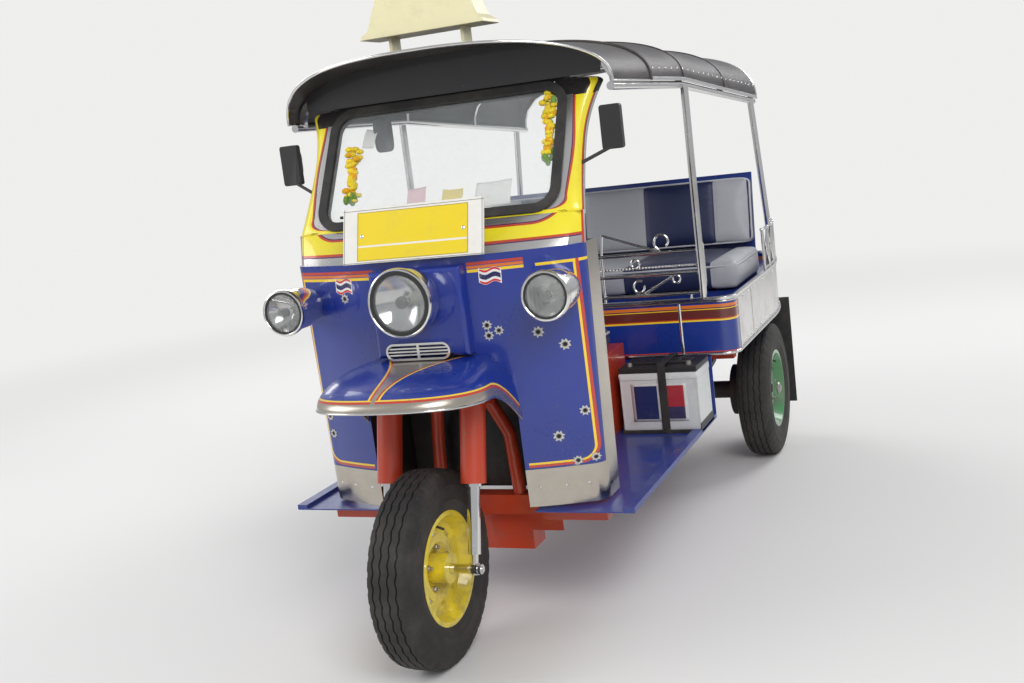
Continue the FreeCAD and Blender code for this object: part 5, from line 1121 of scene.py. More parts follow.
@dataclass
class Cowl:
    """Painted cowl with its stripes, stickers, kick band and belt strip."""

    line: float = 0.008
    belt_line: float = 1.081
    edge_half: float = 0.432
    edge_low: float = 0.509
    edge_corner: float = 0.045
    well_half: float = 0.247
    nose_half: float = 0.142
    flags: tuple[Place, ...] = ((-0.259, 1.052, -4.0), (0.208, 1.054, -3.0))
    flag_size: tuple[float, float] = (0.062, 0.040)
    holes: tuple[Place, ...] = (
        (0.182, 0.918, 0.0125), (0.213, 0.901, 0.012), (0.184, 0.889, 0.0125), (0.316, 0.886, 0.014),
        (0.381, 0.844, 0.014), (0.411, 0.652, 0.013), (0.336, 0.587, 0.014), (0.378, 0.512, 0.012),
        (0.424, 0.516, 0.011), (-0.262, 1.016, 0.013), (-0.408, 0.655, 0.013), (-0.404, 0.600, 0.013))
    screws: tuple[float, ...] = (0.27, 0.34, 0.40)
    kick_level: float = 0.445

    def stripes(self) -> tuple[Stripe, ...]:
        """Triple line under the belt, and a double line round the outer edge of each side.

        Returns:
            The stripes, in the order in which they are painted.
        """
        ahead = Window("y", AXLE, AXLE + 0.30)
        right = (Window("x", -0.5, -self.nose_half - 0.004), ahead)
        left = (Window("x", self.nose_half + 0.004, 0.30), ahead)
        corner = (Window("x", 0.33, 0.5), ahead)
        lines = ((0.010, LINE_RED), (0.0, ORANGE), (-0.010, AMBER))
        rows = [Stripe("z", self.belt_line + step, self.line, colour, windows)
                for windows in (left, right) for step, colour in lines]
        rows.append(Stripe("z", self.belt_line - 0.010, self.line, AMBER, corner))
        ring_ = (Window("side", self.well_half, 0.5), Window("z", 0.49, self.belt_line - 0.006),
                 Window("y", AXLE, AXLE + 0.31))
        return (*rows, Stripe("edge", -0.004, 0.006, AMBER, ring_), Stripe("edge", 0.003, 0.007, LINE_RED, ring_))

    def build(self) -> None:
        """Cowl, brightwork, flags and bullet-hole stickers."""
        edge = RoundedFrame("edge", self.edge_half, self.edge_low, 1.6, self.edge_corner)
        refined("front_cowl", "cowl_shell",
                Paint("cowl_blue", (0.006, 0.026, 0.245), self.stripes(), (edge,), chips=0.35), 0.0012)
        # The bright bands are polished stainless; their dark, warm bronze tone is a painted reflection of dim, warm
        # surroundings.
        refined("cowl_brightwork", "cowl_bands",
                BrushedSheet("bronzed_band", (0.50, 0.46, 0.40), roughness=0.11, stain=0.22), 0.0008)
        tree = solid_tree("front_cowl")
        self.fly_flags(tree)
        self.scatter_holes(tree)
        self.rivets(solid_tree("cowl_brightwork"))

    def fly_flags(self, tree: BVHTree) -> None:
        """Two small banded flags on the sheet, turned a little; a sine of the width waves their height.

        Args:
            tree: search tree of the sheet that they sit on.
        """
        mould = Mould("flag_stickers")
        u, v = np.meshgrid(np.linspace(-1, 1, 25), np.linspace(-1, 1, 9))
        across, up = (half * size / 2 for half, size in zip((u, v), self.flag_size))
        for x, z, turn in self.flags:
            c, s = slant(turn)
            flat = seated(tree, x + across * c - up * s, z + across * s + up * c, 0.0006)
            waved = seated(tree, flat[..., 0], flat[..., 2] + 0.0045 * np.sin(u * 3.6), 0.0007)
            mould.grid(waved, up=v, rim=np.maximum(np.abs(u), np.abs(v) * 0.97))
        mould.made([FlagPrint("flag_print")])

    def scatter_holes(self, tree: BVHTree) -> None:
        """Stars with torn points: the radius swings with the angle.

        Args:
            tree: search tree of the sheet that they sit on.
        """
        mould = Mould("hole_stickers")
        angle = ring(48)
        share = np.array([0.0, 0.2, 0.38, 0.55, 0.75, 1.0])
        for number, (x, z, size) in enumerate(self.holes):
            torn = 1.0 + 0.20 * np.sin(angle * 8 + number) + 0.10 * np.sin(angle * 13 + 2.0 * number)
            reach = share[:, None] * (1 + (torn - 1)[None] * share[:, None])
            xs, zs = x + size * reach * np.cos(angle), z + size * reach * np.sin(angle)
            depth = 0.0007 + 0.0008 * np.exp(-((share - 0.42) / 0.12) ** 2)
            rows = np.stack([seated(tree, *row) for row in zip(xs, zs, depth)])
            mould.grid(rows, wrap_v=True, reach=share[:, None])
        mould.made([HolePrint("hole_print")])

    def rivets(self, tree: BVHTree) -> None:
        """Small domed screws along the kick band.

        Args:
            tree: search tree of the sheet that they sit on.
        """
        mould = Mould("cowl_screws")
        for x in self.screws + tuple(-x for x in self.screws):
            spot = seated(tree, np.array([x]), np.array([self.kick_level]), 0.0)[0]
            mould.lathe([(-0.0015, 0.0), (-0.001, 0.0035), (0.001, 0.005)], spot, AHEAD, 14)
        mould.made([CHROME])


@dataclass
class Mudguard:
    """Bill over the front wheel, with its bright brim and hand-painted lines."""

    half: float = 0.243
    reach: float = 0.208
    rear: float = 0.235
    front_level: float = 0.768
    side_level: float = 0.752
    rear_level: float = 0.600
    crown: float = 0.842
    shoulder: float = 0.815
    power: float = 2.5
    band: float = 0.026
    wall: float = 0.0025

    def brim(self) -> Array:
        """The lower edge, from the right rear corner round the front to the left rear corner.

        It runs straight back at the sides and as a flattened half ellipse round the front. Its
        height is level round the front and falls as a power of the way back.

        Returns:
            The line's points, one row each.
        """
        angle = np.linspace(-math.pi / 2, math.pi / 2, 81)
        front = np.stack([self.half * signed(np.sin(angle), 2 / self.power),
                          -self.reach * np.abs(np.cos(angle)) ** (2 / self.power)], 1)
        back = np.linspace(self.rear, 0.012, 24)
        x, y = even(np.vstack([np.stack([np.full(24, -self.half), back], 1), front,
                               np.stack([np.full(24, self.half), back[::-1]], 1)]), 161).T
        level = self.side_level + (self.front_level - self.side_level) * np.clip(-y / self.reach, 0, 1) ** 1.5
        level -= (self.side_level - self.rear_level) * np.clip(y / self.rear, 0, 1) ** 1.6
        return np.column_stack([x, y + AXLE, level])

    def surface(self) -> tuple[Array, Array]:
        """Quarter-elliptic arches from the brim to a line inside the cowl.

        Returns:
            The grid, and the distance of each point from the brim.
        """
        edge = self.brim()
        s = np.linspace(-1, 1, len(edge))
        inner = np.column_stack([edge[:, 0] * 0.72, np.maximum(edge[:, 1], AXLE + 0.17),
                                 self.crown - (self.crown - self.shoulder) * np.abs(s) ** 2.2])
        inner[:, 2] = np.maximum(inner[:, 2], edge[:, 2] + 0.02)
        t = np.concatenate([np.linspace(0, 0.3, 13), np.linspace(0.3, 1, 31)[1:]])
        u = t * math.pi / 2
        flat = inner[None, :, :2] + (edge - inner)[None, :, :2] * (np.cos(u) ** 0.92)[:, None, None]
        high = edge[None, :, 2] + (inner - edge)[None, :, 2] * (np.sin(u) ** 0.85)[:, None]
        rows = np.concatenate([flat, high[..., None]], -1)
        reach = np.concatenate([np.zeros((1, len(edge))),
                                np.cumsum(np.linalg.norm(np.diff(rows, axis=0), axis=-1), 0)])
        return rows, reach

    def paint(self) -> Paint:
        """Blue bill; a bright brim and tongue, each edged with red and yellow.

        Returns:
            The finish.
        """
        tongue = Tongue("tongue", 0.011, 0.082, AXLE - 0.19, AXLE + 0.10)
        over = (Window("brim", self.band + 0.012, 1.0),)
        return Paint("bill_blue", (0.006, 0.030, 0.26), (
            Stripe("brim", self.band + 0.0035, 0.007, LINE_RED), Stripe("brim", self.band + 0.0105, 0.0055, AMBER),
            Stripe("tongue", 0.004, 0.006, AMBER, over), Stripe("tongue", -0.002, 0.006, LINE_RED, over),
            Stripe("tongue", -0.105, 0.20, (0.55, 0.48, 0.40), (Window("brim", self.band, 1.0),), 0.85),
            Stripe("brim", 0.0, 2 * self.band, (0.50, 0.45, 0.38), (), 0.9)), (tongue,), coat=0.5)

    def build(self) -> None:
        """Shell and rolled bead."""
        rows, reach = self.surface()
        shell = Mould("bill_shell").grid(rows[:, ::-1], brim=reach[:, ::-1])
        piece = shell.made([self.paint()], 60.0, wall=self.wall)
        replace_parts(piece, "front_mudguard")
        Mould("bill_bead").tube(self.brim(), 0.0035, 10).made([STAINLESS])


@dataclass
class Headlamp:
    """Round lamp with a hollow shell, bowl, bulb and fluted glass, as large as a side lamp."""

    name: str
    centre: Place
    radius: float = 0.068
    length: float = 0.190
    tail: float = 0.0
    seal: float = 0.003
    wall: float = 0.002

    def shell_profile(self) -> list[tuple[float, float]]:
        """Rim bead, groove and torpedo body; the body narrows as a power of a cosine.

        Returns:
            Depth behind the rim and radius of each point, closed along the inside.
        """
        r, start = self.radius, 0.045
        bead = [(0.012, r - 0.014), (0.002, r - 0.009), (0.0, r - 0.006), (0.001, r - 0.002), (0.006, r),
                (0.014, r), (0.018, r - 0.002), (0.020, r - 0.006), (0.024, r - 0.0055)]
        t = np.linspace(0, 1, 18) * math.pi / 2
        body = list(zip(start + (self.length - start) * np.sin(t),
                        np.maximum(self.tail, (r - 0.006) * np.cos(t) ** 0.7)))
        inside = [(along - self.wall, max(0.0, across - self.wall)) for along, across in reversed(body)]
        return bead + body + inside

    def build(self) -> None:
        """Shell; reflector with its bulb, a bulb shield and a sealing ring, whose dark plastic is painted shade; and
        glass.
        """
        r, spot = self.radius, (self.centre[0], self.centre[1] + AXLE, self.centre[2])
        clear, seal = r - 0.010, self.seal
        shell = Mould("lamp_shell_" + self.name).lathe(self.shell_profile(), spot, AHEAD, 96, closed=True)
        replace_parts(shell.made([CHROME], 40.0), "headlamp_shells")
        bowl = [(0.008 + 0.042 * (1 - a * a), (clear - 0.001) * a) for a in np.linspace(1, 0.12, 16)]
        bowl += [(0.052, 0.004), (0.054, clear * 0.3), (0.014, clear)]
        bulb = [(0.018, 0.001), (0.0185, 0.005), (0.022, 0.0085), (0.030, 0.0095), (0.038, 0.008), (0.046, 0.007)]
        # The bulb shield and the sealing ring are real parts; their dark plastic is painted shade that darkens the
        # lens in its middle and at its rim.
        shade = [(0.013, 0.001), (0.0125, r * 0.17), (0.022, r * 0.185), (0.022, r * 0.16), (0.0145, r * 0.15)]
        gasket = [(0.010, clear - seal), (0.002, clear - seal), (0.0005, clear - seal * 0.5),
                  (0.001, clear + 0.003), (0.010, clear + 0.003)]
        reflector = Mould("lamp_bowl_" + self.name)
        for profile, sides, slot, closed in ((bowl, 72, 0, True), (bulb, 24, 1, False), (shade, 32, 2, False),
                                             (gasket, 72, 2, True)):
            reflector.lathe(profile, spot, AHEAD, sides, slot, closed)
        # The reflector's metal is dimmer than bright chrome: painted shade, so that the lens reads grey.
        reflector.made([Chrome("lamp_mirror", (0.48, 0.48, 0.47), 0.08, 0.0),
                        Plastic("bulb_glass", (0.85, 0.84, 0.78), 0.12, 0.0), DARK_PLASTIC], 50.0)
        dome = [(-0.013 * (1 - a * a) + 0.004, clear * a) for a in np.linspace(0.02, 1, 16)]
        inner = [(x + 0.003, q * 0.985) for x, q in reversed(dome)]
        glass = Mould("lamp_glass_" + self.name).lathe(dome + inner, spot, AHEAD, 72)
        fluted = ClearGlass("fluted_glass", (0.90, 0.92, 0.90), 0.10, 0.03, 520.0)
        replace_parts(glass.made([fluted], 50.0), "headlamp_lenses")


@dataclass
class Headlamps:
    """The two side lamps and the larger one on the nose; y is measured from the axle."""

    side: Place = (0.401, 0.062, 1.002)
    nose: Place = (0.0, 0.015, 1.014)

    def build(self) -> None:
        """Three lamps that stand for the CAD shells and lenses."""
        Headlamp("left", self.side).build()
        Headlamp("right", (-self.side[0], *self.side[1:])).build()
        Headlamp("nose", self.nose, 0.096, 0.125, 0.070, 0.011).build()


@dataclass
class NumberPlate:
    """Blank plate: white margins, a yellow field in two rows and a fine dark outline."""

    width: float = 0.435
    height: float = 0.158
    lean: float = 17.0
    low: float = 1.117

    def build(self) -> None:
        """The CAD plate with its field painted by height and width, and two screws."""
        rise, out = slant(self.lean)
        low, high = self.low + 0.010 * rise, self.low + (self.height - 0.012) * rise
        half = self.width / 2 - 0.046
        across, tall = Window("side", -1.0, half), Window("z", low, high)
        white, brown, dark = (0.80, 0.78, 0.72), (0.40, 0.28, 0.02), (0.06, 0.05, 0.05)
        lines = [Stripe("z", (low + high) / 2, high - low, (0.82, 0.62, 0.02), (across,)),
                 Stripe("z", self.low + 0.050 * rise, 0.005, white, (tall, across)),
                 Stripe("side", half - 0.001, 0.003, (0.45, 0.32, 0.02), (tall,))]
        lines += [Stripe("z", level, 0.002, brown, (across,)) for level in (low, high)]
        lines += [Stripe("side", self.width / 2 - 0.004, 0.0016, dark)]
        lines += [Stripe("z", self.low + up, 0.0014, dark) for up in (0.004, (self.height - 0.005) * rise)]
        enamel = Plastic("plate_enamel", white, 0.30, 0.2, tuple(lines), "plate_paint")
        refined("number_plate", "plate_blank", enamel, 0.0015)
        tree = solid_tree("number_plate")
        mould = Mould("plate_screws")
        for sign in (1, -1):
            spot = seated(tree, np.array([sign * 0.168]), np.array([self.low + 0.079 * rise]), 0.0)[0]
            spot[0] = sign * 0.157
            mould.lathe([(-0.002, 0.006), (0.0005, 0.006), (0.0025, 0.004), (0.003, 0.0015)], spot,
                        (0.0, -rise, out), 18)
        mould.made([CHROME], 40.0)


SEEN_THROUGH = ClearGlass("screen_glass", (0.80, 0.86, 0.86), 0.10, 0.02, slot="screen_glass")
BLACK_ENAMEL = Paint("black_enamel", (0.016, 0.015, 0.016), roughness=0.30, coat=0.5, chips=0.4, dust=0.2,
                     slot="chassis_black")
PAPER_WHITE = Plastic("blank_paper", (0.80, 0.80, 0.78), 0.62, 0.1)
PAPER_PINK = Plastic("pink_paper", (0.78, 0.55, 0.58), 0.62, 0.1)
PAPER_YELLOW = Plastic("yellow_paper", (0.80, 0.66, 0.22), 0.62, 0.1)
MARIGOLD = Plastic("marigold", (0.80, 0.40, 0.01), 0.75, 0.4)
BLOSSOM = Plastic("yellow_blossom", (0.86, 0.66, 0.03), 0.75, 0.4)
LEAF = Plastic("garland_leaf", (0.16, 0.30, 0.05), 0.7, 0.3)


@dataclass
class Windscreen:
    """Pressed surround with its yellow field and pinstripes, scuttle, header, rubber, glass and wiper.

    Places in the slope are (across, up the slope from its foot, out of its face).
    """

    foot_station: float = 0.275
    foot_level: float = 1.200
    lean: float = 30.5
    length: float = 0.425
    depth: float = 0.033
    foot: float = 0.455
    waist: float = 0.440
    head: float = 0.480
    window_half: float = 0.372
    window_low: float = 0.018
    window_high: float = 0.401
    window_corner: float = 0.062
    sheet: float = 0.0022
    band: float = 0.036
    header_level: float = 1.566

    def slope(self, x: Number, up: Number, out: Number) -> Array:
        """Points of the slope in the frame: it leans back from its foot.

        Args:
            x: across.
            up: up the slope from its foot.
            out: out of its face.

        Returns:
            The points, along a new last axis.
        """
        c, s = slant(self.lean)
        return np.stack(np.broadcast_arrays(x, AXLE + self.foot_station + up * s - out * c,
                                            self.foot_level + up * c + out * s), -1)

    def facing(self) -> Place:
        """The direction straight out of the slope."""
        c, s = slant(self.lean)
        return (0.0, -c, s)

    def half_at(self, up: Array) -> Array:
        """Half width of the frame at a height of the slope: a parabola on each side of the waist.

        Args:
            up: places up the slope.

        Returns:
            The half widths.
        """
        middle = 0.55 * self.length
        below = np.clip((middle - up) / middle, 0, 1) ** 2 * (self.foot - self.waist)
        above = np.clip((up - middle) / (self.length - middle), 0, 1) ** 2 * (self.head - self.waist)
        return self.waist + below + above

    def loop(self, corner: float, half: Optional[float], low: float, high: float) -> tuple[Array, Array]:
        """Rounded rectangle in the slope, anticlockwise from the lower right, with equal counts a side.

        Args:
            corner: radius of its corners.
            half: its half width, or None for the frame's own.
            low: its lower edge, up the slope.
            high: its upper edge.

        Returns:
            Across and up of each point.
        """
        corners = []
        for quarter in range(4):
            angle = np.linspace(0, math.pi / 2, 13) + (quarter - 1) * math.pi / 2
            up = (high - corner if quarter in (1, 2) else low + corner) + corner * np.sin(angle)
            side = self.half_at(up) if half is None else half
            corners.append(((1 if quarter < 2 else -1) * (side - corner) + corner * np.cos(angle), up))
        share = np.linspace(0, 1, 24)[1:-1]
        parts = []
        for index, (x, up) in enumerate(corners):
            next_x, next_up = corners[(index + 1) % 4]
            run_up = up[-1] + (next_up[0] - up[-1]) * share
            run_x = x[-1] + (next_x[0] - x[-1]) * share
            if half is None and index in (0, 2):
                run_x = np.sign(x[-1]) * self.half_at(run_up)
            parts += [(x, up), (run_x, run_up)]
        return np.concatenate([p[0] for p in parts]), np.concatenate([p[1] for p in parts])

    def surround(self) -> None:
        """Pressing round the window: flat beside the rubber, then rolled back at the sides.

        Between the window's edge and the outer edge each row is a share of the way; the outer half
        follows a quarter ellipse back by the depth, full at the sides and none at foot and head.
        """
        x0, up0 = self.loop(self.window_corner, self.window_half, self.window_low, self.window_high)
        x1, up1 = self.loop(0.012, None, 0.0, self.length)
        share = np.concatenate([np.linspace(0, 0.5, 8), 0.5 + 0.5 * np.sin(np.linspace(0, math.pi / 2, 14)[1:])])
        rolled = np.clip((np.abs(x1) - 0.405) / 0.03, 0, 1)
        inward = np.clip((share - 0.5) / 0.5, 0, 1)[:, None]
        out = -self.depth * rolled[None] * (1 - np.sqrt(np.clip(1 - inward ** 2, 0, 1)))
        x = x0 + (x1 - x0) * share[:, None]
        up = up0 + (up1 - up0) * share[:, None]
        face = self.slope(x, up, out)
        reveal = self.slope(x0, up0, -self.depth * 0.9)[None]
        rows = np.concatenate([reveal, face])
        step = np.linalg.norm(np.diff(rows, axis=0), axis=-1)
        span = np.concatenate([np.zeros((1, x.shape[1])), np.cumsum(step, 0)]) - step[:1]
        mould = Mould("screen_surround").grid(rows, wrap_v=True, span=span, rest=span[-1:] - span)
        piece = mould.made([self.paint()], 50.0, wall=self.sheet)
        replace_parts(piece, "windscreen_frame")

    def paint(self) -> Paint:
        """Yellow field between bright bands, each edged in purple and red; black at the head.

        Returns:
            The finish.
        """
        low = (Window("z", 1.0, 1.515),)
        head = (Window("z", 1.512, 1.9),)
        spear = (Window("z", 1.500, 1.556), Window("rest", 0.022, 0.046), Window("side", 0.43, 0.6))
        side = (Window("side", 0.405, 0.6), Window("z", 1.0, 1.515))
        return Paint("screen_yellow", LEMON, (
            Stripe("span", 0.0385, 0.0045, PURPLE, low), Stripe("span", 0.0435, 0.0055, LINE_RED, low),
            Stripe("rest", 0.0125, 0.004, PURPLE, side), Stripe("rest", 0.0165, 0.004, LINE_RED, side),
            Stripe("span", 0.0, 0.5, (0.018, 0.016, 0.016), head), Stripe("rest", 0.034, 0.024, LEMON, spear),
            Stripe("span", 0.018, 0.036, STEEL, low, 0.95), Stripe("rest", 0.004, 0.012, STEEL, side, 0.95)),
            chips=0.35, dust=0.1, slot="yellow_paint")

    def cut_copy(self, name: str, finish: Finish, level: float, side: float) -> None:
        """The CAD frame on one side of a level, closed where it is cut.

        Args:
            name: of the piece.
            finish: its finish.
            level: where it is cut.
            side: 1 keeps what lies below the level, and -1 what lies above it.
        """

        def cut(work: bmesh.types.BMesh) -> None:
            """Cuts the mesh and fills the hole.

            Args:
                work: the mesh.
            """
            made = bmesh.ops.bisect_plane(work, geom=[*work.verts, *work.edges, *work.faces],
                                          plane_co=(0, 0, level), plane_no=(0, 0, side), clear_outer=True)
            rim = [item for item in made["geom_cut"] if isinstance(item, bmesh.types.BMEdge)]
            bmesh.ops.edgenet_fill(work, edges=rim)
            bmesh.ops.recalc_face_normals(work, faces=work.faces)

        reworked("windscreen_frame", name, finish, 30.0, cut)

    def scuttle_paint(self) -> Paint:
        """Yellow with red and purple lines over the bright belt strip and under the window's band.

        Returns:
            The finish.
        """
        window = RoundedFrame("window", self.window_half, self.window_low, self.window_high, self.window_corner,
                              self.lean, self.foot_level)
        return Paint("scuttle_yellow", LEMON, (
            Stripe("window", 0.0385, 0.0045, PURPLE), Stripe("window", 0.0435, 0.0055, LINE_RED),
            Stripe("window", 0.0, 2 * self.band, STEEL, (), 0.95),
            Stripe("z", 1.1405, 0.006, LINE_RED), Stripe("z", 1.1355, 0.004, PURPLE),
            Stripe("z", 1.1235, 0.020, STEEL, (), 0.95),
            Stripe("side", 0.456, 0.010, STEEL, (), 0.95), Stripe("side", 0.4485, 0.005, LINE_RED)),
            (window,), chips=0.35, dust=0.1, slot="yellow_paint")

    def wiper(self) -> None:
        """Arm and blade at rest along the foot of the glass."""
        points = [(0.10, 0.004, 0.016), (0.02, 0.020, 0.022), (-0.10, 0.040, 0.024), (-0.19, 0.047, 0.021)]
        path = through([self.slope(*point) for point in points], 40)
        mould = Mould("wiper").tube(path, np.linspace(0.0045, 0.0022, 40), 10, up=AHEAD, flat=0.6)
        mould.lathe([(-0.004, 0.011), (0.012, 0.011), (0.019, 0.008), (0.021, 0.004)],
                    self.slope(0.10, 0.004, 0.004), self.facing(), 24)
        x = np.linspace(-0.30, -0.02, 24)
        mould.tube(self.slope(x, 0.034 + 0.02 * (0.12 - x), 0.0135), 0.0042, 8, slot=1, up=AHEAD)
        mould.made([BLACK_ENAMEL, BLACK_RUBBER], 45.0)

    def rivets(self) -> None:
        """Bright domed rivets along the header."""
        mould = Mould("screen_rivets")
        for x in np.linspace(-0.34, 0.34, 5):
            mould.lathe([(0.0, 0.0040), (0.0012, 0.0034), (0.0024, 0.0016)], self.slope(x, 0.413, 0.0),
                        self.facing(), 12)
        mould.made([CHROME], 60.0)

    def papers(self) -> None:
        """Three blank papers and a card lean inside the glass; their sheets bow a little."""
        rows = ((PAPER_PINK, "paper_pink", -0.082, 0.105, 0.060, 0.075, 3.0),
                (PAPER_YELLOW, "paper_yellow", 0.033, 0.100, 0.066, 0.055, -2.0),
                (PAPER_WHITE, "paper_white", 0.165, 0.100, 0.110, 0.080, 2.0),
                (PAPER_WHITE, "paper_card", -0.270, 0.330, 0.042, 0.062, -8.0))
        u, v = np.meshgrid(np.linspace(-1, 1, 13), np.linspace(-1, 1, 13))
        for finish, name, x, up, width, height, turn in rows:
            c, s = slant(turn)
            across, along = x + (u * width * c - v * height * s) / 2, up + (u * width * s + v * height * c) / 2
            bow = -self.depth - 0.006 - 0.004 * (1 - u * u) - 0.003 * np.sin(v * 2.0 + x * 30)
            piece = Mould(name).grid(self.slope(across, along, bow)).made([finish], 60.0, wall=0.0006)

    def garland(self, name: str, points: Points, seed: int) -> None:
        """A hanging string of ruffled flower heads with leaves at its foot.

        Each head is a sphere whose radius swings with both angles, like petals.

        Args:
            name: of the piece.
            points: places it passes, in the frame.
            seed: of its random sizes.
        """
        draw = np.random.default_rng(seed)
        path = through(points, 64)
        mould = Mould(name)
        lat, lon = np.meshgrid(np.linspace(0, math.pi, 9), ring(16), indexing="ij")
        swell = np.sin(lat) ** 0.8
        for index, spot in enumerate(path):
            share = index / 63
            loose = 0.012 * (1 + 0.7 * math.sin(share * 9.0)) * (1 - 0.6 * share)
            leaf = share > 0.90 or draw.random() < 0.07
            size = draw.uniform(0.0085, 0.0130) * (0.62 if leaf else 1.0)
            petal = 1 + 0.20 * np.sin(lon * 7 + index) * swell + 0.12 * np.sin(lat * 8)
            r = size * petal
            ball = np.stack([np.sin(lat) * np.cos(lon), np.sin(lat) * np.sin(lon), np.cos(lat) * (0.7 + leaf)], -1)
            shift = draw.normal(0, loose, 3) * (1.0, 0.5, 0.5)
            slot = 1 if leaf else 2 * int(draw.random() < 0.75)
            mould.grid(spot + np.clip(shift, -0.02, 0.02) + ball * r[..., None], wrap_v=True, slot=slot)
        mould.made([MARIGOLD, LEAF, BLOSSOM], 80.0)

    def inner_mirror(self) -> None:
        """Tall dark mirror hung inside, on a short stalk."""
        x, z = oval(48, 0.030, 0.052, 0.45)
        mould = Mould("inner_mirror").skin([
            np.stack([-0.235 + x * size, np.full(48, -0.640 - back), 1.470 + z * size], 1)
            for back, size in ((0.024, 0.4), (0.022, 0.80), (0.014, 1.0), (0.002, 1.0), (0.0, 0.92))])
        stalk = through([(-0.235, -0.655, 1.515), (-0.232, -0.650, 1.545), (-0.225, -0.628, 1.563)], 14)
        mould.tube(stalk, 0.004, 8, up=ACROSS).made([DARK_PLASTIC], 40.0)

    def build(self) -> None:
        """All pieces of the windscreen."""
        self.surround()
        self.cut_copy("screen_scuttle", self.scuttle_paint(), self.foot_level + 0.0005, 1.0)
        self.cut_copy("screen_header", BLACK_ENAMEL, self.header_level, -1.0)
        refined("windscreen_gasket", "screen_rubber", BLACK_RUBBER, 0.0016)
        refined("windscreen_glass", "screen_pane", SEEN_THROUGH, 0.0)
        self.wiper()
        self.rivets()
        self.papers()
        self.garland("garland_right", ((-0.300, -0.722, 1.440), (-0.296, -0.760, 1.370), (-0.285, -0.812, 1.285)), 3)
        self.garland("garland_left", ((0.325, -0.672, 1.520), (0.335, -0.720, 1.440), (0.335, -0.775, 1.340)), 5)
        self.inner_mirror()


TREAD = Rubber("tread_rubber", (0.017, 0.016, 0.015), 0.35, 0.66, "tyre_rubber")
NUT_STEEL = BrushedSheet("nut_steel", (0.42, 0.39, 0.36), (60.0, 60.0, 60.0), 0.34, 0.9)


@dataclass
class Wheel:
    """A tyre with zigzag ribs, and the nuts, cap and valve of its rim.

    The tyre is a closed profile carried round the axle. Each groove of the tread is four columns
    of points that swing from side to side together along the turn.
    """

    side: str
    body: Body
    across: float = 0.0
    station: float = -1.146
    radius: float = 0.275
    hub_end: float = 0.059
    out: float = 1.0
    nut_ring: float = 0.060
    steps: int = 360
    teeth: int = 40
    swing: float = 0.0024
    groove_half: float = 0.0026
    groove_depth: float = 0.0062
    grooves: tuple[float, ...] = (-0.034, -0.0115, 0.0115, 0.034)
    drawn_radius: float = 0.275

    def node(self, part: str) -> str:
        """Name of the CAD piece that is this wheel's tyre or rim."""
        return "front_" + part if self.side == "front" else "rear_" + part + "_" + self.side

    def section(self) -> tuple[Array, Array, Array]:
        """The section from bead to bead over the tread and back inside.

        Returns:
            Across and radius of each point, and whether it swings.
        """
        wall = [(0.0505, 0.1525), (0.0560, 0.1600), (0.0615, 0.1745), (0.0640, 0.1850), (0.0652, 0.1860),
                (0.0655, 0.1885), (0.0650, 0.1895), (0.0662, 0.2100), (0.0655, 0.2270), (0.0662, 0.2280),
                (0.0655, 0.2310), (0.0642, 0.2320), (0.0620, 0.2450), (0.0585, 0.2565), (0.0545, 0.2640),
                (0.0520, 0.2675), (0.0500, 0.2700), (0.0465, 0.2713)]
        crown = []
        for middle in reversed(self.grooves):
            top = self.drawn_radius - 1.55 * middle * middle
            foot, low = self.groove_half * 0.55, top - self.groove_depth
            crown += [(middle + self.groove_half, top), (middle + foot, low), (middle - foot, low),
                      (middle - self.groove_half, top)]
        inner = [(-0.0440, 0.1530), (-0.0300, 0.1600), (0.0300, 0.1600), (0.0440, 0.1530)]
        x, r = np.array(wall + crown + [(-x, r) for x, r in reversed(wall)] + inner).T
        swings = np.zeros(len(x))
        swings[len(wall):len(wall) + len(crown)] = 1.0
        drop = self.drawn_radius - self.radius
        return x, r - drop * np.where(r > 0.2, (r - 0.2) / 0.075, 0.0), swings

    def tyre(self) -> None:
        """Carries the section round; the swing is a triangle wave, the shoulder has short cuts."""
        x, r, swings = self.section()
        turn = ring(self.steps)[:, None]
        phase = (turn * self.teeth / TURN) % 1.0
        across = x + self.swing * swings * (2 * np.abs(2 * phase - 1) - 1)
        shoulder = (np.abs(x) > 0.048) & (np.abs(x) < 0.060) & (r > 0.252)
        reach = r - 0.0030 * ((phase < 0.26) & shoulder)
        points = np.stack([self.across + across, self.station + reach * np.cos(turn),
                           self.radius + reach * np.sin(turn)], -1)
        piece = Mould("tyre_" + self.side).grid(points, wrap_u=True, wrap_v=True).made([TREAD], 32.0, self.body)
        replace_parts(piece, self.node("tyre"))

    def fittings(self) -> None:
        """Five nuts on a ring of the disc, a domed cap on the hub and a valve through the well."""
        mould, axis, level = Mould("wheel_nuts_" + self.side), (self.out, 0.0, 0.0), self.nut_level()
        for angle in ring(5, 0.3):
            spot = (self.across + level, self.station + self.nut_ring * math.cos(angle),
                    self.radius + self.nut_ring * math.sin(angle))
            mould.lathe([(0.0, 0.0090), (0.0085, 0.0090), (0.0105, 0.0070)], spot, axis, 6)
            mould.lathe([(0.0, 0.0045), (0.016, 0.0045), (0.0175, 0.003)], spot, axis, 12)
        if self.side != "front":
            mould.lathe([(-0.002, 0.024), (0.004, 0.024), (0.010, 0.020), (0.014, 0.012), (0.015, 0.004)],
                        (self.across + self.out * self.hub_end, self.station, self.radius), axis, 32)
        mould.made([NUT_STEEL], 30.0, self.body)
        start = np.array((self.across + level + self.out * 0.008, self.station, self.radius + 0.122))
        path = start + np.linspace(0, 1, 5)[:, None] * (self.out * 0.030, 0.0, -0.010)
        Mould("valve_" + self.side).tube(path, 0.0036, 10, up=AHEAD).made([BLACK_RUBBER], 40.0, self.body)

    def nut_level(self) -> float:
        """How far out the disc lies at the ring of nuts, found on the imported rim.

        Returns:
            The distance from the wheel's middle, with the sign of its side.
        """
        start = Vector((self.across + self.out * 0.3, self.station + self.nut_ring, self.radius))
        spot, _, _, _ = solid_tree(self.node("rim")).ray_cast(start, Vector((-self.out, 0, 0)))
        return spot.x - self.across if spot else self.out * 0.02


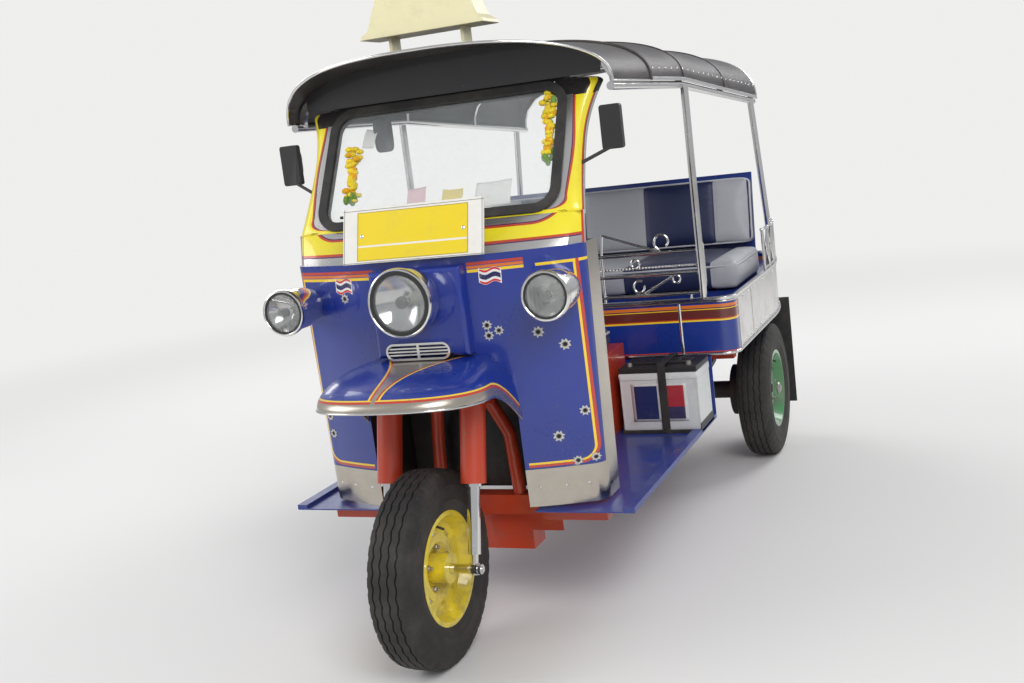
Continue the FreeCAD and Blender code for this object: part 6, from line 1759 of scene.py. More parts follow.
@dataclass
class Wheels:
    """The steered front wheel and the two rear wheels."""

    track_half: float = 0.542
    rear_station: float = 0.921
    rear_radius: float = 0.272

    def build(self) -> None:
        """Tyre and fittings of each wheel."""
        hub_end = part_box("rear_rim_left")[1][0] - self.track_half
        rear = (self.rear_station, self.rear_radius, hub_end)
        for wheel in (Wheel("front", Body.FRONT_WHEEL), Wheel("left", Body.REAR_LEFT, self.track_half, *rear, 1.0),
                      Wheel("right", Body.REAR_RIGHT, -self.track_half, *rear, -1.0)):
            wheel.tyre()
            wheel.fittings()


ROOF_CLOTH = CoatedCloth("roof_cloth", (0.024, 0.019, 0.019), 0.30)
VISOR_SKIN = CoatedCloth("visor_skin", (0.022, 0.018, 0.018), 0.26)
SIGN_CREAM = Plastic("sign_cream", (0.80, 0.74, 0.46), 0.32, 0.35, slot="cream_plastic")


@dataclass
class Roof:
    """Coated cloth over bent tubes, a stiff visor ahead of it, bright edges and the blank sign."""

    # row's y, half width, side edge and crown of the roof's sections
    sections: tuple[tuple[float, float, float, float], ...] = (
        (-0.928, 0.526, 1.535, 1.685), (0.067, 0.533, 1.536, 1.708), (1.294, 0.539, 1.462, 1.684))
    power: float = 2.55
    split: float = -0.326
    tip: float = -0.706
    peak: float = -0.908
    brow_half: float = 0.530
    ribs: tuple[float, ...] = (-0.316, 0.067, 0.6805, 1.284)
    wall: float = 0.0035
    lift: float = 0.0012

    def arch(self, y: Number, angle: Number, grow: float = 0.0) -> Array:
        """Points of the roof: a superellipse whose size runs straight from section to section.

        Args:
            y: of each point.
            angle: of each point, 0 at the left edge and half a turn at the right.
            grow: how much larger the arch is.

        Returns:
            The points, in the shape that y and the angle have together.
        """
        stations, *rows = np.array(self.sections).T
        half, edge, crown = (np.interp(y, stations, row) for row in rows)
        x = (half + grow) * signed(np.cos(angle), 2 / self.power)
        z = edge + (crown + grow - edge) * np.abs(np.sin(angle)) ** (2 / self.power)
        return np.stack(np.broadcast_arrays(x, y, z), -1)

    def columns(self) -> Array:
        """Angles closer together at the sides, where the arch turns sharply."""
        return math.pi / 2 * (1 - signed(np.linspace(-1, 1, 81), 0.75))

    def canopy(self) -> None:
        """One sheet stretched over the hoops: it sinks as a squared sine between them and rises at its seams."""
        y, angle = np.linspace(self.split + 0.0005, 1.2935, 150), self.columns()
        rows = self.arch(y[:, None], angle, self.lift)
        bays = np.array(self.ribs)
        bay = np.clip(np.searchsorted(bays, y) - 1, 0, len(bays) - 2)
        share = np.clip((y - bays[bay]) / (bays[bay + 1] - bays[bay]), 0, 1)[:, None]
        sink = 0.0075 * np.sin(share * math.pi) ** 2
        ripple = 0.0007 * np.sin(angle * 34) * np.exp(-((share - 0.06) / 0.07) ** 2)
        seam = sum(0.0018 * np.exp(-((y - rib) / 0.008) ** 2) + 0.0012 * np.exp(-((y - rib - 0.030) / 0.003) ** 2)
                   for rib in self.ribs[1:3])[:, None]
        rows[..., 2] += (seam - sink + ripple) * np.sin(angle) ** 0.8
        piece = Mould("canopy_sheet").grid(rows[:, ::-1]).made([ROOF_CLOTH], 60.0, wall=self.wall)
        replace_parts(piece, "roof_canopy")

    def visor(self) -> None:
        """Stiff brow: the arch cut ahead by a circle through its peak and tips, with a rolled edge."""
        bow = self.tip - self.peak
        radius = (self.brow_half ** 2 + bow * bow) / (2 * bow)
        angle, share = self.columns(), np.linspace(0, 1, 46)[:, None]
        across = self.arch(-0.8, angle)[:, 0]
        front = np.minimum(self.peak + radius - np.sqrt(np.maximum(radius ** 2 - across ** 2, 0)), self.tip)
        rows = self.arch(front + (self.split - 0.0008 - front) * share, angle)
        rows[..., 2] -= 0.004 * np.sin(share * math.pi) ** 2 * np.sin(angle)
        piece = Mould("visor_brow").grid(rows[:, ::-1]).made([VISOR_SKIN], 60.0, wall=0.005)
        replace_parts(piece, "roof_visor")
        trim = Mould("visor_trim").tube(rows[0] - (0, 0, 0.0022), 0.0042, 12)
        for side in (0, -1):
            trim.tube(rows[:, side] + (0, 0, 0.001), 0.004, 10, up=ACROSS)
        trim.made([CHROME], 60.0)

    def edging(self) -> None:
        """Bright moulding along both sides, a hem bead at the back and a row of studs above each side."""
        mould, studs = Mould("roof_moulding"), Mould("roof_studs")
        for sign, start in ((1, 0.0), (-1, math.pi)):
            line = self.arch(np.linspace(self.split, 1.292, 90), start, self.lift)
            mould.tube(line + (sign * 0.001, 0.0, 0.006), 0.0062, 12, up=ACROSS, flat=0.45)
            for spot in self.arch(np.linspace(self.split + 0.05, 1.26, 22), start + sign * 0.16, self.lift):
                studs.lathe([(0.0, 0.0038), (0.0012, 0.0034), (0.0024, 0.0018)], spot, (sign * 0.93, 0.0, 0.36), 10)
        mould.tube(self.arch(1.2925, self.columns(), self.lift) - (0, 0, 0.002), 0.0045, 12, up=AHEAD)
        mould.made([CHROME], 60.0)
        studs.made([CHROME], 60.0)

    def seams(self) -> None:
        """Piped joint between brow and canopy, and welts over the hoops."""
        mould = Mould("roof_welts")
        for y, size in ((self.split, 0.0055), (self.ribs[1], 0.0035), (self.ribs[2], 0.0035)):
            line = self.arch(y, self.columns(), self.lift) + (0, 0, 0.0008)
            mould.tube(line, size, 10, up=AHEAD, flat=0.7)
        mould.made([VISOR_SKIN], 60.0)

    def sign(self) -> None:
        """The blank sign and its bracket's bolts."""
        refined("roof_sign", "sign_box", SIGN_CREAM, 0.003)
        low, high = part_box("roof_sign")
        mould = Mould("sign_bolts")
        for x, dy in ((-0.115, -0.03), (-0.115, 0.03), (0.115, -0.03), (0.115, 0.03)):
            spot = (x, (low[1] + high[1]) / 2 + dy, 1.7405)
            mould.lathe([(0.0, 0.006), (0.004, 0.006), (0.0055, 0.004)], spot, UP, 6)
        mould.made([CHROME], 30.0)

    def build(self) -> None:
        """All pieces of the roof."""
        self.canopy()
        self.visor()
        self.edging()
        self.seams()
        self.sign()
        refined("roof_frame", "roof_tubes", CHROME, 0.0)


GREY_VINYL: Colour = (0.40, 0.41, 0.44)
PIPING = Vinyl("grey_piping", (0.42, 0.43, 0.46), (), 0.40)
SEAT_BLUE: Colour = (0.010, 0.016, 0.060)
CASE_WHITE = Plastic("battery_case", (0.66, 0.67, 0.66), 0.42, 0.5)
LEAD = BrushedSheet("lead_terminal", (0.30, 0.29, 0.28), (40.0, 40.0, 40.0), 0.55, 0.8)
MIRROR_FACE = Chrome("mirror_face", (0.80, 0.80, 0.80), 0.02, 0.0, "mirror_face")


def superbox(low: Array, high: Array, cell: float, corner: float) -> tuple[Array, Array]:
    """A closed box of even quads with rounded edges.

    Points of six flat grids are pulled on to a rounded box: each is clamped to the box less its
    corner radius, and then set that radius away from the clamped point.

    Args:
        low: lowest corner.
        high: highest corner.
        cell: about the size of a quad.
        corner: radius of its edges.

    Returns:
        Points and quads, with doubles along the twelve edges.
    """
    points, faces, total = [], [], 0
    for axis in range(3):
        u, v = (axis + 1) % 3, (axis + 2) % 3
        lines = [np.linspace(low[k], high[k], max(4, int((high[k] - low[k]) / cell)) + 1) for k in (u, v)]
        gu, gv = np.meshgrid(*lines, indexing="ij")
        for end in (low[axis], high[axis]):
            grid = np.zeros(gu.shape + (3,))
            grid[..., axis], grid[..., u], grid[..., v] = end, gu, gv
            faces.append(cells(np.arange(gu.size).reshape(gu.shape) + total))
            points.append(grid.reshape(-1, 3))
            total += gu.size
    p = np.vstack(points)
    core = np.clip(p, low + corner, high - corner)
    return core + unit(p - core) * corner, np.vstack(faces)


def points_of(mesh: bpy.types.Mesh) -> Array:
    """Places of a mesh's points, one row each.

    Args:
        mesh: the mesh.

    Returns:
        The places.
    """
    found = np.empty(len(mesh.vertices) * 3)
    mesh.vertices.foreach_get("co", found)
    return found.reshape(-1, 3)


def move_points(mesh: bpy.types.Mesh, places: Array) -> None:
    """Sets the places of a mesh's points."""
    mesh.vertices.foreach_set("co", places.ravel())
    mesh.update()


@dataclass
class Cushion:
    """A sewn cushion: blown up by a cloth simulation, then drawn in along its seams.

    Seams run front to back at the given places across; the simulation holds the points near them.
    """

    node: str
    name: str
    seams: tuple[float, ...]
    stripes: tuple[Stripe, ...]
    cap: float = 0.024
    cell: float = 0.012
    corner: float = 0.020
    inset: float = 0.007
    channel: float = 0.0055
    lean: float = 0.0
    face: int = 2
    fill: float = 0.7
    # thickness and height before it leans, for a cushion that does
    upright: tuple[float, float] = (0.095, 0.268)
    frames: int = 20
    seam_width: float = 0.0065
    welt_level: float = 0.018

    def box(self) -> tuple[Array, Array]:
        """Corners of the cushion before it leans, a little inside its CAD solid.

        Returns:
            The lowest and the highest corner.
        """
        low, high = (np.array(v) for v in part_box(self.node))
        if self.lean:
            middle, half = (low + high) / 2, (high - low) / 2
            half[1:] = np.array(self.upright) / 2
            low, high = middle - half, middle + half
        return low + self.inset, high - self.inset

    def turned(self, points: Array) -> Array:
        """The points leaned back about the cushion's middle.

        Args:
            points: one row each.

        Returns:
            The leaned points.
        """
        low, high = (np.array(v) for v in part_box(self.node))
        c, s = slant(-self.lean)
        x, y, z = (points - (low + high) / 2).T
        return (low + high) / 2 + np.stack([x, y * c - z * s, y * s + z * c], 1)

    def blow_up(self, piece: Piece) -> None:
        """Cloth with inner pressure; seams and the rim opposite the sitter are held.

        Args:
            piece: the cushion, whose points are moved by at most the cap.
        """
        start = points_of(piece.data)
        low, high = self.box()
        held = start[:, 2] < low[2] + 0.004 if self.face == 2 else start[:, 1] > high[1] - 0.004
        for x in self.seams:
            held |= np.abs(start[:, 0] - x) < self.cell * 0.6
        group = piece.vertex_groups.new(name="held")
        group.add([int(i) for i in np.nonzero(held)[0]], 1.0, "REPLACE")
        cloth = piece.modifiers.new("cloth", "CLOTH")
        cloth.settings.quality = 5
        cloth.settings.use_pressure = True
        cloth.settings.uniform_pressure_force = 4.0
        cloth.settings.vertex_group_mass = "held"
        cloth.settings.effector_weights.gravity = 0.0
        cloth.point_cache.frame_start, cloth.point_cache.frame_end = 1, self.frames
        scene = bpy.context.scene
        for frame in range(1, self.frames + 1):
            scene.frame_set(frame)
        shift = points_of(piece.evaluated_get(bpy.context.evaluated_depsgraph_get()).data) - start
        piece.modifiers.remove(cloth)
        scene.frame_set(1)
        reach = np.linalg.norm(shift, axis=1, keepdims=True)
        move_points(piece.data, start + shift * np.minimum(1.0, self.cap / np.maximum(reach, 1e-9)))

    def crown(self, points: Array) -> Array:
        """Args:
            points: one row each; they are raised in place.

        Returns:
            The same points.
        """
        low, high = self.box()
        share = np.clip((points - low) / (high - low), 0, 1)
        other = 1 if self.face == 2 else 2
        rise = np.sin(math.pi * share[:, 0]) ** 0.4 * np.sin(math.pi * share[:, other]) ** 0.6
        height = share[:, 2] if self.face == 2 else share[:, 1] - 1
        points[:, self.face] += 0.007 * rise * height
        return points

    def sew(self, piece: Piece) -> None:
        """Draws the surface in along each seam as a narrow bell, with small puckers either side.

        Args:
            piece: the cushion.
        """
        p = points_of(piece.data)
        normals = np.empty(p.size)
        piece.data.vertex_normals.foreach_get("vector", normals)
        along = p[:, 1] if self.face == 2 else p[:, 2]
        depth = np.zeros(len(p))
        for index, x in enumerate(self.seams):
            near = np.abs(p[:, 0] - x)
            depth += self.channel * np.exp(-(near / self.seam_width) ** 2)
            depth += 0.0008 * np.sin(along * 260 + index) * np.exp(-((near - 0.016) / 0.010) ** 2)
        p -= normals.reshape(-1, 3) * depth[:, None]
        if not self.lean:
            low, high = (np.array(v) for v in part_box(self.node))
            p = np.clip(p, low - (0.004, 0.004, -0.0005), high + 0.012)
        move_points(piece.data, self.turned(p))

    def piping(self) -> None:
        """A welt round the cushion's edge, at a level of the side that faces the sitter."""
        low, high = self.box()
        middle, half = (low + high) / 2, (high - low) / 2 - 0.001
        other, level = (1, high[2] - self.welt_level) if self.face == 2 else (2, low[1] + self.welt_level)
        p = np.zeros((220, 3))
        p[:, 0], p[:, other] = oval(220, half[0], half[other], 0.09)
        p += middle
        p = even(np.vstack([p, p[:1]]), 221)[:-1]
        p[:, self.face] = level
        welt = Mould(self.name + "_piping").tube(self.turned(p), 0.0042, 8, closed=True,
                                                 up=UP if self.face == 2 else AHEAD)
        welt.made([PIPING], 60.0)

    def build(self) -> None:
        mould = Mould(self.name).add(*superbox(*self.box(), self.cell, self.corner))
        piece = mould.made([Vinyl(self.name + "_vinyl", SEAT_BLUE, self.stripes)], 80.0)
        self.blow_up(piece)
        self.sew(piece)
        subdivision = piece.modifiers.new("smooth", "SUBSURF")
        subdivision.levels = subdivision.render_levels = 1
        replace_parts(piece, self.node)
        self.piping()


@dataclass
class Seats:
    """Bench, backrest and driver's cushion in dark blue with grey panels."""

    def build(self) -> None:
        """Three cushions."""
        bench = (0.14, 0.48)
        rest = (0.129, 0.419, 0.555)
        panels = (Stripe("side", 0.0, 2 * bench[0], GREY_VINYL), Stripe("side", 0.545, 0.13, GREY_VINYL))
        columns = (Stripe("side", 0.0, 2 * rest[0], GREY_VINYL),
                   Stripe("side", (rest[1] + rest[2]) / 2, rest[2] - rest[1], GREY_VINYL))
        Cushion("seat_cushion", "bench_pad", tuple(s * x for x in bench for s in (1, -1)), panels).build()
        Cushion("seat_back", "back_pad", tuple(s * x for x in rest[:2] for s in (1, -1)), columns, lean=8.0,
                face=1, cap=0.020, inset=0.006).build()
        Cushion("driver_cushion", "driver_pad", (0.0,), (), cap=0.018, cell=0.009, fill=0.6).build()


@dataclass
class Tub:
    """Painted panels with their bands, bright sides, cap, edge beads, seams, rails and lattices."""

    half: float = 0.635
    front: float = 0.060
    rear: float = 1.349
    waist: float = 0.804
    tail: float = 0.560
    front_corner: float = 0.048
    rear_corner: float = 0.110
    bottom: float = 0.600
    top: float = 0.788
    cap_top: float = 0.800
    post_y: float = 0.067
    rail_end: float = 0.5205
    rail_height: float = 0.164
    rail_radius: float = 0.0065
    thin: float = 0.0042

    def plan(self, z: float, grow: float = 0.0) -> Array:
        """The tub's outline: quarter circles at the corners and sides that draw in as a parabola.

        Args:
            z: its level.
            grow: how far outside the walls it lies.

        Returns:
            The closed line's points.
        """
        fc, rc = self.front_corner, self.rear_corner
        a = np.linspace(0, math.pi / 2, 12)
        front = np.stack([self.half - fc + fc * np.sin(a), self.front + fc - fc * np.cos(a)], 1)
        y = np.linspace(self.waist, self.rear - rc, 26)
        t = (y - self.waist) / (y[-1] - self.waist)
        side = np.stack([self.half - (self.half - self.tail) * (0.12 * t + 0.88 * t * t), y], 1)
        rear = np.stack([self.tail - rc + rc * np.cos(a), self.rear - rc + rc * np.sin(a)], 1)
        right = np.vstack([front, side, rear])
        line = np.vstack([right, right[::-1] * np.array([-1, 1])])
        line = even(np.vstack([line, line[:1]]), 401)[:-1]
        ahead = unit(np.roll(line, -1, 0) - np.roll(line, 1, 0))
        line = line + np.stack([ahead[:, 1], -ahead[:, 0]], 1) * grow
        return np.column_stack([line, np.full(len(line), z)])

    def paint(self) -> Paint:
        """Blue below; orange, dark red and yellow bands under the cap.

        Returns:
            The finish.
        """
        return Paint("tub_blue", (0.006, 0.030, 0.235), (
            Stripe("z", 0.7425, 0.040, (0.13, 0.018, 0.014)), Stripe("z", 0.769, 0.011, ORANGE),
            Stripe("z", 0.758, 0.003, AMBER), Stripe("z", 0.7195, 0.006, AMBER),
            Stripe("z", 0.7250, 0.003, LINE_RED), Stripe("z", 0.6085, 0.004, LINE_RED)), chips=0.45)

    def beads(self) -> None:
        """Bright bead under the walls, one under the cap, and strips over the panel joints."""
        mould = Mould("tub_beads")
        mould.tube(self.plan(self.bottom + 0.002, 0.0015), 0.0055, 10, closed=True)
        mould.tube(self.plan(self.top - 0.004, 0.0008), 0.0032, 8, closed=True)
        height = self.top - self.bottom - 0.012
        rise = self.bottom + 0.006 + height * np.linspace(0, 1, 6)
        ends = [(x, self.front - 0.0005, 0.005, AHEAD) for x in (-0.445, 0.445)]
        sides = [(sign * (self.half + 0.0005), y, 0.0045, ACROSS) for sign in (1, -1) for y in (0.139, 0.375)]
        for x, y, radius, up in ends + sides:
            mould.tube(np.stack([(x, y, z) for z in rise]), radius, 10, up=up, flat=0.5)
        mould.made([CHROME], 50.0)

    def studs(self) -> None:
        """Small domed screws along the bright sides, near their lower and upper edges."""
        mould = Mould("tub_studs")
        line = self.plan(0.0)
        for level in (0.618, 0.772):
            for k in range(0, 400, 8):
                x, y, _ = line[k]
                if 0.16 < y < 1.22:
                    ahead = unit(line[(k + 1) % 400] - line[k - 1])
                    mould.lathe([(0.0, 0.0042), (0.0013, 0.0036), (0.0026, 0.0018)], (x, y, level),
                                (ahead[1], -ahead[0], 0.0), 10)
        mould.made([CHROME], 60.0)

    def curl(self, mould: Mould, centre: Spot, radius: float, start: float, turn: float,
             sign: float) -> None:
        """A scroll of round bar: its radius shrinks evenly by a third along the turn.

        Args:
            mould: takes the bar.
            centre: of the turn.
            radius: where it starts.
            start: first angle, in degrees.
            turn: degrees from there to its end.
            sign: 1 on the left and -1, mirrored, on the right.
        """
        t = np.linspace(0, 1, 40)
        angle = np.radians(start + turn * t)
        r = radius * (1 - 0.32 * t)
        x = centre[0] + r * np.cos(angle)
        path = np.stack([sign * x, np.full(40, centre[1]), centre[2] + r * np.sin(angle)], 1)
        mould.tube(path, self.thin, 10, up=AHEAD)

    def partition(self) -> None:
        """Rails between the front posts: round bars, a twisted one, uprights, curls and slants."""
        end, y, foot, tall = self.rail_end, self.post_y, self.cap_top, self.rail_height
        mould = Mould("partition_bars")
        for rise in (0.104, 0.543, 1.0):
            mould.rod((-end, y, foot + rise * tall), (end, y, foot + rise * tall), self.rail_radius)
        x = np.linspace(-end, end, 520)
        for phase in (0.0, math.pi):
            twist = x * 260.0 + phase
            path = np.stack([x, y + 0.0026 * np.sin(twist), foot + 0.701 * tall + 0.0026 * np.cos(twist)], 1)
            mould.tube(path, 0.0026, 6)
        for sign in (1, -1):
            for share, rise in ((0.345, 1.0), (0.944, 0.104)):
                mould.rod((sign * share * end, y, foot), (sign * share * end, y, foot + rise * tall), 0.0055)
            for share, rise, radius, start, turn in ((0.777, 1.232, 0.183, 250, -300), (0.576, 0.799, 0.110, 270, 330),
                                                     (0.595, 0.293, 0.146, 60, 320), (0.850, 0.415, 0.098, 90, -300)):
                self.curl(mould, (share * end, y, foot + rise * tall), radius * tall, start, turn, sign)
            for near, far in (((0.618, 0.134), (0.845, 0.512)), ((0.365, 1.463), (0.758, 1.024)),
                              ((0.345, 0.945), (0.365, 1.482))):
                a, b = ((sign * share * end, y, foot + rise * tall) for share, rise in (near, far))
                mould.rod(a, b, self.thin)
        piece = mould.made([CHROME], 50.0)
        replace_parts(piece, "partition_rails")

    def lattice(self) -> None:
        """Round-bar railings beside the bench, crossed in each bay, with a ball on each post."""
        mould = Mould("lattice_bars")
        low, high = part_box("side_lattices")
        front, rear, bays = low[1] + 0.006, high[1] - 0.006, 4
        stations = front + (rear - front) * np.arange(bays + 1) / bays
        t = np.clip((stations - self.waist) / (self.rear - self.rear_corner - self.waist), 0, 1)
        halves = self.half - (self.half - self.tail) * (0.12 * t + 0.88 * t * t) - 0.002
        foot, head = low[2] + 0.006, high[2] - 0.006
        for sign in (1, -1):
            feet = [np.array([sign * h, y, foot]) for h, y in zip(halves, stations)]
            heads = [p + np.array([0, 0, head - foot]) for p in feet]
            for p, q in zip(feet, heads):
                mould.rod(p - np.array([0, 0, 0.006]), q, 0.0058)
                mould.lathe([(-0.008, 0.004), (-0.004, 0.0075), (0.0, 0.009), (0.004, 0.0075), (0.0058, 0.004)], q,
                            UP, 16)
            for a, b, c, d in zip(feet, feet[1:], heads, heads[1:]):
                for start, end, radius, count in ((a, b, 0.0050, 14), (c, d, 0.0050, 14), (a, d, 0.0036, 10),
                                                  (b, c, 0.0036, 10)):
                    mould.rod(start, end, radius, count)
                mould.lathe([(-0.005, 0.006), (-0.003, 0.010), (0.003, 0.010), (0.005, 0.006)], (a + d) / 2,
                            ACROSS, 20)
        piece = mould.made([CHROME], 50.0)
        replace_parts(piece, "side_lattices")

    def grabs(self) -> None:
        """Bent handle on each front post."""
        mould = Mould("grab_handles")
        for x in (0.530, -0.530):
            path = bent([(x, 0.080, 0.830), (x, 0.125, 0.830), (x, 0.125, 0.985), (x, 0.080, 0.985)], 0.03)
            mould.tube(path, 0.0065, 12, up=ACROSS)
        mould.made([CHROME], 50.0)

    def build(self) -> None:
        """All pieces of the tub."""
        refined("tub_panels", "tub_front_and_rear", self.paint(), 0.0006)
        refined("tub_sides", "tub_bright_sides", STAINLESS, 0.0006)
        refined("tub_cap", "tub_rail", CHROME, 0.0022)
        self.beads()
        self.studs()
        self.partition()
        self.lattice()
        self.grabs()


@dataclass
class Battery:
    """White ribbed case in its tray, with a black lid, strap, plugs, terminals and a blank label."""

    inner: float = 0.270
    outer: float = 0.536
    front: float = -0.1455
    rear: float = 0.0255
    base: float = 0.388
    top: float = 0.585
    lid_top: float = 0.612
    tray_top: float = 0.410
    floor: float = 0.3875

    def middle(self) -> Array:
        """Middle of the plan."""
        return np.array([(self.inner + self.outer) / 2, (self.front + self.rear) / 2])

    def slab(self, mould: Mould, grow: Sequence[float], low: float, high: float) -> None:
        """A box over the plan between two levels.

        Args:
            mould: takes the box.
            grow: how far it stands out on the inner, front, outer and rear side.
            low: its bottom.
            high: its top.
        """
        inner, front, outer, rear = grow
        mould.block((self.inner - inner, self.front - front, low), (self.outer + outer, self.rear + rear, high))

    def case(self) -> None:
        """Case with its ribs: the plan's outline swings in and out as a rounded square wave."""
        count, middle = 480, self.middle()
        line = np.array([(self.inner, self.front), (self.outer, self.front), (self.outer, self.rear),
                         (self.inner, self.rear), (self.inner, self.front)])
        line = even(line, count + 1)[:-1]
        ahead = unit(np.roll(line, -1, 0) - np.roll(line, 1, 0))
        out = np.stack([ahead[:, 1], -ahead[:, 0]], 1)
        across, along = np.abs(line - middle).T
        plain = ((across < 0.104) | (along > 0.078)) & (across < 0.128)
        wave = np.tanh(3.0 * np.sin(ring(count) * count / 12)) * 0.0016 * ~plain
        levels = [(self.base, 0.0, 0.0), (self.base + 0.004, 0.0015, 0.2), (self.base + 0.012, 0.0015, 1.0),
                  (self.top - 0.030, 0.0015, 1.0), (self.top - 0.024, 0.0015, 0.0), (self.top - 0.022, 0.0040, 0.0),
                  (self.top - 0.004, 0.0040, 0.0), (self.top, 0.0, 0.0)]
        loops = [np.column_stack([line + out * (grow + wave[:, None] * share), np.full(count, z)])
                 for z, grow, share in levels]
        Mould("battery_box").skin(loops).made([CASE_WHITE], 50.0)

    def tray_and_lid(self) -> None:
        """Black tray with two side lips, and the lid with its raised middle."""
        tray = Mould("battery_tray")
        self.slab(tray, (0.006, 0.006, 0.004, 0.006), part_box("battery")[0][2], self.floor)
        for x in (self.inner - 0.004, self.outer + 0.0005):
            tray.block((x, self.front - 0.004, self.floor), (x + 0.0030, self.rear + 0.004, self.tray_top))
        tray.made([UNDER_BLACK], 30.0, bevel=0.001)
        lid = Mould("battery_lid")
        self.slab(lid, (0.003,) * 4, self.top + 0.0003, self.lid_top - 0.008)
        self.slab(lid, (-0.030, -0.05, -0.030, -0.05), self.lid_top - 0.009, self.lid_top)
        piece = lid.made([DARK_PLASTIC], 30.0, bevel=0.004)
        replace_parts(piece, "battery")

    def plugs(self) -> None:
        """Six plugs in a row and two lead terminals."""
        caps = Mould("battery_plugs")
        for x in np.linspace(self.inner + 0.055, self.outer - 0.055, 6):
            caps.lathe([(0.0, 0.0095), (0.004, 0.0095), (0.0052, 0.008)], (x, self.middle()[1], self.lid_top), UP, 24)
        for x in (self.inner + 0.030, self.outer - 0.030):
            caps.lathe([(0.0, 0.010), (0.012, 0.0085), (0.0135, 0.007)], (x, self.front + 0.030, self.lid_top - 0.009),
                       UP, 24, slot=1)
        caps.made([DARK_PLASTIC, LEAD], 40.0)

    def strap(self) -> None:
        """Black strap over the lid and down both sides."""
        strap, x = Mould("battery_strap"), self.middle()[0]
        y0, y1, high = self.front - 0.0075, self.rear + 0.0075, self.lid_top
        for near, far, low, top in ((y0, y0 + 0.003, 0.392, high + 0.003), (y1 - 0.003, y1, 0.392, high + 0.003),
                                    (y0, y1, high + 0.0005, high + 0.0035)):
            strap.block((x + 0.002, near, low), (x + 0.030, far, top))
        strap.made([BLACK_RUBBER], 30.0, bevel=0.001)

    def label(self) -> None:
        """Blank label with three plain colour fields."""
        x, low, high = self.middle()[0], self.base + 0.030, self.top - 0.036
        u, v = np.meshgrid(np.linspace(x - 0.096, x + 0.096, 12), np.linspace(low, high, 12))
        fields = Plastic("label_print", (0.62, 0.62, 0.60), 0.35, 0.3, tuple(
            Stripe("x", x + centre, width, colour, (Window("z", foot, head),))
            for centre, width, colour, foot, head in (
                (-0.046, 0.080, (0.02, 0.03, 0.12), low + 0.008, high - 0.008),
                (0.047, 0.078, (0.42, 0.03, 0.04), low + 0.050, high - 0.008),
                (0.047, 0.078, (0.05, 0.04, 0.10), low + 0.008, low + 0.050))))
        sheet = Mould("battery_label").grid(np.stack([u, np.full_like(u, self.front - 0.0022), v], -1))
        sheet.made([fields], 60.0, wall=0.0008)

    def build(self) -> None:
        """All pieces of the battery."""
        self.case()
        self.tray_and_lid()
        self.plugs()
        self.strap()
        self.label()


@dataclass
class Mirrors:
    """Door mirrors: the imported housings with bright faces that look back."""

    inset: float = 0.036
    rise: float = 0.022

    def build(self) -> None:
        """Housings with a rounded glass set on the rear of each."""
        refined("mirrors", "mirror_shells", DARK_PLASTIC, 0.0)
        low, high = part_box("mirrors")
        tree, mould = solid_tree("mirrors"), Mould("mirror_glass")
        x, z = oval(40, 0.026, 0.040, 0.5)
        for sign in (1, -1):
            centre = (sign * (high[0] - self.inset), 0.5, (low[2] + high[2]) / 2 + self.rise)
            spot, _, _, _ = tree.ray_cast(Vector(centre), Vector((0, -1, 0)))
            if spot:
                mould.skin([np.stack([centre[0] + x * k, np.full(40, spot.y + dy), centre[2] + z * k], 1)
                            for k, dy in ((1.0, -0.001), (1.0, 0.0012), (0.97, 0.0018))])
        mould.made([MIRROR_FACE], 40.0)


BLUE = Paint("blue_paint", DEEP_BLUE)
RIM_YELLOW = Paint("rim_yellow", (0.80, 0.62, 0.02), chips=1.0, dust=0.8, slot="rim_yellow")
RIM_GREEN = Paint("rim_green", (0.05, 0.27, 0.09), chips=1.0, dust=0.8, slot="green_paint")
CASTING = Casting("oily_casting")
HOT_STEEL = Casting("hot_steel", (0.12, 0.095, 0.075), 0.5, 0.9, "exhaust_steel")
RED_LENS = Lens("red_lens")


@dataclass
class PlainPieces:
    """CAD pieces whose shape is right: merged, rounded at their edges and finished."""

    table: tuple[tuple[str, Finish, float], ...] = (
        ("chassis_frame", RED, 0.0015), ("dashboard", DARK_PLASTIC, 0.002), ("driver_box", RED, 0.001),
        ("engine", CASTING, 0.003), ("exhaust", HOT_STEEL, 0.0), ("footboard", FLOOR_BLUE, 0.0008),
        ("fork_sliders", CHROME, 0.0006), ("fork_upper", RED, 0.0012), ("front_axle", CHROME, 0.0006),
        ("front_rim", RIM_YELLOW, 0.0), ("handlebar", UNDER_BLACK, 0.0), ("leaf_springs", UNDER_BLACK, 0.0006),
        ("mud_flaps", BLACK_RUBBER, 0.001), ("nose_grille", CHROME, 0.0), ("rear_axle", CASTING, 0.0),
        ("rear_bumper", CHROME, 0.0), ("rear_rim_left", RIM_GREEN, 0.0), ("rear_rim_right", RIM_GREEN, 0.0),
        ("seat_box", BLUE, 0.0008), ("tail_lamps", RED_LENS, 0.001), ("tub_floor", FLOOR_BLUE, 0.0),
        ("wheel_well", UNDER_BLACK, 0.0008))

    def build(self) -> None:
        """Makes one piece for each row."""
        for node, finish, bevel in self.table:
            refined(node, node + "_dressed", finish, bevel)


def assemblies() -> list[object]:
    """Every sub-assembly, in building order."""
    return [PlainPieces(), Cowl(), Mudguard(), Headlamps(), NumberPlate(), Windscreen(), Wheels(), Roof(),
            Tub(), Battery(), Mirrors(), Seats()]


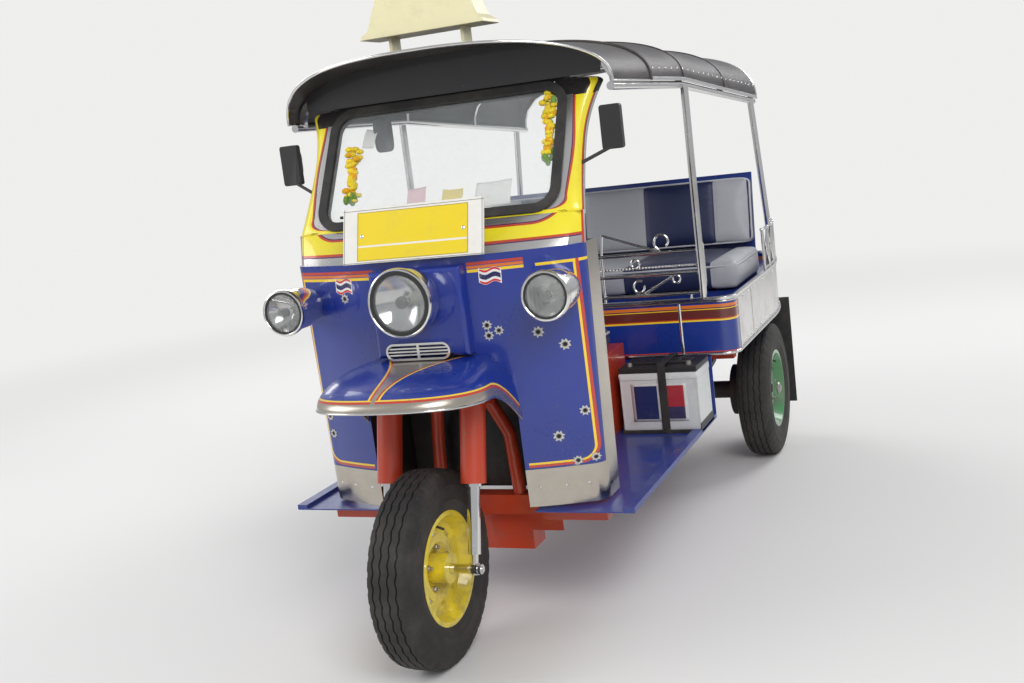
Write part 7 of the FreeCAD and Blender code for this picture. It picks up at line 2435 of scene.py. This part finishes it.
@dataclass
class Studio:
    """Camera at the photograph's place, floor, backdrop and soft lamps."""

    frame_width: float = 1024.0
    focal_pixels: float = 1184.192
    sensor: float = 36.0
    aim: Place = (0.0, 0.0, 0.8)
    eye: Place = (1.513, -2.763, 1.402)
    yaw: float = 23.324
    pitch: float = 9.486
    roll: float = 6.952
    floor_half: float = 30.0
    floor_colour: Colour = (0.80, 0.79, 0.77)
    lamps: tuple[tuple[str, Place, float, float], ...] = (
        ("key_lamp", (3.6, -5.2, 4.8), 3.2, 250.0), ("fill_lamp", (-4.6, -3.2, 3.2), 3.2, 100.0),
        ("rear_lamp", (3.0, 5.0, 4.4), 3.0, 150.0), ("side_lamp", (-3.6, 3.8, 3.8), 3.0, 100.0))

    def camera(self) -> None:
        """Places the camera as the photograph's own: yaw to the left, pitch down, then roll."""
        yaw, pitch, roll = (math.radians(a) for a in (self.yaw, self.pitch, self.roll))
        ahead = Vector((-math.sin(yaw) * math.cos(pitch), math.cos(yaw) * math.cos(pitch), -math.sin(pitch)))
        right = ahead.cross(Vector((0, 0, 1))).normalized()
        up = right.cross(ahead)
        across = right * math.cos(roll) - up * math.sin(roll)
        high = right * math.sin(roll) + up * math.cos(roll)
        place = Vector(self.eye) - Vector((0, -AXLE, 0))
        data = bpy.data.cameras.new("camera")
        data.sensor_width = self.sensor
        data.lens = self.focal_pixels * self.sensor / self.frame_width
        data.clip_start, data.clip_end = 0.05, 200.0
        camera = linked("camera", data)
        turn = Matrix((across, high, -ahead)).transposed().to_4x4()
        camera.matrix_world = Matrix.Translation(place) @ turn
        bpy.context.scene.camera = camera

    def ground(self) -> None:
        """A wide pale floor that takes the shadow."""
        line = np.linspace(-self.floor_half, self.floor_half, 3)
        x, y = np.meshgrid(line, line, indexing="ij")
        mould = Mould("studio_floor").grid(np.stack([x, y, np.zeros_like(x)], -1))
        floor = mould.made([Backdrop("studio_pale", self.floor_colour)])
        floor.parent = None

    def lamp(self, name: str, place: Spot, size: float, power: float) -> None:
        """One soft square lamp that faces the vehicle's middle.

        Args:
            name: of the lamp.
            place: where it hangs.
            size: of its side.
            power: in watts.
        """
        data = bpy.data.lights.new(name, "AREA")
        data.size, data.energy = size, power
        lamp = linked(name, data)
        lamp.location = place
        lamp.rotation_mode = "QUATERNION"
        lamp.rotation_quaternion = (Vector(self.aim) - Vector(place)).to_track_quat("-Z", "Y")

    def world(self) -> None:
        """Plain soft light from all round; the camera and glass see it as near white."""
        world = bpy.data.worlds.new("studio_world")
        world.use_nodes = True
        tree = world.node_tree
        tree.nodes.clear()
        pick = tree.nodes.new("ShaderNodeMixShader")
        tree.links.new(background_rays(tree), pick.inputs[0])
        for socket, colour, strength in ((pick.inputs[1], (0.93, 0.95, 1.0), 0.50),
                                         (pick.inputs[2], (0.86, 0.86, 0.85), 1.0)):
            light = tree.nodes.new("ShaderNodeBackground")
            light.inputs["Color"].default_value = (*colour, 1.0)
            light.inputs["Strength"].default_value = strength
            tree.links.new(light.outputs[0], socket)
        end = tree.nodes.new("ShaderNodeOutputWorld")
        tree.links.new(pick.outputs[0], end.inputs["Surface"])
        bpy.context.scene.world = world

    def build(self) -> None:
        """Everything round the vehicle."""
        self.camera()
        self.ground()
        self.world()
        for lamp in self.lamps:
            self.lamp(*lamp)
        bpy.context.scene.view_settings.view_transform = "Standard"


def background_rays(tree: bpy.types.NodeTree) -> bpy.types.NodeSocket:
    """1 for the rays that show the background: those of the camera and of glass.

    Args:
        tree: node tree that gets the nodes.

    Returns:
        The socket that carries the value.
    """
    path = tree.nodes.new("ShaderNodeLightPath")
    both = tree.nodes.new("ShaderNodeMath")
    both.operation = "MAXIMUM"
    for socket, name in zip(both.inputs, ("Is Camera Ray", "Is Transmission Ray")):
        tree.links.new(path.outputs[name], socket)
    return both.outputs[0]


@dataclass(frozen=True)
class Backdrop(Finish):
    """Pale floor, a little cloudy, that melts into the background away from the vehicle."""

    colour: Colour = (0.8, 0.8, 0.8)
    far: Colour = (0.86, 0.86, 0.85)
    near_reach: float = 2.6
    far_reach: float = 8.0

    def shade(self, g: Graph) -> None:
        """Matt surface; its share of plain background grows with the distance from the origin.

        Args:
            g: the material's node graph.
        """
        g.done(Base_Color=g.tones(g.noise(0.8, 2.0), self.colour, 0.97, 1.0), Roughness=0.9)
        reach = (g.x * g.x + g.y * g.y) ** 0.5
        seen = Expr(g, background_rays(g.tree)) * reach.ramp(self.near_reach, self.far_reach)
        glow = g.node("ShaderNodeEmission", {}, self.far, 1.0)
        both = g.node("ShaderNodeMixShader", {}, seen, Expr(g, g.shader.outputs[0]), glow)
        g.tree.links.new(both.socket, g.end.inputs["Surface"])


def main() -> None:
    """Builds the sub-assemblies in order, dressed, and then the studio."""
    logging.basicConfig(level=logging.INFO, format="%(name)s %(message)s")
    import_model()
    for assembly in assemblies():
        LOG.info("building %s", type(assembly).__name__)
        assembly.build()
    Studio().build()


if __name__ == "__main__":
    main()
